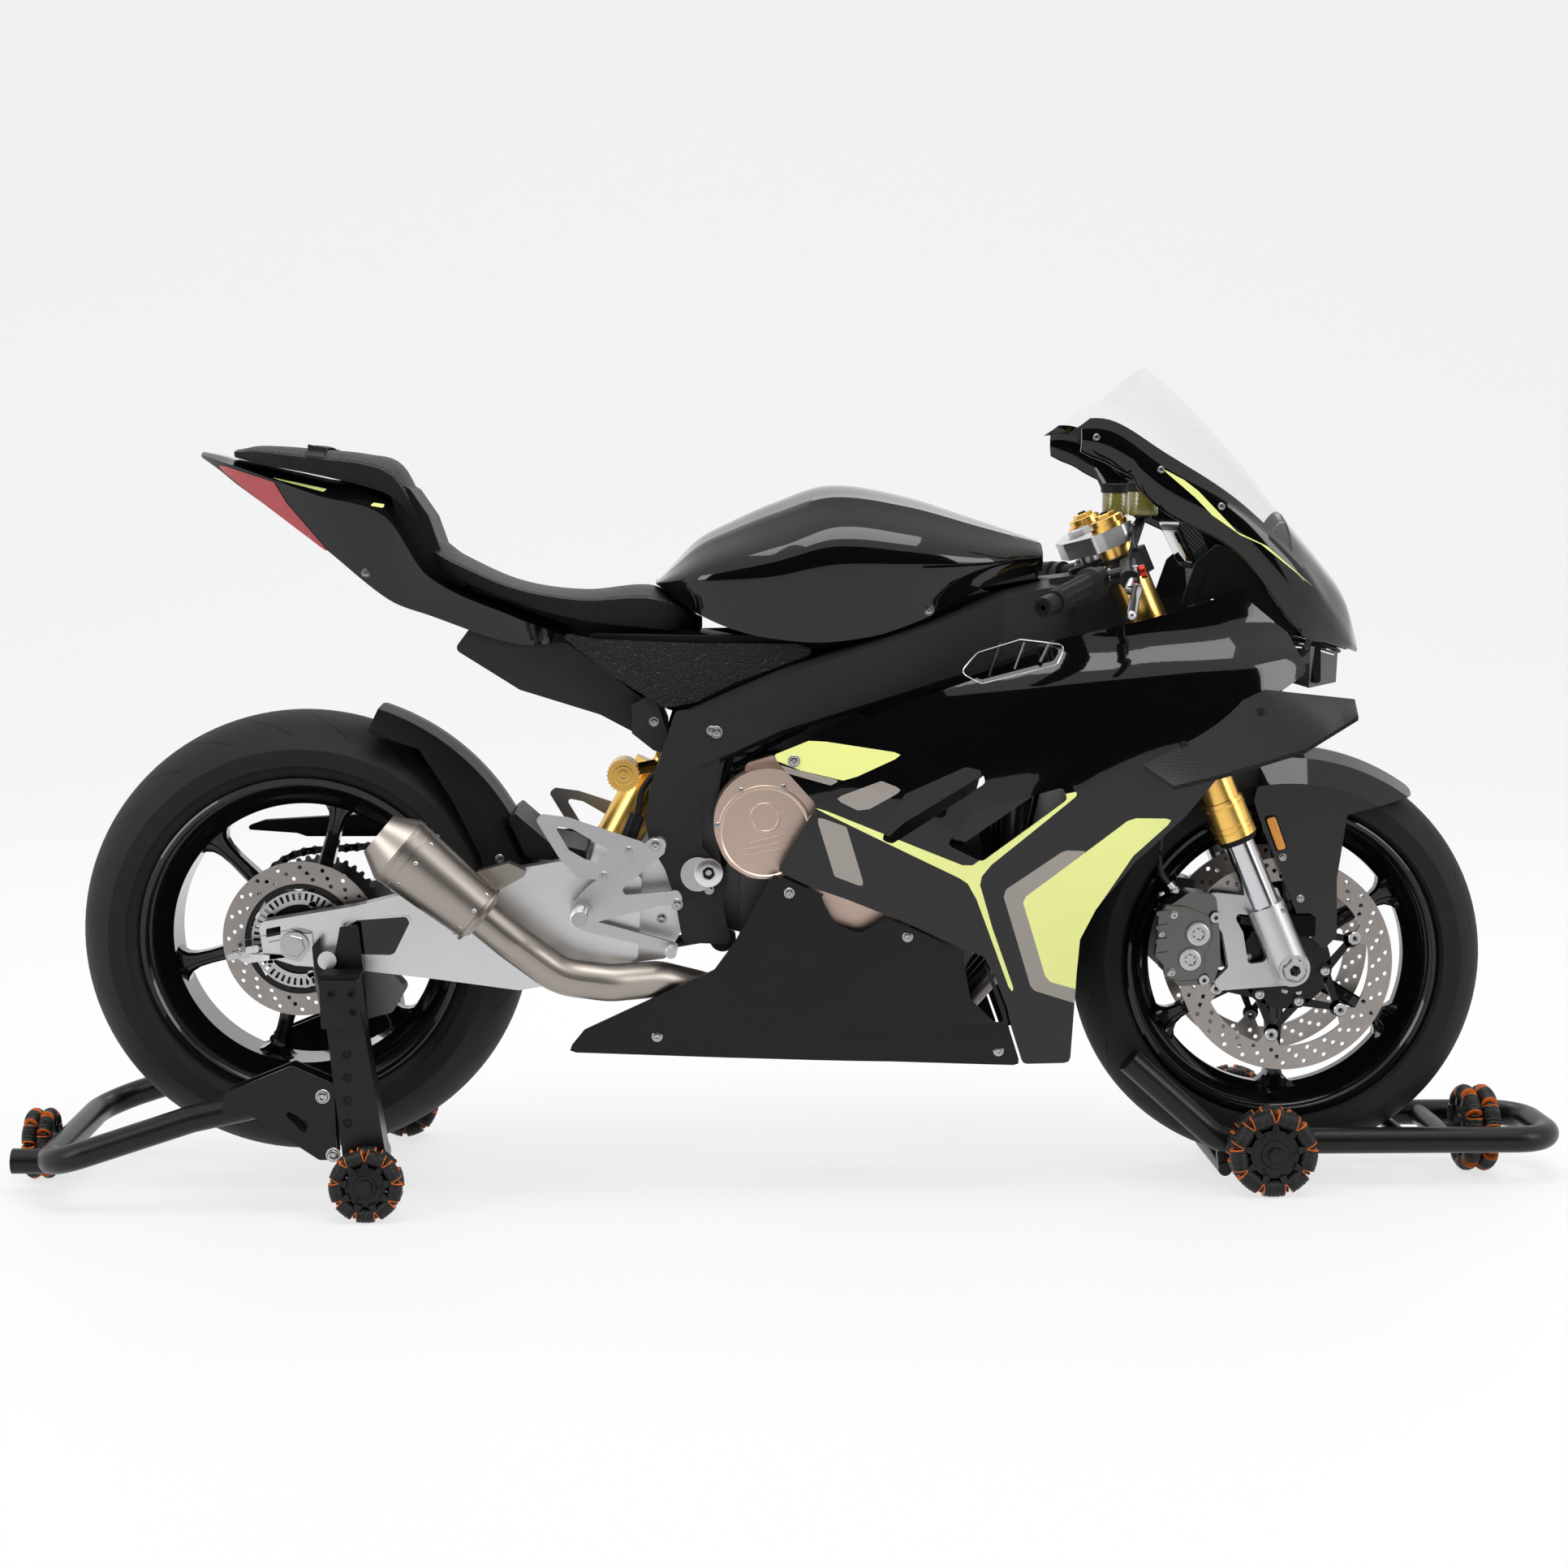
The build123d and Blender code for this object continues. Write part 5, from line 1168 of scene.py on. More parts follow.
def makeRim(name, node, axle, turn, hub, width):
    half = width / 2
    seat, flange, barrel = 216, 228, 194
    outer = [(flange - 3, half), (flange, half - 1.5), (flange, half - 5.5), (flange - 2, half - 7),
        (seat, half - 11), (seat - 5, half - 26), (barrel + 2, half - 40)]
    inner = [(barrel - 6, half - 44), (seat - 15, half - 30), (seat - 9, half - 14), (seat + 4, half - 4),
        (flange - 8, half - 0.8), (flange - 3, half)]
    profile = outer + [(r, -y) for r, y in outer[::-1]] + [(r, -y) for r, y in inner[::-1][1:]] + inner[:-1]
    shape = Shape()
    x, z = axles[axle]
    shape.hollow(profile, (x, 0, z), steps=120)
    shape.hollow([(12.4, -hub[1]), (hub[0] - 3, -hub[1]), (hub[0], -hub[1] + 4), (hub[0] - 6, -hub[1] * 0.4),
        (hub[0] - 6, hub[1] * 0.4), (hub[0], hub[1] - 4), (hub[0] - 3, hub[1]), (12.4, hub[1])], (x, 0, z),
        steps=40)
    stations = [(hub[0] - 10, 40, hub[2]), (hub[0] + 6, 33, hub[2] - 3), (70, 26, hub[2] - 8),
        (110, 21, hub[2] - 14), (145, 19, hub[2] - 18), (164, 21, hub[2] - 19), (176, 28, hub[2] - 18),
        (184, 41, hub[2] - 15), (190, 60, hub[2] - 11), (195, 84, hub[2] - 6)]
    for spoke in range(6):
        rings = []
        for radius, across, deep in stations:
            ring = []
            for a, b in ((-0.5, -0.36), (-0.34, -0.5), (-0.16, -0.5), (-0.12, -0.4), (0.12, -0.4),
                (0.16, -0.5), (0.34, -0.5), (0.5, -0.36), (0.5, 0.36), (0.34, 0.5), (0.16, 0.5), (0.12, 0.4),
                (-0.12, 0.4), (-0.16, 0.5), (-0.34, 0.5), (-0.5, 0.36)):
                swing = degrees(atan2(a * across, radius))
                reach = hypot(radius, a * across) if radius < 150 else radius
                ring.append(about(axle, reach, turn + spoke * 60 + swing, b * deep))
            rings.append(ring)
        shape.rings(rings)
    return shape.make(name, "wheelBlack", "wheel_black", body=axle + "_wheel", sharpAngle=32,
        replaces=(node,))


makeTyre("rearTyreBody", "rear_tyre", "rear", "rearTyreRubber")
makeTyre("frontTyreBody", "front_tyre", "front", "frontTyreRubber")
makeRim("rearRimCast", "rear_rim", "rear", 15, (44, 60, 52), 168)
makeRim("frontRimCast", "front_rim", "front", 0, (42, 52, 40), 105)

discs = {
    "front": {"radius": 155, "band": 34, "low": 70.7, "high": 75.3,
        "rows": ((146, 0), (136.5, 4), (127.5, 8)), "holes": 30},
    "rear": {
        "radius": 110, "band": 31, "low": 82.7, "high": 87.3, "rows": ((102, 0), (94, 6), (86, 12)),
        "holes": 20,
        "window": ((74, -17), (74, 17), (56, 13), (56, -13)),
        "slot": ((66, -1.9), (66, 1.9), (56, 1.7), (56, -1.7)),
    },
}


def makeDiscs():
    band, spider, bobbins, bolts = shapes(4)
    facts = discs["front"]
    x, z = axles["front"]
    inner = []
    inside = facts["radius"] - facts["band"]
    for i in range(144):  # the inner edge dips to a lug at each bobbin
        turn = 2.5 * i
        off = min(turn % 60, 60 - turn % 60)
        radius = inside if off > 6 else inside - 22 if off < 3.6 else inside - 22 * (6 - off) / 2.4
        inner.append((x + radius * sin(radians(turn + 10)), z + radius * cos(radians(turn + 10))))
    holes = []
    for radius, skew in facts["rows"]:
        for i in range(facts["holes"]):
            p = about("front", radius, 12 * i + skew)
            holes.append(circle((p[0], p[2]), 3.4, 8))
    bobbinEyes = [circle(about("front", 106, 60 * i + 10)[::2], 7, 12) for i in range(6)]
    drilled(band, [circle((x, z), facts["radius"], 144), inner] + holes + bobbinEyes, facts["low"],
        facts["high"])
    band.mirrored()
    ringOuter, ringInner = circle((x, z), 66, 60), circle((x, z), 46, 48)
    drilled(spider, [ringOuter, ringInner], facts["low"] - 0.4, facts["high"] - 1)
    for i in range(6):
        tip = about("front", 101, 60 * i + 10)
        for lean in (-30, 30):
            root = about("front", 59, 60 * i + 10 + lean)
            a, b = Vector((root[0], root[2])), Vector((tip[0], tip[2]))
            across = Vector((-(b - a).y, (b - a).x)).normalized()
            spider.slab([tuple(a - across * 6.5), tuple(b - across * 4.2), tuple(b + across * 4.2),
                tuple(a + across * 6.5)], facts["low"] - 0.4, facts["high"] - 1)
        spider.hollow([(4, -2.6), (11.5, -2.6), (11.5, 1.3), (4, 1.3)], (tip[0], 73, tip[2]), steps=20)
        eye = about("front", 106, 60 * i + 10)
        bobbins.hollow([(3.4, -3.6), (8.4, -3.6), (9.6, -2.6), (9.6, 3.2), (8.2, 4.4), (5, 4.4), (4.4, 2.2),
            (3.4, 2.2)], (eye[0], 73, eye[2]), steps=24)
        root = about("front", 58, 60 * i + 40)
        spider.hollow([(3, -4), (10.5, -4), (10.5, 2.4), (3, 2.4)], (root[0], 73, root[2]), steps=20)
        bolts.turned([(0.2, 2), (7.2, 2), (7.6, 4), (6.8, 6.2), (4, 6.6), (3.6, 4.4), (0.2, 4.4)],
            (root[0], 73, root[2]), steps=18)
    spider.hollow([(30.4, -20), (41, -20), (41, -8), (47, -2.6), (47, 1), (30.4, 1)], (x, 73, z), steps=40)
    for one in (spider, bobbins, bolts):
        one.mirrored()
    band.make("frontDiscBands", "discSteel", "disc_steel", body="front_wheel", sharpAngle=25,
        replaces=("front_discs",))
    spider.make("frontDiscCarriers", "spiderBlack", "disc_steel", body="front_wheel")
    bobbins.make("frontDiscBobbins", "steelBolt", "disc_steel", body="front_wheel")
    bolts.make("frontDiscBolts", "steelBolt", "disc_steel", body="front_wheel")

    band, carrier, ring = shapes(3)
    facts = discs["rear"]
    x, z = axles["rear"]
    holes = []
    for radius, skew in facts["rows"]:
        for i in range(facts["holes"]):
            p = about("rear", radius, 18 * i + skew)
            holes.append(circle((p[0], p[2]), 3.2, 8))
    drilled(band, [circle((x, z), facts["radius"], 120), circle((x, z), facts["radius"] - facts["band"], 90)]
        + holes, -facts["high"], -facts["low"])
    windows = [[about("rear", r, 60 * i + turn)[::2] for r, turn in facts["window"]] for i in range(6)]
    drilled(carrier, [circle((x, z), 80.5, 90), circle((x, z), 34, 40)] + windows, -86.2, -82)
    carrier.hollow([(30.4, -84), (40, -84), (40, -60.4), (30.4, -60.4)], (x, 0, z), steps=40)
    slots = [[about("rear", r, i * 360 / 44 + turn)[::2] for r, turn in facts["slot"]] for i in range(44)]
    drilled(ring, [circle((x, z), 69, 88), circle((x, z), 50, 60)] + slots, -91.4, -89.6)
    for i in range(5):
        p = about("rear", 52, 72 * i + 20)
        ring.turned([(0.2, -91.4), (5.6, -91.4), (5.6, -86.4), (0.2, -86.4)], (p[0], 0, p[2]), steps=16)
    band.make("rearDiscBand", "discSteel", "disc_steel", body="rear_wheel", sharpAngle=25,
        replaces=("rear_disc",))
    carrier.make("rearDiscCarrier", "spiderBlack", "disc_steel", body="rear_wheel", sharpAngle=25)
    ring.make("speedRing", "steelBolt", "disc_steel", body="rear_wheel", sharpAngle=25)


makeDiscs()


def makeChain():
    plates, rollers = shapes(2)
    rearR, frontR, y = 101.5, 43.0, 109
    a, b = Vector((0, 365)), Vector((652, 470))
    gap = b - a
    lean = atan2(gap.y, gap.x)
    tilt = asin((rearR - frontR) / gap.length)
    path = []
    turns = ((a, rearR, lean + pi / 2 - tilt, lean + 3 * pi / 2 + tilt),
        (b, frontR, lean - pi / 2 + tilt, lean + pi / 2 - tilt))
    steps = 60
    for centre, radius, first, last in turns:
        for i in range(steps + 1):
            t = first + (last - first) * i / steps
            path.append(centre + Vector((cos(t), sin(t))) * radius)
    path.append(path[0])
    length = sum((q - p).length for p, q in zip(path, path[1:]))
    links = round(length / 15.875 / 2) * 2
    pitch = length / links
    pins, travelled, want = [], 0.0, 0.0
    for p, q in zip(path, path[1:]):
        step = (q - p).length
        while want < travelled + step - 1e-6 and len(pins) < links:
            pins.append(p + (q - p) * ((want - travelled) / step))
            want += pitch
        travelled += step
    for i, p in enumerate(pins):
        q = pins[(i + 1) % len(pins)]
        middle, along = (p + q) / 2, (q - p).normalized()
        across = Vector((-along.y, along.x))
        outline = []
        for end, sign in ((q, 1), (p, -1)):
            for k in range(5):
                t = pi * (k / 4 - 0.5)
                outline.append(end + (along * cos(t) - across * sin(t)) * sign * 6.4)
        outline.insert(5, middle + across * 4.6)
        outline.append(middle - across * 4.6)
        line = [tuple(v) for v in outline]
        for side in (-1, 1):
            near = 3.6 if i % 2 else 5.4
            plates.slab(line, y + side * near, y + side * (near + 1.6))
        rollers.turned([(0.3, -7.0), (2.6, -7.0), (2.6, -3.4), (5, -3.4), (5, 3.4), (2.6, 3.4), (2.6, 7.0),
            (0.3, 7.0)], (p.x, y, p.y), steps=8)
    plates.make("chainPlates", "chainSteel", "dark_metal", sharpAngle=30, replaces=("drive_chain",))
    rollers.make("chainRollers", "steelBolt", "dark_metal", sharpAngle=30)


makeChain()
print("wheels, discs and chain ready")

omniWheels = {
    "stand_wheel_left": {"centre": (108, 251, 51), "axis": (0, 1, 0), "radius": 51, "width": 44},
    "stand_wheel_right": {"centre": (108, -251, 51), "axis": (0, -1, 0), "radius": 51, "width": 44},
    "stand_wheel_rear": {"centre": (-392, 0, 51), "axis": (-1, 0, 0), "radius": 51, "width": 44},
    "dolly_wheel_left": {"centre": (1381, 140.5, 63.5), "axis": (0, 1, 0), "radius": 63.5, "width": 55},
    "dolly_wheel_right": {"centre": (1381, -140.5, 63.5), "axis": (0, -1, 0), "radius": 63.5, "width": 55},
    "dolly_wheel_front": {"centre": (1713, 0, 63.5), "axis": (1, 0, 0), "radius": 63.5, "width": 55},
}
rollersInRow = 9


def makeOmniWheel(node, facts):
    shape = Shape()
    centre, axis = Vector(facts["centre"]), Vector(facts["axis"])
    side = Vector((0, 0, 1))
    other = axis.cross(side)
    radius, half = facts["radius"], facts["width"] / 2
    fat = radius * 0.215
    reach = radius - fat
    long = tau * reach / rollersInRow * 0.41

    def around(turn):  # outwards and along the rim
        return side * cos(turn) + other * sin(turn), other * cos(turn) - side * sin(turn)

    for row, place in enumerate((-half * 0.47, half * 0.47)):
        for i in range(rollersInRow):
            outward, along = around(tau * (i + 0.5 * row) / rollersInRow)
            profile = []
            for k in range(17):
                s = (k / 8 - 1) * long
                size = sqrt(radius**2 - s**2) - reach
                groove = 0.9 if k in (3, 6, 8, 10, 13) else 0.0
                profile.append((max(size - groove, 2.0), s))
            middle = centre + axis * place + outward * reach
            shape.turned(profile, middle, along, steps=14, mark=0)
            for end in (-1, 1):
                size = sqrt(radius**2 - (long * 1.04) ** 2) - reach
                shape.hollow([(size * 0.5, end * long * 1.02), (size + 0.2, end * long * 1.02),
                    (size + 0.2, end * long * 1.1), (size * 0.5, end * long * 1.1)], middle, along, steps=14,
                    mark=1)
    hub = radius - 2 * fat - 1.5
    shape.hollow([(8.4, -half + 3), (hub * 0.55, -half + 3), (hub * 0.6, -half + 6), (hub, -half + 7),
        (hub, half - 7), (hub * 0.6, half - 6), (hub * 0.55, half - 3), (8.4, half - 3)], centre, axis,
        steps=36, mark=2)
    for row, place in enumerate((-half * 0.47, half * 0.47)):
        for i in range(rollersInRow):
            outward, along = around(tau * (i + 0.5 * row + 0.5) / rollersInRow)
            rings = []
            for r, wide, deep in ((hub - 2, 5.5, half * 0.4), (reach, 2.4, half * 0.34),
                (radius - 5, 1.6, half * 0.2)):
                base = centre + axis * place + outward * r
                rings.append([base - along * wide - axis * deep, base + along * wide - axis * deep,
                    base + along * wide + axis * deep, base - along * wide + axis * deep])
            shape.rings(rings, 2)
    for i in range(3):
        outward = around(tau * i / 3 + 0.5)[0]
        base = centre + outward * hub * 0.78 + axis * (half - 7.2)
        shape.turned([(0.2, 0), (4.4, 0), (4.4, 1.6), (3.2, 2.2), (2.0, 2.2), (1.8, 0.8), (0.2, 0.8)], base,
            axis, steps=12, mark=2)
    return shape.make(node.replace("_", "") + "Rollers", ["rollerBlack", "orangeRing", "hubBlack"],
        "roller_black", body=node, sharpAngle=35, replaces=(node,))


for node, facts in omniWheels.items():
    makeOmniWheel(node, facts)
caps = Shape()
steerCaps = Shape()
for node, facts in omniWheels.items():
    shape = steerCaps if node.startswith("dolly") else caps
    shape.turned([(0.2, 0), (10, 0), (11.5, 1), (11.5, 5), (10.5, 7), (6, 7.6), (0.2, 7.6)],
        Vector(facts["centre"]) + Vector(facts["axis"]) * (facts["width"] / 2 - 3.8), facts["axis"], steps=6)
caps.make("standWheelNuts", "hubBlack", "stand_black", bevel=0.6)
steerCaps.make("dollyWheelNuts", "hubBlack", "stand_black", body="steering", bevel=0.6)
print("omni wheels ready")

rake = radians(23.3)
steerFoot = Vector((1409 - 28 * cos(rake), 0, 323 - 28 * sin(rake)))
steerForward = Vector((cos(rake), 0, sin(rake)))
steerUp = Vector((-sin(rake), 0, cos(rake)))


def onSteer(forward, y, height):  # a point in the fork's own leaning frame
    return steerFoot + steerForward * forward + steerUp * height + Vector((0, y, 0))


def starCap(shape, x, y, z, radius, side, mark=0):  # a cap with a six-lobed socket
    shape.hollow([(radius * 0.52, 0.4), (radius * 0.6, 1.6), (radius * 0.86, 1.6), (radius * 0.93, 0.9),
        (radius, 0.9), (radius, -3), (radius * 0.52, -3)], (x, y, z), (0, side, 0), steps=32, mark=mark)
    lobes = []
    for i in range(36):
        turn = tau * i / 36
        reach = radius * (0.46 + 0.1 * cos(6 * turn))
        lobes.append((x + reach * cos(turn), z + reach * sin(turn)))
    shape.slab(lobes, y - side * 3, y - side * 0.8, mark=mark)


caliper = {
    "plate": [(1216, 398), (1228, 415), (1254, 413), (1292, 398), (1297, 366), (1286, 342), (1284, 306),
        (1250, 303), (1228, 310), (1226, 326), (1212, 342), (1216, 366)],
    "caps": [(1275, 372, 16.5), (1264, 335, 15.5)],
    "bolts": [(1239, 400, 5.5), (1237, 317, 5.5), (1222, 372, 4)],
    "sleeves": [(1299, 396, 8), (1284, 306, 7.5)],
    "out": 108, "ribs": (338, 358, 378, 398), "rib": ((1214, 0), (1232, 3), (1232, 9), (1214, 7)),
    "hose": ((1243, 95, 433), (1222, 97, 462), (1222, 98, 520), (1226, 86, 590), (1222, 66, 650),
        (1232, 46, 682)),
}


def makeCalipers():
    plate, caps, hoses, fittings = shapes(4)
    for side in (-1, 1):
        y = side * caliper["out"]
        outline = rounded(caliper["plate"], 7, 3)
        middle = sum((Vector(p) for p in outline), Vector((0, 0))) / len(outline)
        rings = []
        for lift, size in ((-5, 1.0), (0.4, 1.0), (2.4, 0.965)):
            rings.append([(middle.x + (p[0] - middle.x) * size, y + side * lift,
                middle.y + (p[1] - middle.y) * size) for p in outline])
        plate.rings(rings)
        for low in caliper["ribs"]:
            rib = rounded([(x, low + up) for x, up in caliper["rib"]], 2, 2)
            plate.slab(rib, y + side * 2, y + side * 4.5)
        for x, z, radius in caliper["caps"]:
            starCap(caps, x, y + side * 3.4, z, radius, side)
            plate.hollow([(radius + 0.4, 1), (radius + 3.4, 1), (radius + 2.6, 3.6), (radius + 0.4, 3.6)],
                (x, y, z), (0, side, 0), steps=32)
        for x, z, radius in caliper["bolts"]:
            fastener(caps, x, y + side * 2.4, z, radius, (0, side, 0), 1.15)
        for x, z, radius in caliper["sleeves"]:
            caps.hollow([(3.2, 7), (radius - 1, 7), (radius, 6), (radius, 0), (radius + 1.5, 0),
                (radius + 1.5, -3), (3.2, -3)], (x, y, z), (0, side, 0), steps=24)
        fastener(fittings, 1224, side * 96, 428, 4.5, (-0.5, 0, 1), 1.1)
        fittings.hollow([(3, -2), (8, -2), (8, 3), (3, 3)], (1243, side * 95, 432), (0, 0, 1), steps=18)
        fastener(fittings, 1243, side * 95, 436, 5, (0, 0, 1), 1.1)
        path = spline([(x, side * y, z) for x, y, z in caliper["hose"]], 8)
        hoses.tube(path, 3.6, 10)
        for a, b in ((path[0], path[3]), (path[-4], path[-1])):
            fittings.tube([a, b], 5.4, 12)
    plate.make("caliperFaces", "caliperGrey", "caliper_grey", body="steering", bevel=0.5)
    caps.make("caliperCaps", "castAlloy", "bright_alloy", body="steering", sharpAngle=30)
    hoses.make("brakeHoses", "hoseBraid", "grip_rubber", body="steering")
    fittings.make("brakeUnions", "steelBolt", "bright_alloy", body="steering")


fork = {
    "legs": (-106, 106), "forward": 28, "rings": (214, 222, 252),
    "lugBolts": ((1346, 396), (1392, 408)), "fenderBolts": ((1399, 479), (1426, 419)),
    "reflectorAt": (1386, 512), "reflector": [(1373, 535), (1386, 538), (1403, 492), (1391, 489)],
    "reflectorFrame": [(1370.5, 537.5), (1387.5, 541), (1406, 491), (1390, 486.5)],
    "clampForward": 56, "clampAcross": (-128, -84, 84, 128), "clampUp": (405, 432, 661, 674),
}


def makeForkDetails():
    black, gold, steel, lens = shapes(4)
    hubX, hubZ = axles["front"]
    for y in fork["legs"]:
        side = 1 if y > 0 else -1
        foot = onSteer(fork["forward"], y, 0)
        black.hollow([(21.7, 197), (24.5, 197), (27.5, 200), (28.5, 206.2), (21.7, 206.2)], foot, steerUp,
            steps=40)
        for height in fork["rings"]:
            gold.hollow([(29.9, height), (30.7, height + 0.8), (30.7, height + 3), (29.9, height + 3.8)],
                foot, steerUp, steps=48)
        gold.turned([(0.2, 702), (14, 702), (15, 701), (15, 695), (0.2, 695)], foot, steerUp, steps=6)
        gold.hollow([(15, 696.5), (20, 696.5), (22, 695), (15, 695)], foot, steerUp, steps=40)
        black.turned([(0.2, 704.5), (5.5, 704.5), (6, 703.5), (6, 701), (0.2, 701)], foot, steerUp, steps=20)
        steel.hollow([(8.3, 3), (15.5, 3), (17, 1.5), (17, -6), (8.3, -6)], (hubX, y + side * 28.5, hubZ),
            (0, side, 0), steps=6)
        steel.hollow([(17.5, -1), (22, -1), (22, -5), (17.5, -5)], (hubX, y + side * 28.5, hubZ),
            (0, side, 0), steps=36)
        fastener(steel, 1398, y + side * 16, 292, 4.6, (-0.2, 0, -1), 1.1)
        fastener(steel, 1418, y + side * 16, 290, 4.6, (0.2, 0, -1), 1.1)
        for x, z in fork["lugBolts"]:
            bolted(steel, ["fork_lugs"], x, z, 3.6, side, 1.1)
        for x, z in fork["fenderBolts"]:
            bolted(steel, ["front_fender", "fork_lugs"], x, z, 4, side)
        found = landing(["front_fender"], *fork["reflectorAt"], side)
        if found:
            for line, radius, thick, mark in (("reflector", 4, 5, 0), ("reflectorFrame", 5, 3, 1)):
                lens.slab(rounded(fork[line], radius, 3), found - side, found + side * thick, mark=mark)
    for y in fork["clampAcross"]:
        for up in fork["clampUp"]:
            fastener(steel, *onSteer(fork["clampForward"], y, up), 3.6, tuple(steerForward), 1.15)
    steel.hollow([(6, 690), (15, 690), (16.5, 688.5), (16.5, 681), (19, 681), (19, 680.2), (6, 680.2)],
        steerFoot, steerUp, steps=6)
    black.make("forkSeals", "mattBlack", "gloss_black", body="steering")
    gold.make("forkRings", "gold", "gold_anodised", body="steering")
    steel.make("forkFittings", "steelBolt", "bright_alloy", body="steering", sharpAngle=25)
    lens.make("forkReflectors", ["amber", "mattBlack"], "gold_anodised", body="steering", bevel=0.6)


makeCalipers()
makeForkDetails()
print("front brakes and fork details ready")

rearEnd = {
    "badge": [(67, 389), (84, 402), (158, 407), (163, 398), (140, 352), (133, 349), (93, 350), (86, 355)],
    "badgeAt": (110, 378),
    "adjuster": [(-88, 360), (-74, 372), (4, 389), (24, 384), (26, 360), (16, 352), (-68, 340), (-80, 347)],
    "adjusterAt": (-58, 362),
    "adjusterSlots": ([(-68, 353), (-68, 363), (-50, 366), (-50, 356)],
        [(-38, 361), (-38, 369), (-16, 373), (-16, 365)]),
    "caliperBolts": ((7, 322, 4.2), (30, 262, 4.6), (44, 252, 4)),
    "pad": [(30, 341), (40, 339), (57, 339), (66, 343), (68, 352), (58, 354), (56.5, 349), (40, 349),
        (38, 356), (30, 352)],
    "standBolts": ((46, 167, 7.5), (59, 85, 7.5)), "liftBolts": ((60, 312), (88, 312), (90, 286)),
    "liftPlate": [(46, 330), (44, 337), (100, 337), (98, 330)], "slotsAt": (80, 200),
    "slots": (130, 162, 194, 226),
    "shockCap": (458, -128, 601), "knurl": (22.4, 26), "pivot": (577, 468), "peg": (401, 198, 417),
    "toe": (525, 176, 362),
}
rearLines = {  # the brake's rod, cylinder and hoses: each a route, its thickness and its number of sides
    "rod": ([(418, -160, 404), (452, -158, 476)], 3, 10),
    "cylinder": ([(448, -148, 470), (478, -146, 548)], 11, 18),
    "supply": ([(478, -146, 548), (486, -140, 585), (520, -118, 620), (545, -100, 640)], 4.5, 10),
    "hose": ([(440, -148, 480), (392, -130, 452), (300, -128, 446), (180, -120, 430), (96, -112, 372),
        (70, -104, 330)], 3.2, 8),
}


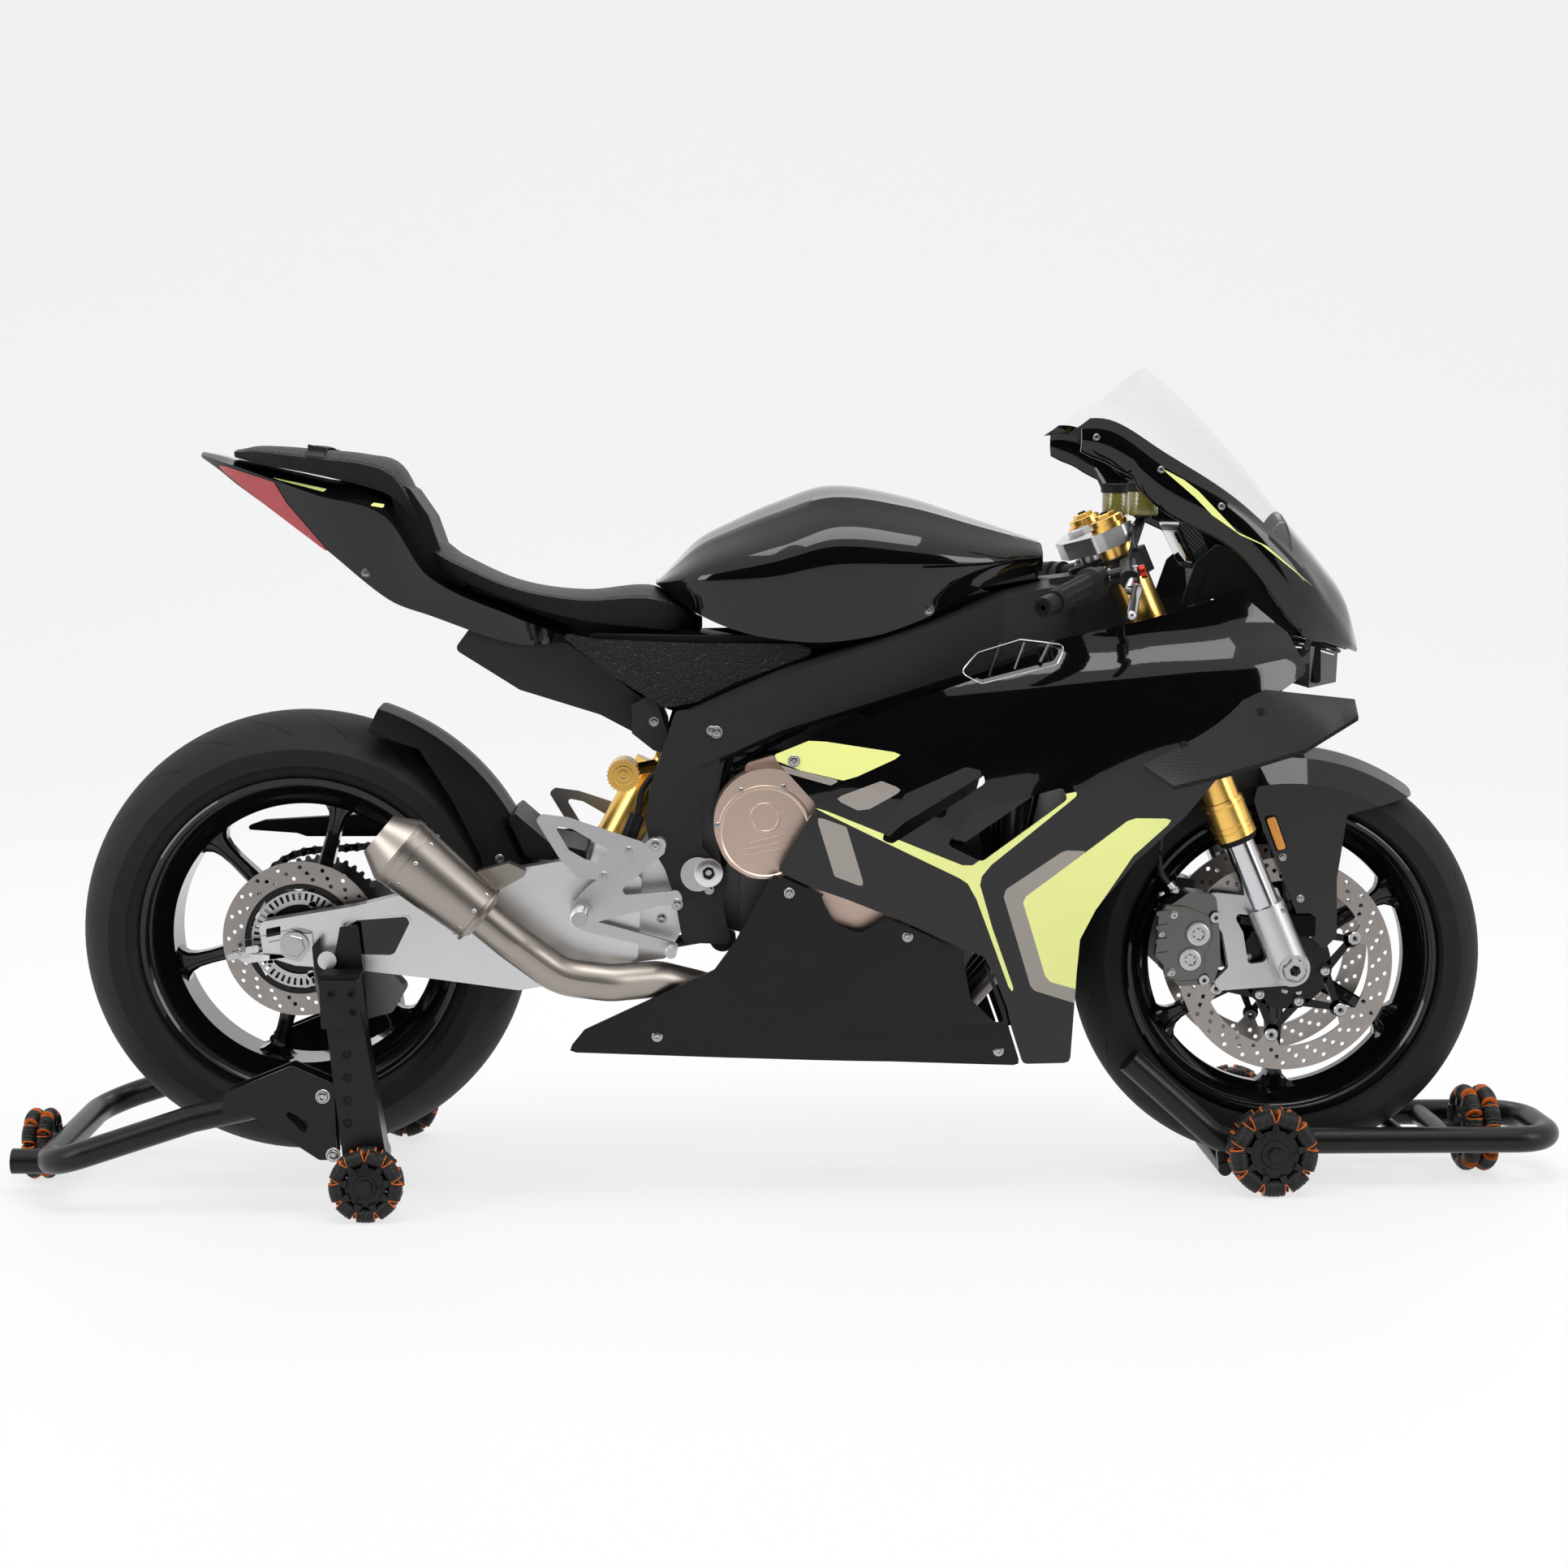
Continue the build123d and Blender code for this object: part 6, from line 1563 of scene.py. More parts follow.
def makeRearDetails():
    plate, alloy, steel, dark, gold = shapes(5)
    badge = rounded(rearEnd["badge"], 5, 3)
    middle = sum((Vector(p) for p in badge), Vector((0, 0))) / len(badge)
    for side in (-1, 1):
        y = landing(["swingarm"], *rearEnd["badgeAt"], side) or side * 142
        for size, low, high, mark in ((1.0, -2, 1.2, 1), (0.93, 0, 1.7, 0)):
            line = [tuple(middle + (Vector(p) - middle) * size) for p in badge]
            plate.slab(line, y + side * low, y + side * high, mark=mark)
        y = landing(["swingarm"], *rearEnd["adjusterAt"], side) or side * 142
        slots = [rounded(line, 3, 3) for line in rearEnd["adjusterSlots"]] + [circle(axles["rear"], 15.5, 28)]
        drilled(alloy, [rounded(rearEnd["adjuster"], 6, 3)] + slots, y, y + side * 5)
        steel.hollow([(12.4, 7), (15, 7), (17, 5), (17, 0), (24, 0), (24, -2), (12.4, -2)],
            (0, y + side * 4, 365), (0, side, 0), steps=6)
        fastener(steel, -78, y + side * 3, 356, 4, (0, side, 0), 1.2)
        steel.turned([(0.2, 30), (4, 30), (5, 28), (5, 0), (0.2, 0)], (-64, y + side * 2, 352),
            (-1, 0, -0.15), steps=6)
        for x, z, radius in rearEnd["caliperBolts"]:
            bolted(steel, ["rear_caliper"], x, z, radius, side, 1.2)
        # the stand's lifting prongs: clamp screws, rubber pad and adjusting slot
        lift = side * 162
        fastener(steel, 78, lift, 300, 6, (0, side, 0), 1.3)
        fastener(steel, 84, lift, 256, 6, (0, side, 0), 1.3)
        dark.slab(rounded(rearEnd["pad"], 1.5, 2), side * 150, side * 161.8)
        for x, z, radius in rearEnd["standBolts"]:
            bolted(steel, ["rear_stand_frame"], x, z, radius, side, 1.35)
        for x, z in rearEnd["liftBolts"]:
            bolted(dark, ["rear_stand_frame"], x, z, 5, side, 1.2)
        found = landing(["rear_stand_frame"], *rearEnd["slotsAt"], side)
        if found:
            dark.slab(rounded(rearEnd["liftPlate"], 2, 2), side * 176, side * 224)
            for z in rearEnd["slots"]:
                dark.hollow([(2.5, 1.2), (6, 1.2), (6.6, -1), (2.5, -1)], (rearEnd["slotsAt"][0], found, z),
                    (0, side, 0), steps=20)
    # the shock's gold reservoir cap and its knurled edge
    cap = rearEnd["shockCap"]
    for radius, along in ((18.5, 1.4), (13, 2.6), (7, 3.8)):
        gold.hollow([(radius - 3, along - 3), (radius, along - 3), (radius, along), (radius - 3, along)],
            cap, (0, -1, 0), steps=36)
    gold.turned([(0.2, -2), (16, -2), (16, 0.2), (4, 0.6), (0.2, 0.6)], cap, (0, -1, 0), steps=36)
    reach, count = rearEnd["knurl"]
    for k in range(count):
        turn = tau * k / count
        spot = Vector((cap[0] + reach * cos(turn), cap[1] + 9, cap[2] + reach * sin(turn)))
        gold.tube([spot, spot + Vector((0, -8, 0))], 1.2, 6)
    # pivot rings, pegs and pedal
    x, z = rearEnd["pivot"]
    for side in (-1, 1):
        found = landing(["rear_axle_and_pivot", "frame_beams"], x, z, side)
        if found:
            alloy.hollow([(9, 3), (15, 3), (20, 1), (21, -2), (9, -2)], (x, found, z), (0, side, 0), steps=36)
            dark.hollow([(5, 4.5), (8.6, 4.5), (8.6, -2), (5, -2)], (x, found, z), (0, side, 0), steps=6)
        pegX, pegY, pegZ = rearEnd["peg"]
        for k in range(15):
            spot = Vector((pegX, side * pegY, pegZ)) + Vector((0, side * (6 + k * 4.6), 0.1 + 0.17 * k))
            alloy.hollow([(10.9, -1.5), (12.4, -0.6), (12.4, 0.9), (10.9, 1.8)], spot, (0, side, 0), steps=10)
        fastener(steel, pegX, side * (pegY - 2), pegZ, 5, (0, side, 0), 1.6)
        toeX, toeY, toeZ = rearEnd["toe"]
        for k in range(7):
            spot = Vector((toeX, side * toeY, toeZ)) + Vector((0, side * k * 4, 0))
            alloy.hollow([(6.9, -1.1), (8.2, -0.4), (8.2, 0.8), (6.9, 1.4)], spot, (0, side, 0), steps=12)
    for name, (route, thick, sides) in rearLines.items():
        path = route if len(route) == 2 else spline(route, 6 if name == "supply" else 8)
        (steel if name == "rod" else dark).tube(path, thick, sides)
    plate.make("swingarmBadgePlates", ["glossBlack", "brushedAlloy"], "bright_alloy", bevel=0.4)
    alloy.make("rearAlloyDetails", "brushedAlloy", "bright_alloy", bevel=0.5, sharpAngle=30)
    steel.make("rearSteelDetails", "steelBolt", "bright_alloy", sharpAngle=25)
    dark.make("rearDarkDetails", "mattBlack", "satin_black", bevel=0.4, sharpAngle=30)
    gold.make("shockCapRings", "gold", "gold_anodised", sharpAngle=25)


can = {  # its two ends, its bands as shares of its length with their widths, and its rows of rivets
    "front": (267, -205, 412), "rear": (152, -207, 508), "bands": ((0.04, 5), (0.86, 3), (0.95, 3)),
    "rivetRows": (0.12, 0.80), "rivets": 8,
}


def makeMufflerDetails():
    front, rear = Vector(can["front"]), Vector(can["rear"])
    axis = (rear - front).normalized()
    long = (rear - front).length
    bands, rivets = shapes(2)
    tree = skin("muffler")
    across = axis.orthogonal().normalized()

    def bodyRadius(along):
        middle = front + axis * along
        hits = []
        for k in range(12):
            direction = Matrix.Rotation(tau * k / 12, 3, axis) @ across
            origin = middle + direction * 200
            hit = tree.ray_cast(at(*origin), -direction)
            if hit[0]:
                hits.append((hit[0] - at(*middle)).length * 1000)
        return sum(hits) / len(hits) if hits else 0

    for along, wide in can["bands"]:
        radius = bodyRadius(along * long)
        if radius:
            bands.hollow([(radius - 2, 0), (radius + 1.2, 0.6), (radius + 1.2, wide - 0.6),
                (radius - 2, wide)], front + axis * along * long, axis, steps=60)
    for along in can["rivetRows"]:
        middle = front + axis * along * long
        for k in range(can["rivets"]):
            direction = Matrix.Rotation(tau * k / can["rivets"] + 0.3, 3, axis) @ across
            hit = tree.ray_cast(at(*(middle + direction * 200)), -direction)
            if hit[0]:
                spot = middle + direction * ((hit[0] - at(*middle)).length * 1000)
                rivets.turned([(0.2, 1.6), (1.6, 1.4), (2.8, 0.6), (3, -0.5), (0.2, -0.5)], spot, direction,
                    steps=12)
    bands.make("mufflerSeams", "titanium", "titanium", sharpAngle=40)
    rivets.make("mufflerRivets", "steelBolt", "titanium")


innards = {  # each trim outline comes with its corner radius and the two distances across that it fills
    "trim": (
        ([(214, 872), (330, 838), (470, 812), (560, 800), (640, 786), (660, 700), (600, 668), (520, 690),
            (420, 738), (330, 776), (240, 840)], 12, -72, 72),
        ([(400, 800), (560, 797), (700, 800), (720, 770), (640, 660), (520, 700)], 8, -112, -98),
        ([(400, 800), (560, 797), (700, 800), (720, 770), (640, 660), (520, 700)], 8, 98, 112),
        ([(128, 1018), (160, 1000), (186, 962), (206, 905), (244, 866), (204, 846), (176, 880), (140, 960)],
            9, -78, 78),
        ([(700, 790), (980, 860), (1000, 800), (860, 700), (700, 660)], 14, -76, 76),
    ),
    "engine": [(552, 660), (560, 560), (560, 470), (584, 384), (640, 372), (700, 430), (800, 600),
        (800, 680), (720, 720), (600, 700)],
    "fins": range(600, 684, 12), "fin": ((600, 0), (680, 8), (680, 12), (600, 4)),
    "mainHose": ((600, 100, 470), (594, 112, 540), (606, 110, 620), (640, 104, 680)),
    "sideHose": ((612, 108, 610), (660, 114, 640), (716, 110, 668)),
}


def makeInnards():
    # what fills the bays behind the frame and under the seat
    trim, engine, fins = shapes(3)
    for outline, radius, low, high in innards["trim"]:
        trim.slab(rounded(outline, radius, 3), low, high)
    engine.slab(rounded(innards["engine"], 12, 3), -104, 104)
    for z in innards["fins"]:
        fins.slab(rounded([(x, z + up) for x, up in innards["fin"]], 1.5, 1), -108, 108)
    for side in (-1, 1):
        for k in range(3):
            engine.hollow([(10, -4), (16, -4), (16, 8), (10, 8)], (622 + 34 * k, side * 104, 690 + 6 * k),
                (0, side, 0), steps=20)
        for hose, thick in (("mainHose", 5), ("sideHose", 3.4)):
            fins.tube(spline([(x, side * y, z) for x, y, z in innards[hose]], 6), thick, 10)
    trim.make("undertray", "mattBlack", "satin_black", bevel=2)
    engine.make("engineInner", "darkAlloy", "dark_metal", bevel=2)
    fins.make("engineHoses", "mattBlack", "dark_metal", bevel=0.4)


makeRearDetails()
makeMufflerDetails()
makeInnards()
print("rear details ready")

barEnd = Vector((1028, 330, 849))
barRoot = onSteer(28, 106, 622)
grip = {  # its span as shares of the bar, its ribs and its radius; the switch housing; the lever's route
    "from": 0.535, "to": 0.975, "ribs": 15, "radius": 15.9, "rise": 1.3,
    "housing": ((0.405, 0.86), (0.412, 1.0), (0.455, 1.04), (0.49, 1.0), (0.497, 0.9)), "housingRadius": 19.5,
    "leverRoot": ((44, 14, 6), (44, 34, 2), (37, 62, -11)),
    "lever": ((1154, 262, 870), (1143, 300, 849), (1136, 326, 834)),
    "brakeKnob": (1166, 234, 890), "leverPivot": (1158, 222, 893),
}


def onBar(share):
    return barRoot.lerp(barEnd, share)


def makeGrips():
    rubber, black, alloy, red = shapes(4)
    axis = (barEnd - barRoot).normalized()
    side = axis.orthogonal().normalized()
    over = axis.cross(side)
    long = (barEnd - barRoot).length
    start, end = grip["from"] * long, grip["to"] * long
    stations = []
    step = (end - start) / grip["ribs"]
    for k in range(grip["ribs"]):
        low = start + (end - start) * k / grip["ribs"]
        stations += [(low, 0), (low + step * 0.08, 1), (low + step * 0.72, 1), (low + step * 0.8, 0)]
    stations.append((end, 0))
    rings = []
    for along, raised in stations:
        ring = []
        for i in range(60):
            turn = tau * i / 60
            block = (i // 3) % 2 if start + 12 < along < end - 12 else 1
            radius = grip["radius"] + (grip["rise"] if raised and block else 0.0)
            ring.append(barRoot + axis * along + (side * cos(turn) + over * sin(turn)) * radius)
        rings.append(ring)
    rubber.rings(rings)
    rubber.hollow([(11.4, 0.500 * long), (22, 0.500 * long), (23, 0.505 * long), (23, 0.518 * long),
        (19, 0.53 * long), (16, 0.54 * long), (11.4, 0.54 * long)], barRoot, axis, steps=48)
    black.hollow([(4.2, 1.10 * long), (11, 1.10 * long), (14, 1.09 * long), (14, 1.0 * long),
        (12.5, 0.99 * long), (12.5, 0.985 * long), (4.2, 0.985 * long)], barRoot, axis, steps=40)
    rings = []  # the switch housing, a rounded box round the bar
    for along, size in grip["housing"]:
        ring = []
        for i in range(40):
            turn = tau * i / 40
            reach = grip["housingRadius"] * size * (1 + 0.14 * cos(2 * turn) ** 2)
            ring.append(barRoot + axis * along * long + (side * cos(turn) + over * sin(turn)) * reach)
        rings.append(ring)
    black.rings(rings)
    for k in range(3):
        spot = onBar(0.43 + 0.025 * k) + Vector((-19, 0, 8))
        (red if k == 1 else alloy).turned([(0.2, 3.2), (3.4, 3.2), (4, 2), (4, -3), (0.2, -3)], spot,
            (-1, 0, 0.4), steps=16)
    fastener(alloy, *(barRoot + Vector((-34, 22, -4))), 4, (-0.6, 0.6, 0), 1.15)
    fastener(alloy, *(onBar(0.41) + Vector((17, 2, 4))), 3.6, (1, 0.4, 0.2), 1.15)
    for k in range(2):  # the perch's clamp bolts
        fastener(alloy, *(onBar(0.37 + 0.07 * k) + Vector((14, 0, 12))), 3.4, (0.7, 0, 0.7), 1.15)
    blade = [onBar(0.41) + Vector(p) for p in grip["leverRoot"]] + [Vector(p) for p in grip["lever"]]
    alloy.tube(spline(blade, 6), 7.2, 14, flat=0.72)
    tip = grip["lever"][-1]
    alloy.turned([(0.2, -7), (3, -6.4), (5.6, -4.2), (6.9, -1), (6.9, 1.4), (5.6, 4.4), (3, 6.4), (0.2, 7)],
        tip, (-0.4, 0.8, -0.4), steps=24)
    red.hollow([(2, -4), (8.5, -4), (9.5, -3), (9.5, 3), (8.5, 4), (2, 4)], grip["brakeKnob"], (1, 0.2, 0.3),
        steps=20)
    alloy.turned([(0.2, -4), (5, -4), (6, -2), (6, 4), (5, 5), (0.2, 5)], grip["leverPivot"], (0, 0, 1),
        steps=20)
    for shape in (rubber, black, alloy, red):
        shape.mirrored()
    rubber.make("gripSleeves", "gripRubber", "grip_rubber", body="steering", sharpAngle=25,
        replaces=("grips",))
    black.make("barHousings", "mattBlack", "gloss_black", body="steering", bevel=0.7, sharpAngle=30)
    alloy.make("barFittings", "steelBolt", "cast_alloy", body="steering", sharpAngle=30)
    red.make("barSwitches", "redAnodised", "cast_alloy", body="steering", sharpAngle=30)


reservoir = {
    "foot": (1184, 117, 962), "ribs": 72, "rise": 0.7,
    "lid": ((36.5, 22.4, 0), (37.5, 23, 0), (38.5, 22.3, 1), (48, 22.3, 1), (49, 22, 0), (50, 20.5, 0),
        (50, 12, 0), (49.4, 11, 0)),
    "hose": ((1180, 0, 964), (1172, 12, 950), (1166, 40, 930), (1164, 66, 918)),
}


def makeReservoirs():
    pot, lid, steel = shapes(3)
    for side in (-1, 1):
        y = side * reservoir["foot"][1]
        foot = (reservoir["foot"][0], y, reservoir["foot"][2])
        pot.turned([(0.3, 3), (18, 3), (20.5, 5), (21, 8), (21, 36), (20, 38), (0.3, 38)], foot, (0, 0, 1),
            steps=48)
        rings = []
        for height, radius, ribbed in reservoir["lid"]:
            ring = []
            for i in range(reservoir["ribs"]):
                turn, reach = tau * i / reservoir["ribs"], radius + ribbed * reservoir["rise"] * (i % 2)
                ring.append(Vector(foot) + Vector((reach * cos(turn), reach * sin(turn), height)))
            rings.append(ring)
        lid.rings(rings)
        for k in range(3):
            turn = tau * k / 3 + 0.4
            fastener(steel, foot[0] + 15 * cos(turn), foot[1] + 15 * sin(turn), foot[2] + 48.2, 2.2,
                (0, 0, 1), 1.1)
        lid.tube(spline([(x, y + side * out, z) for x, out, z in reservoir["hose"]], 6), 4, 12)
        steel.turned([(0.2, 3), (5, 3), (5, -3), (0.2, -3)], (foot[0], y - side * 4, foot[2] - 1),
            (0, 0, -1), steps=6)
    pot.make("reservoirPots", "smokedPot", "smoked_pot", body="steering", replaces=("brake_reservoirs",))
    lid.make("reservoirLids", "mattBlack", "gloss_black", body="steering", sharpAngle=25)
    steel.make("reservoirScrews", "steelBolt", "bright_alloy", body="steering")


dash = {"low": (1274, 0, 889), "high": (1240, 0, 957), "half": 72, "tall": 74, "buttons": 3}


def makeDash():  # its face looks back at the rider
    glass, frame = shapes(2)
    low = Vector(dash["low"])
    up = (Vector(dash["high"]) - low).normalized()
    back = Vector((-up.z, 0, up.x))
    half, tall = dash["half"], dash["tall"]
    for lift, inset, shape in ((2.5, 4, frame), (3.2, 11, glass)):
        wide = half - inset
        line = rounded([(-wide, inset), (wide, inset), (wide, tall - inset), (-wide, tall - inset)], 9, 3)
        rings = []
        for depth, size in ((-1.0, 1.0), (lift - 0.6, 1.0), (lift, 0.985)):
            rings.append([low + up * (tall / 2 + (p[1] - tall / 2) * size) + Vector((0, p[0] * size, 0))
                + back * depth for p in line])
        shape.rings(rings)
    for k in range(dash["buttons"]):
        frame.turned([(0.2, 4), (3.6, 4), (4.4, 3), (4.4, 0), (0.2, 0)],
            low + up * 6 + Vector((0, -24 + 24 * k, 0)), back, steps=20)
    glass.make("dashGlass", "glassBlack", "lamp_black", bevel=0.4)
    frame.make("dashBezel", "mattBlack", "gloss_black", bevel=0.6)


nose = {
    "stripe": [(1198, 1031), (1231, 1014), (1251, 999), (1307, 943), (1350, 924), (1426, 864), (1342, 926),
        (1311, 939), (1271, 966), (1247, 990)],
    "screenBolts": ((1110, 1072), (1199, 1028), (1284, 978)), "bowl": (1462, 34, 752),
    "brow": ((1400, 92, 790), (1440, 84, 786), (1468, 64, 778), (1482, 40, 772)),
    "browLight": ((1404, 93, 782), (1440, 85, 777), (1466, 66, 770), (1477, 50, 766)),
    "window": [(1430, 800), (1446, 785), (1447, 731), (1439, 727), (1426, 783)],
    "liner": [(1238, 836), (1260, 900), (1290, 926), (1330, 908), (1400, 850), (1408, 792), (1309, 856)],
    "linerPocket": [(1262, 850), (1282, 896), (1300, 900), (1340, 872), (1330, 862)],
    "mesh": (1476, 1481, 732, 4.4, 1.4, 9), "meshHalf": 14,
}


def makeNose():
    black, lime, mirror, glass, steel = shapes(5)
    stripe = rounded(nose["stripe"], 2, 2)

    def flank(x, z):  # the cheek stands upright, so its height doesn't matter
        return station(canopy["rows"], x)[0] + (2.7 if x < 1400 else 2.4)

    for side in (-1, 1):
        panel(lime, stripe, flank, 0.9, side, step=10)
        for x, z in nose["screenBolts"]:
            bolted(steel, ["windscreenPane", "upperCowlShell"], x, z, 4, side, 1.25)
        # the lamp unit: a mirrored bowl behind clear glass in each cheek, with a brow over it
        x, y, z = nose["bowl"]
        bowl = Vector((x, side * y, z))
        mirror.turned([(1, -18), (8, -15), (14, -9), (17, 0), (18.5, 0), (18.5, -4), (15, -12), (8, -19),
            (1, -20)], bowl + Vector((8, 0, 0)), (1, 0, 0), steps=32)
        glass.turned([(0.3, 3), (9, 2), (16, 0), (18, -3), (0.3, -3)], bowl + Vector((14, 0, 0)), (1, 0, 0),
            steps=32)
        brow, browLight = ([(x, side * y, z) for x, y, z in nose[line]] for line in ("brow", "browLight"))
        black.tube(spline(brow, 6), 5.5, 10, flat=0.6)
        mirror.tube(spline(browLight, 6), 2.4, 8)
        black.slab(rounded(nose["window"], 3, 2), side * 84, side * 90)
    for side in (-1, 1):  # the inner panels between the dash and the fairing
        black.slab(rounded(nose["liner"], 8, 3), side * 112, side * 117)
        black.slab(rounded(nose["linerPocket"], 5, 3), side * 117, side * 119.5)
    rear, front, low, gap, thick, count = nose["mesh"]
    for k in range(count):  # the intake's mesh between the lamps
        z, top = low + gap * k, low + thick + gap * k
        black.slab([(rear, z), (front, z), (front, top), (rear, top)], -nose["meshHalf"], nose["meshHalf"])
    lime.make("cowlStripes", "lime", "lime_and_black")
    steel.make("screenBolts", "steelBolt", "bright_alloy")
    mirror.make("lampBowls", "lampMirror", "lamp_black")
    glass.make("lampLenses", "clearScreen", "lamp_black")
    black.make("noseTrim", "mattBlack", "lamp_black", bevel=0.5)


makeGrips()
makeReservoirs()
makeDash()
makeNose()
print("cockpit and nose ready")

fairingSkins = ["rightFairing", "leftFairing", "rightBellyPan", "leftBellyPan"]
frameSkins = ["frame_beams", "subframe", "rearset_plates", "engine_block", "engine_covers", "swingarm",
    "side_panels"]
bolts = {  # the surfaces they land on, then each one's x, z and radius
    "fairing": (fairingSkins, [(694, 629, 6.2), (688, 446, 5.4), (852, 385, 5.4), (986, 213, 5.4),
        (505, 237, 5.6)]),
    "frame": (frameSkins, [(499, 617, 6.5), (588, 664, 6.2), (503, 509, 6), (533, 426, 6), (578, 443, 5),
        (511, 397, 5.5), (466, 502, 4.5), (431, 467, 4.5), (584, 339, 5), (592, 595, 4.5), (581, 522, 4.5),
        (501, 676, 5), (581, 666, 5)]),
    "tank": (["fuelTankShell", "frame_beams"], [(884, 833, 5.6)]),
    "hugger": (["rear_hugger"], [(283, 481, 4.6)]),
    "tail": (["tailCowlShell"], [(99, 882, 4.6)]),
}
cover = {"centre": (655, 528), "studs": 7, "studRadius": 67, "proud": 120, "ribs": 3, "boss": (655, 548)}


def makeBolts():
    shape = Shape()
    for names, places in bolts.values():
        for side in (-1, 1):
            for x, z, radius in places:
                bolted(shape, names, x, z, radius, side)
    coverX, coverZ = cover["centre"]
    for side in (-1, 1):  # the studs through the generator and clutch covers' rims
        for i in range(cover["studs"]):
            turn = tau * i / cover["studs"] + 0.3
            x, z = coverX + cover["studRadius"] * cos(turn), coverZ + cover["studRadius"] * sin(turn)
            y = landing(["engine_covers"], x, z, side)
            if y is not None and abs(y) > cover["proud"]:
                fastener(shape, x, y, z, 4, (0, side, 0), 1.1)
    emboss = Shape()  # the covers' raised rims and the three ribs across them
    for side in (-1, 1):
        y = landing(["engine_covers"], coverX, coverZ, side)
        if y is None:
            continue
        emboss.hollow([(56, -2), (60, 0.4), (61.5, 1.6), (65, 1.6), (67, -2)], (coverX, y, coverZ),
            (0, side, 0), steps=72)
        for k in range(cover["ribs"]):
            z = 494 + 9 * k
            emboss.slab(rounded([(622 + 6 * k, z), (680 - 2 * k, z + 10), (680 - 2 * k, z + 13),
                (622 + 6 * k, z + 3)], 1, 1), y - side * 2, y + side * 1.6)
        emboss.hollow([(16, -2), (18, 1), (21, 1), (23, -2)], (cover["boss"][0], y, cover["boss"][1]),
            (0, side, 0), steps=48)
    emboss.make("coverEmboss", "bronze", "bronze_cover", bevel=0.5)
    shape.make("bodyBolts", "steelBolt", "disc_steel")


makeBolts()
print("fasteners ready")

studio = {
    "lens": 60.73, "place": (-0.1499, -3.8147, 0.9729), "yaw": 0.0348, "pitch": 0.1036, "roll": 0.0029,
    "world": 0.82, "pale": (0.93, 0.93, 0.935), "front": -9.0, "wall": 6.5, "sweep": 3.0, "half": 12.0,
    "top": 7.0, "flag": (9.0, 0.02, 6.0, -8.0),
}
lamps = {
    "topSoftbox": ((0.1, -1.0, 3.9), (0, 0, 0.4), 3.4, 1.7, 76),
    "frontSoftbox": ((4.0, -2.6, 2.2), (0.3, 0, 0.5), 1.5, 2.2, 50),
    "rearSoftbox": ((-4.0, -2.8, 2.2), (-0.3, 0, 0.5), 1.5, 2.2, 50),
    "farSoftbox": ((0.4, 2.6, 4.2), (0, 0, 0.6), 2.4, 1.0, 40),
}


def seenDirectly(f):  # 1 for the rays that show the background itself
    rays = f.node("LightPath")
    outputs = rays.socket.node.outputs
    shown = Wire(f, outputs["Is Camera Ray"])
    for other in ("Is Glossy Ray", "Is Transmission Ray"):
        shown = shown + Wire(f, outputs[other])
    return f.math("MINIMUM", shown, 1.0)


def backdrop():
    f = Finish("paleStudio")
    shown = seenDirectly(f)
    pale = studio["pale"]
    return f.set(colour=f.mix(shown, (0.72, 0.72, 0.725), (0.20, 0.20, 0.202)), roughness=0.6, specular=0.1,
        glow=f.mix(shown, grey(0), tuple(c * 0.77 for c in pale)), glowStrength=1.0)


def studioWorld():
    world = bpy.data.worlds.new("studio")
    bpy.context.scene.world = world
    f = Finish("studio", world)
    f.feed(f.shader.inputs["Color"], f.mix(seenDirectly(f), grey(studio["world"]), studio["pale"]))
    f.feed(f.shader.inputs["Strength"], 1.0)


def areaLight(name, place, target, size, sizeY, power):
    data = bpy.data.lights.new(name, "AREA")
    data.energy = power
    data.shape = "RECTANGLE"
    data.size = size
    data.size_y = sizeY
    lamp = bpy.data.objects.new(name, data)
    lamp.location = place
    lamp.rotation_mode = "QUATERNION"
    lamp.rotation_quaternion = (Vector(target) - Vector(place)).to_track_quat("-Z", "Y")
    bpy.context.collection.objects.link(lamp)


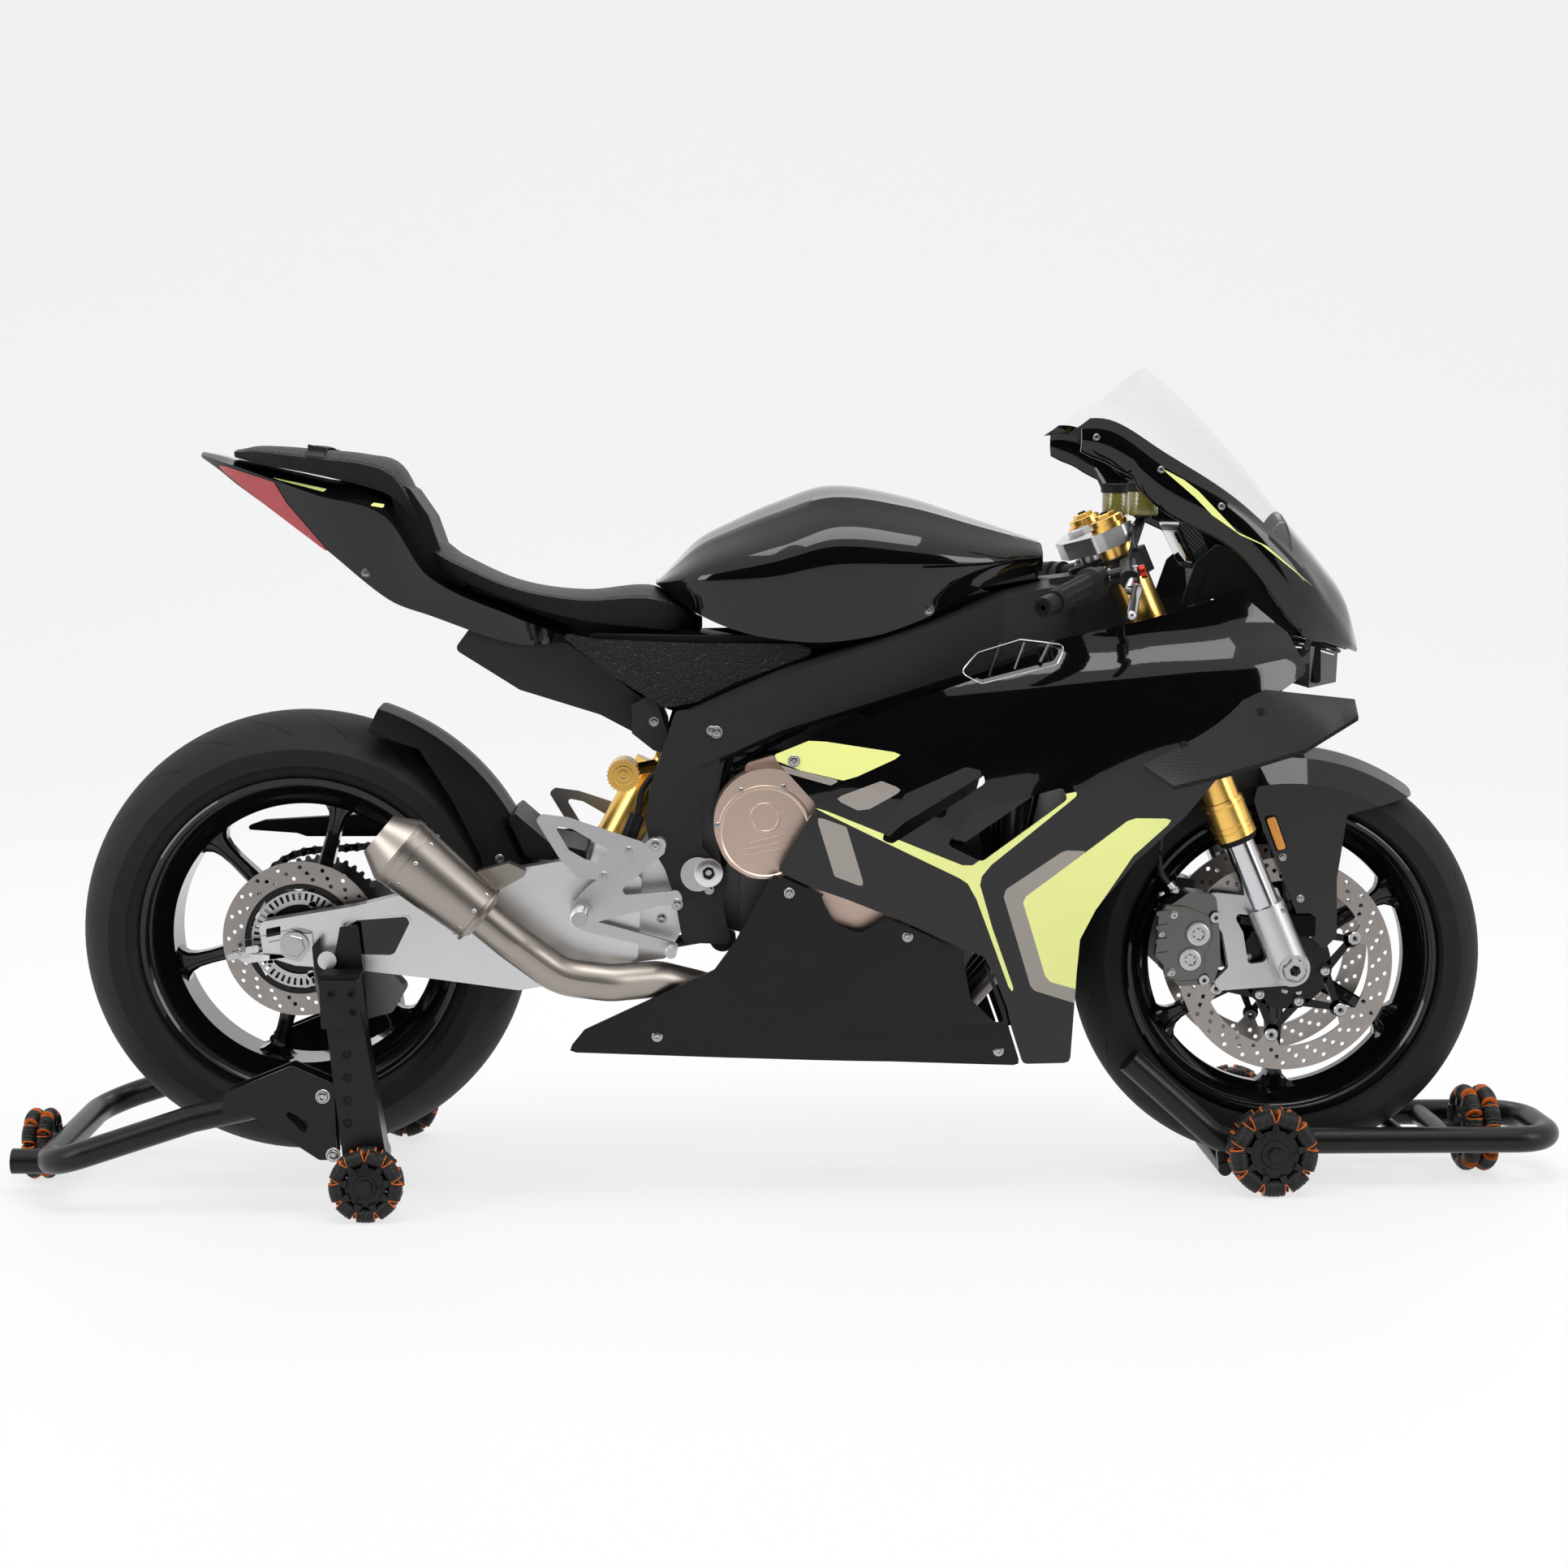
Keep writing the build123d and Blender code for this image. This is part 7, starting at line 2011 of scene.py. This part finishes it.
def makeFloor():  # the floor curves up into a wall well behind
    front, wall, sweep = studio["front"], studio["wall"], studio["sweep"]
    profile = [(front, 0.0)]
    for i in range(13):
        turn = pi / 2 * i / 12
        profile.append((wall - sweep + sweep * sin(turn), sweep - sweep * cos(turn)))
    profile.append((wall, studio["top"]))
    points = [(side * studio["half"], y, z) for y, z in profile for side in (-1, 1)]
    faces = [(2 * i, 2 * i + 1, 2 * i + 3, 2 * i + 2) for i in range(len(profile) - 1)]
    mesh = bpy.data.meshes.new("studioFloor")
    mesh.from_pydata(points, [], faces)
    mesh.shade_smooth()
    mesh.materials.append(backdrop())
    floor = bpy.data.objects.new("studioFloor", mesh)
    bpy.context.collection.objects.link(floor)


def makeFlag():  # a dark curtain behind the camera, which gloss paint reflects
    f = Finish("darkCurtain")
    weave = f.noise(40, 3)
    wide, low, high, y = studio["flag"]
    mesh = bpy.data.meshes.new("darkCurtain")
    mesh.from_pydata([(-wide, y, low), (wide, y, low), (wide, y, high), (-wide, y, high)], [], [(0, 1, 2, 3)])
    mesh.materials.append(f.set(colour=f.mix(weave, grey(0.004), grey(0.008)), roughness=0.95, specular=0.0))
    curtain = bpy.data.objects.new("darkCurtain", mesh)
    curtain.visible_camera = False
    bpy.context.collection.objects.link(curtain)


def makeCamera():
    data = bpy.data.cameras.new("camera")
    data.lens = studio["lens"]
    data.sensor_width = 36
    camera = bpy.data.objects.new("camera", data)
    bpy.context.collection.objects.link(camera)
    bpy.context.scene.camera = camera
    yaw, pitch, roll = studio["yaw"], studio["pitch"], studio["roll"]
    ahead = Vector((sin(yaw) * cos(pitch), cos(yaw) * cos(pitch), -sin(pitch)))
    right = Vector((cos(yaw), -sin(yaw), 0))
    above = right.cross(ahead)
    across = cos(roll) * right + sin(roll) * above
    upward = -sin(roll) * right + cos(roll) * above
    camera.location = studio["place"]
    camera.rotation_mode = "QUATERNION"
    camera.rotation_quaternion = Matrix([(across[i], upward[i], -ahead[i]) for i in range(3)]).to_quaternion()


makeFloor()
makeFlag()
studioWorld()
for lampName, facts in lamps.items():
    areaLight(lampName, *facts)
makeCamera()
bpy.context.scene.view_settings.view_transform = "Standard"
print("studio ready")
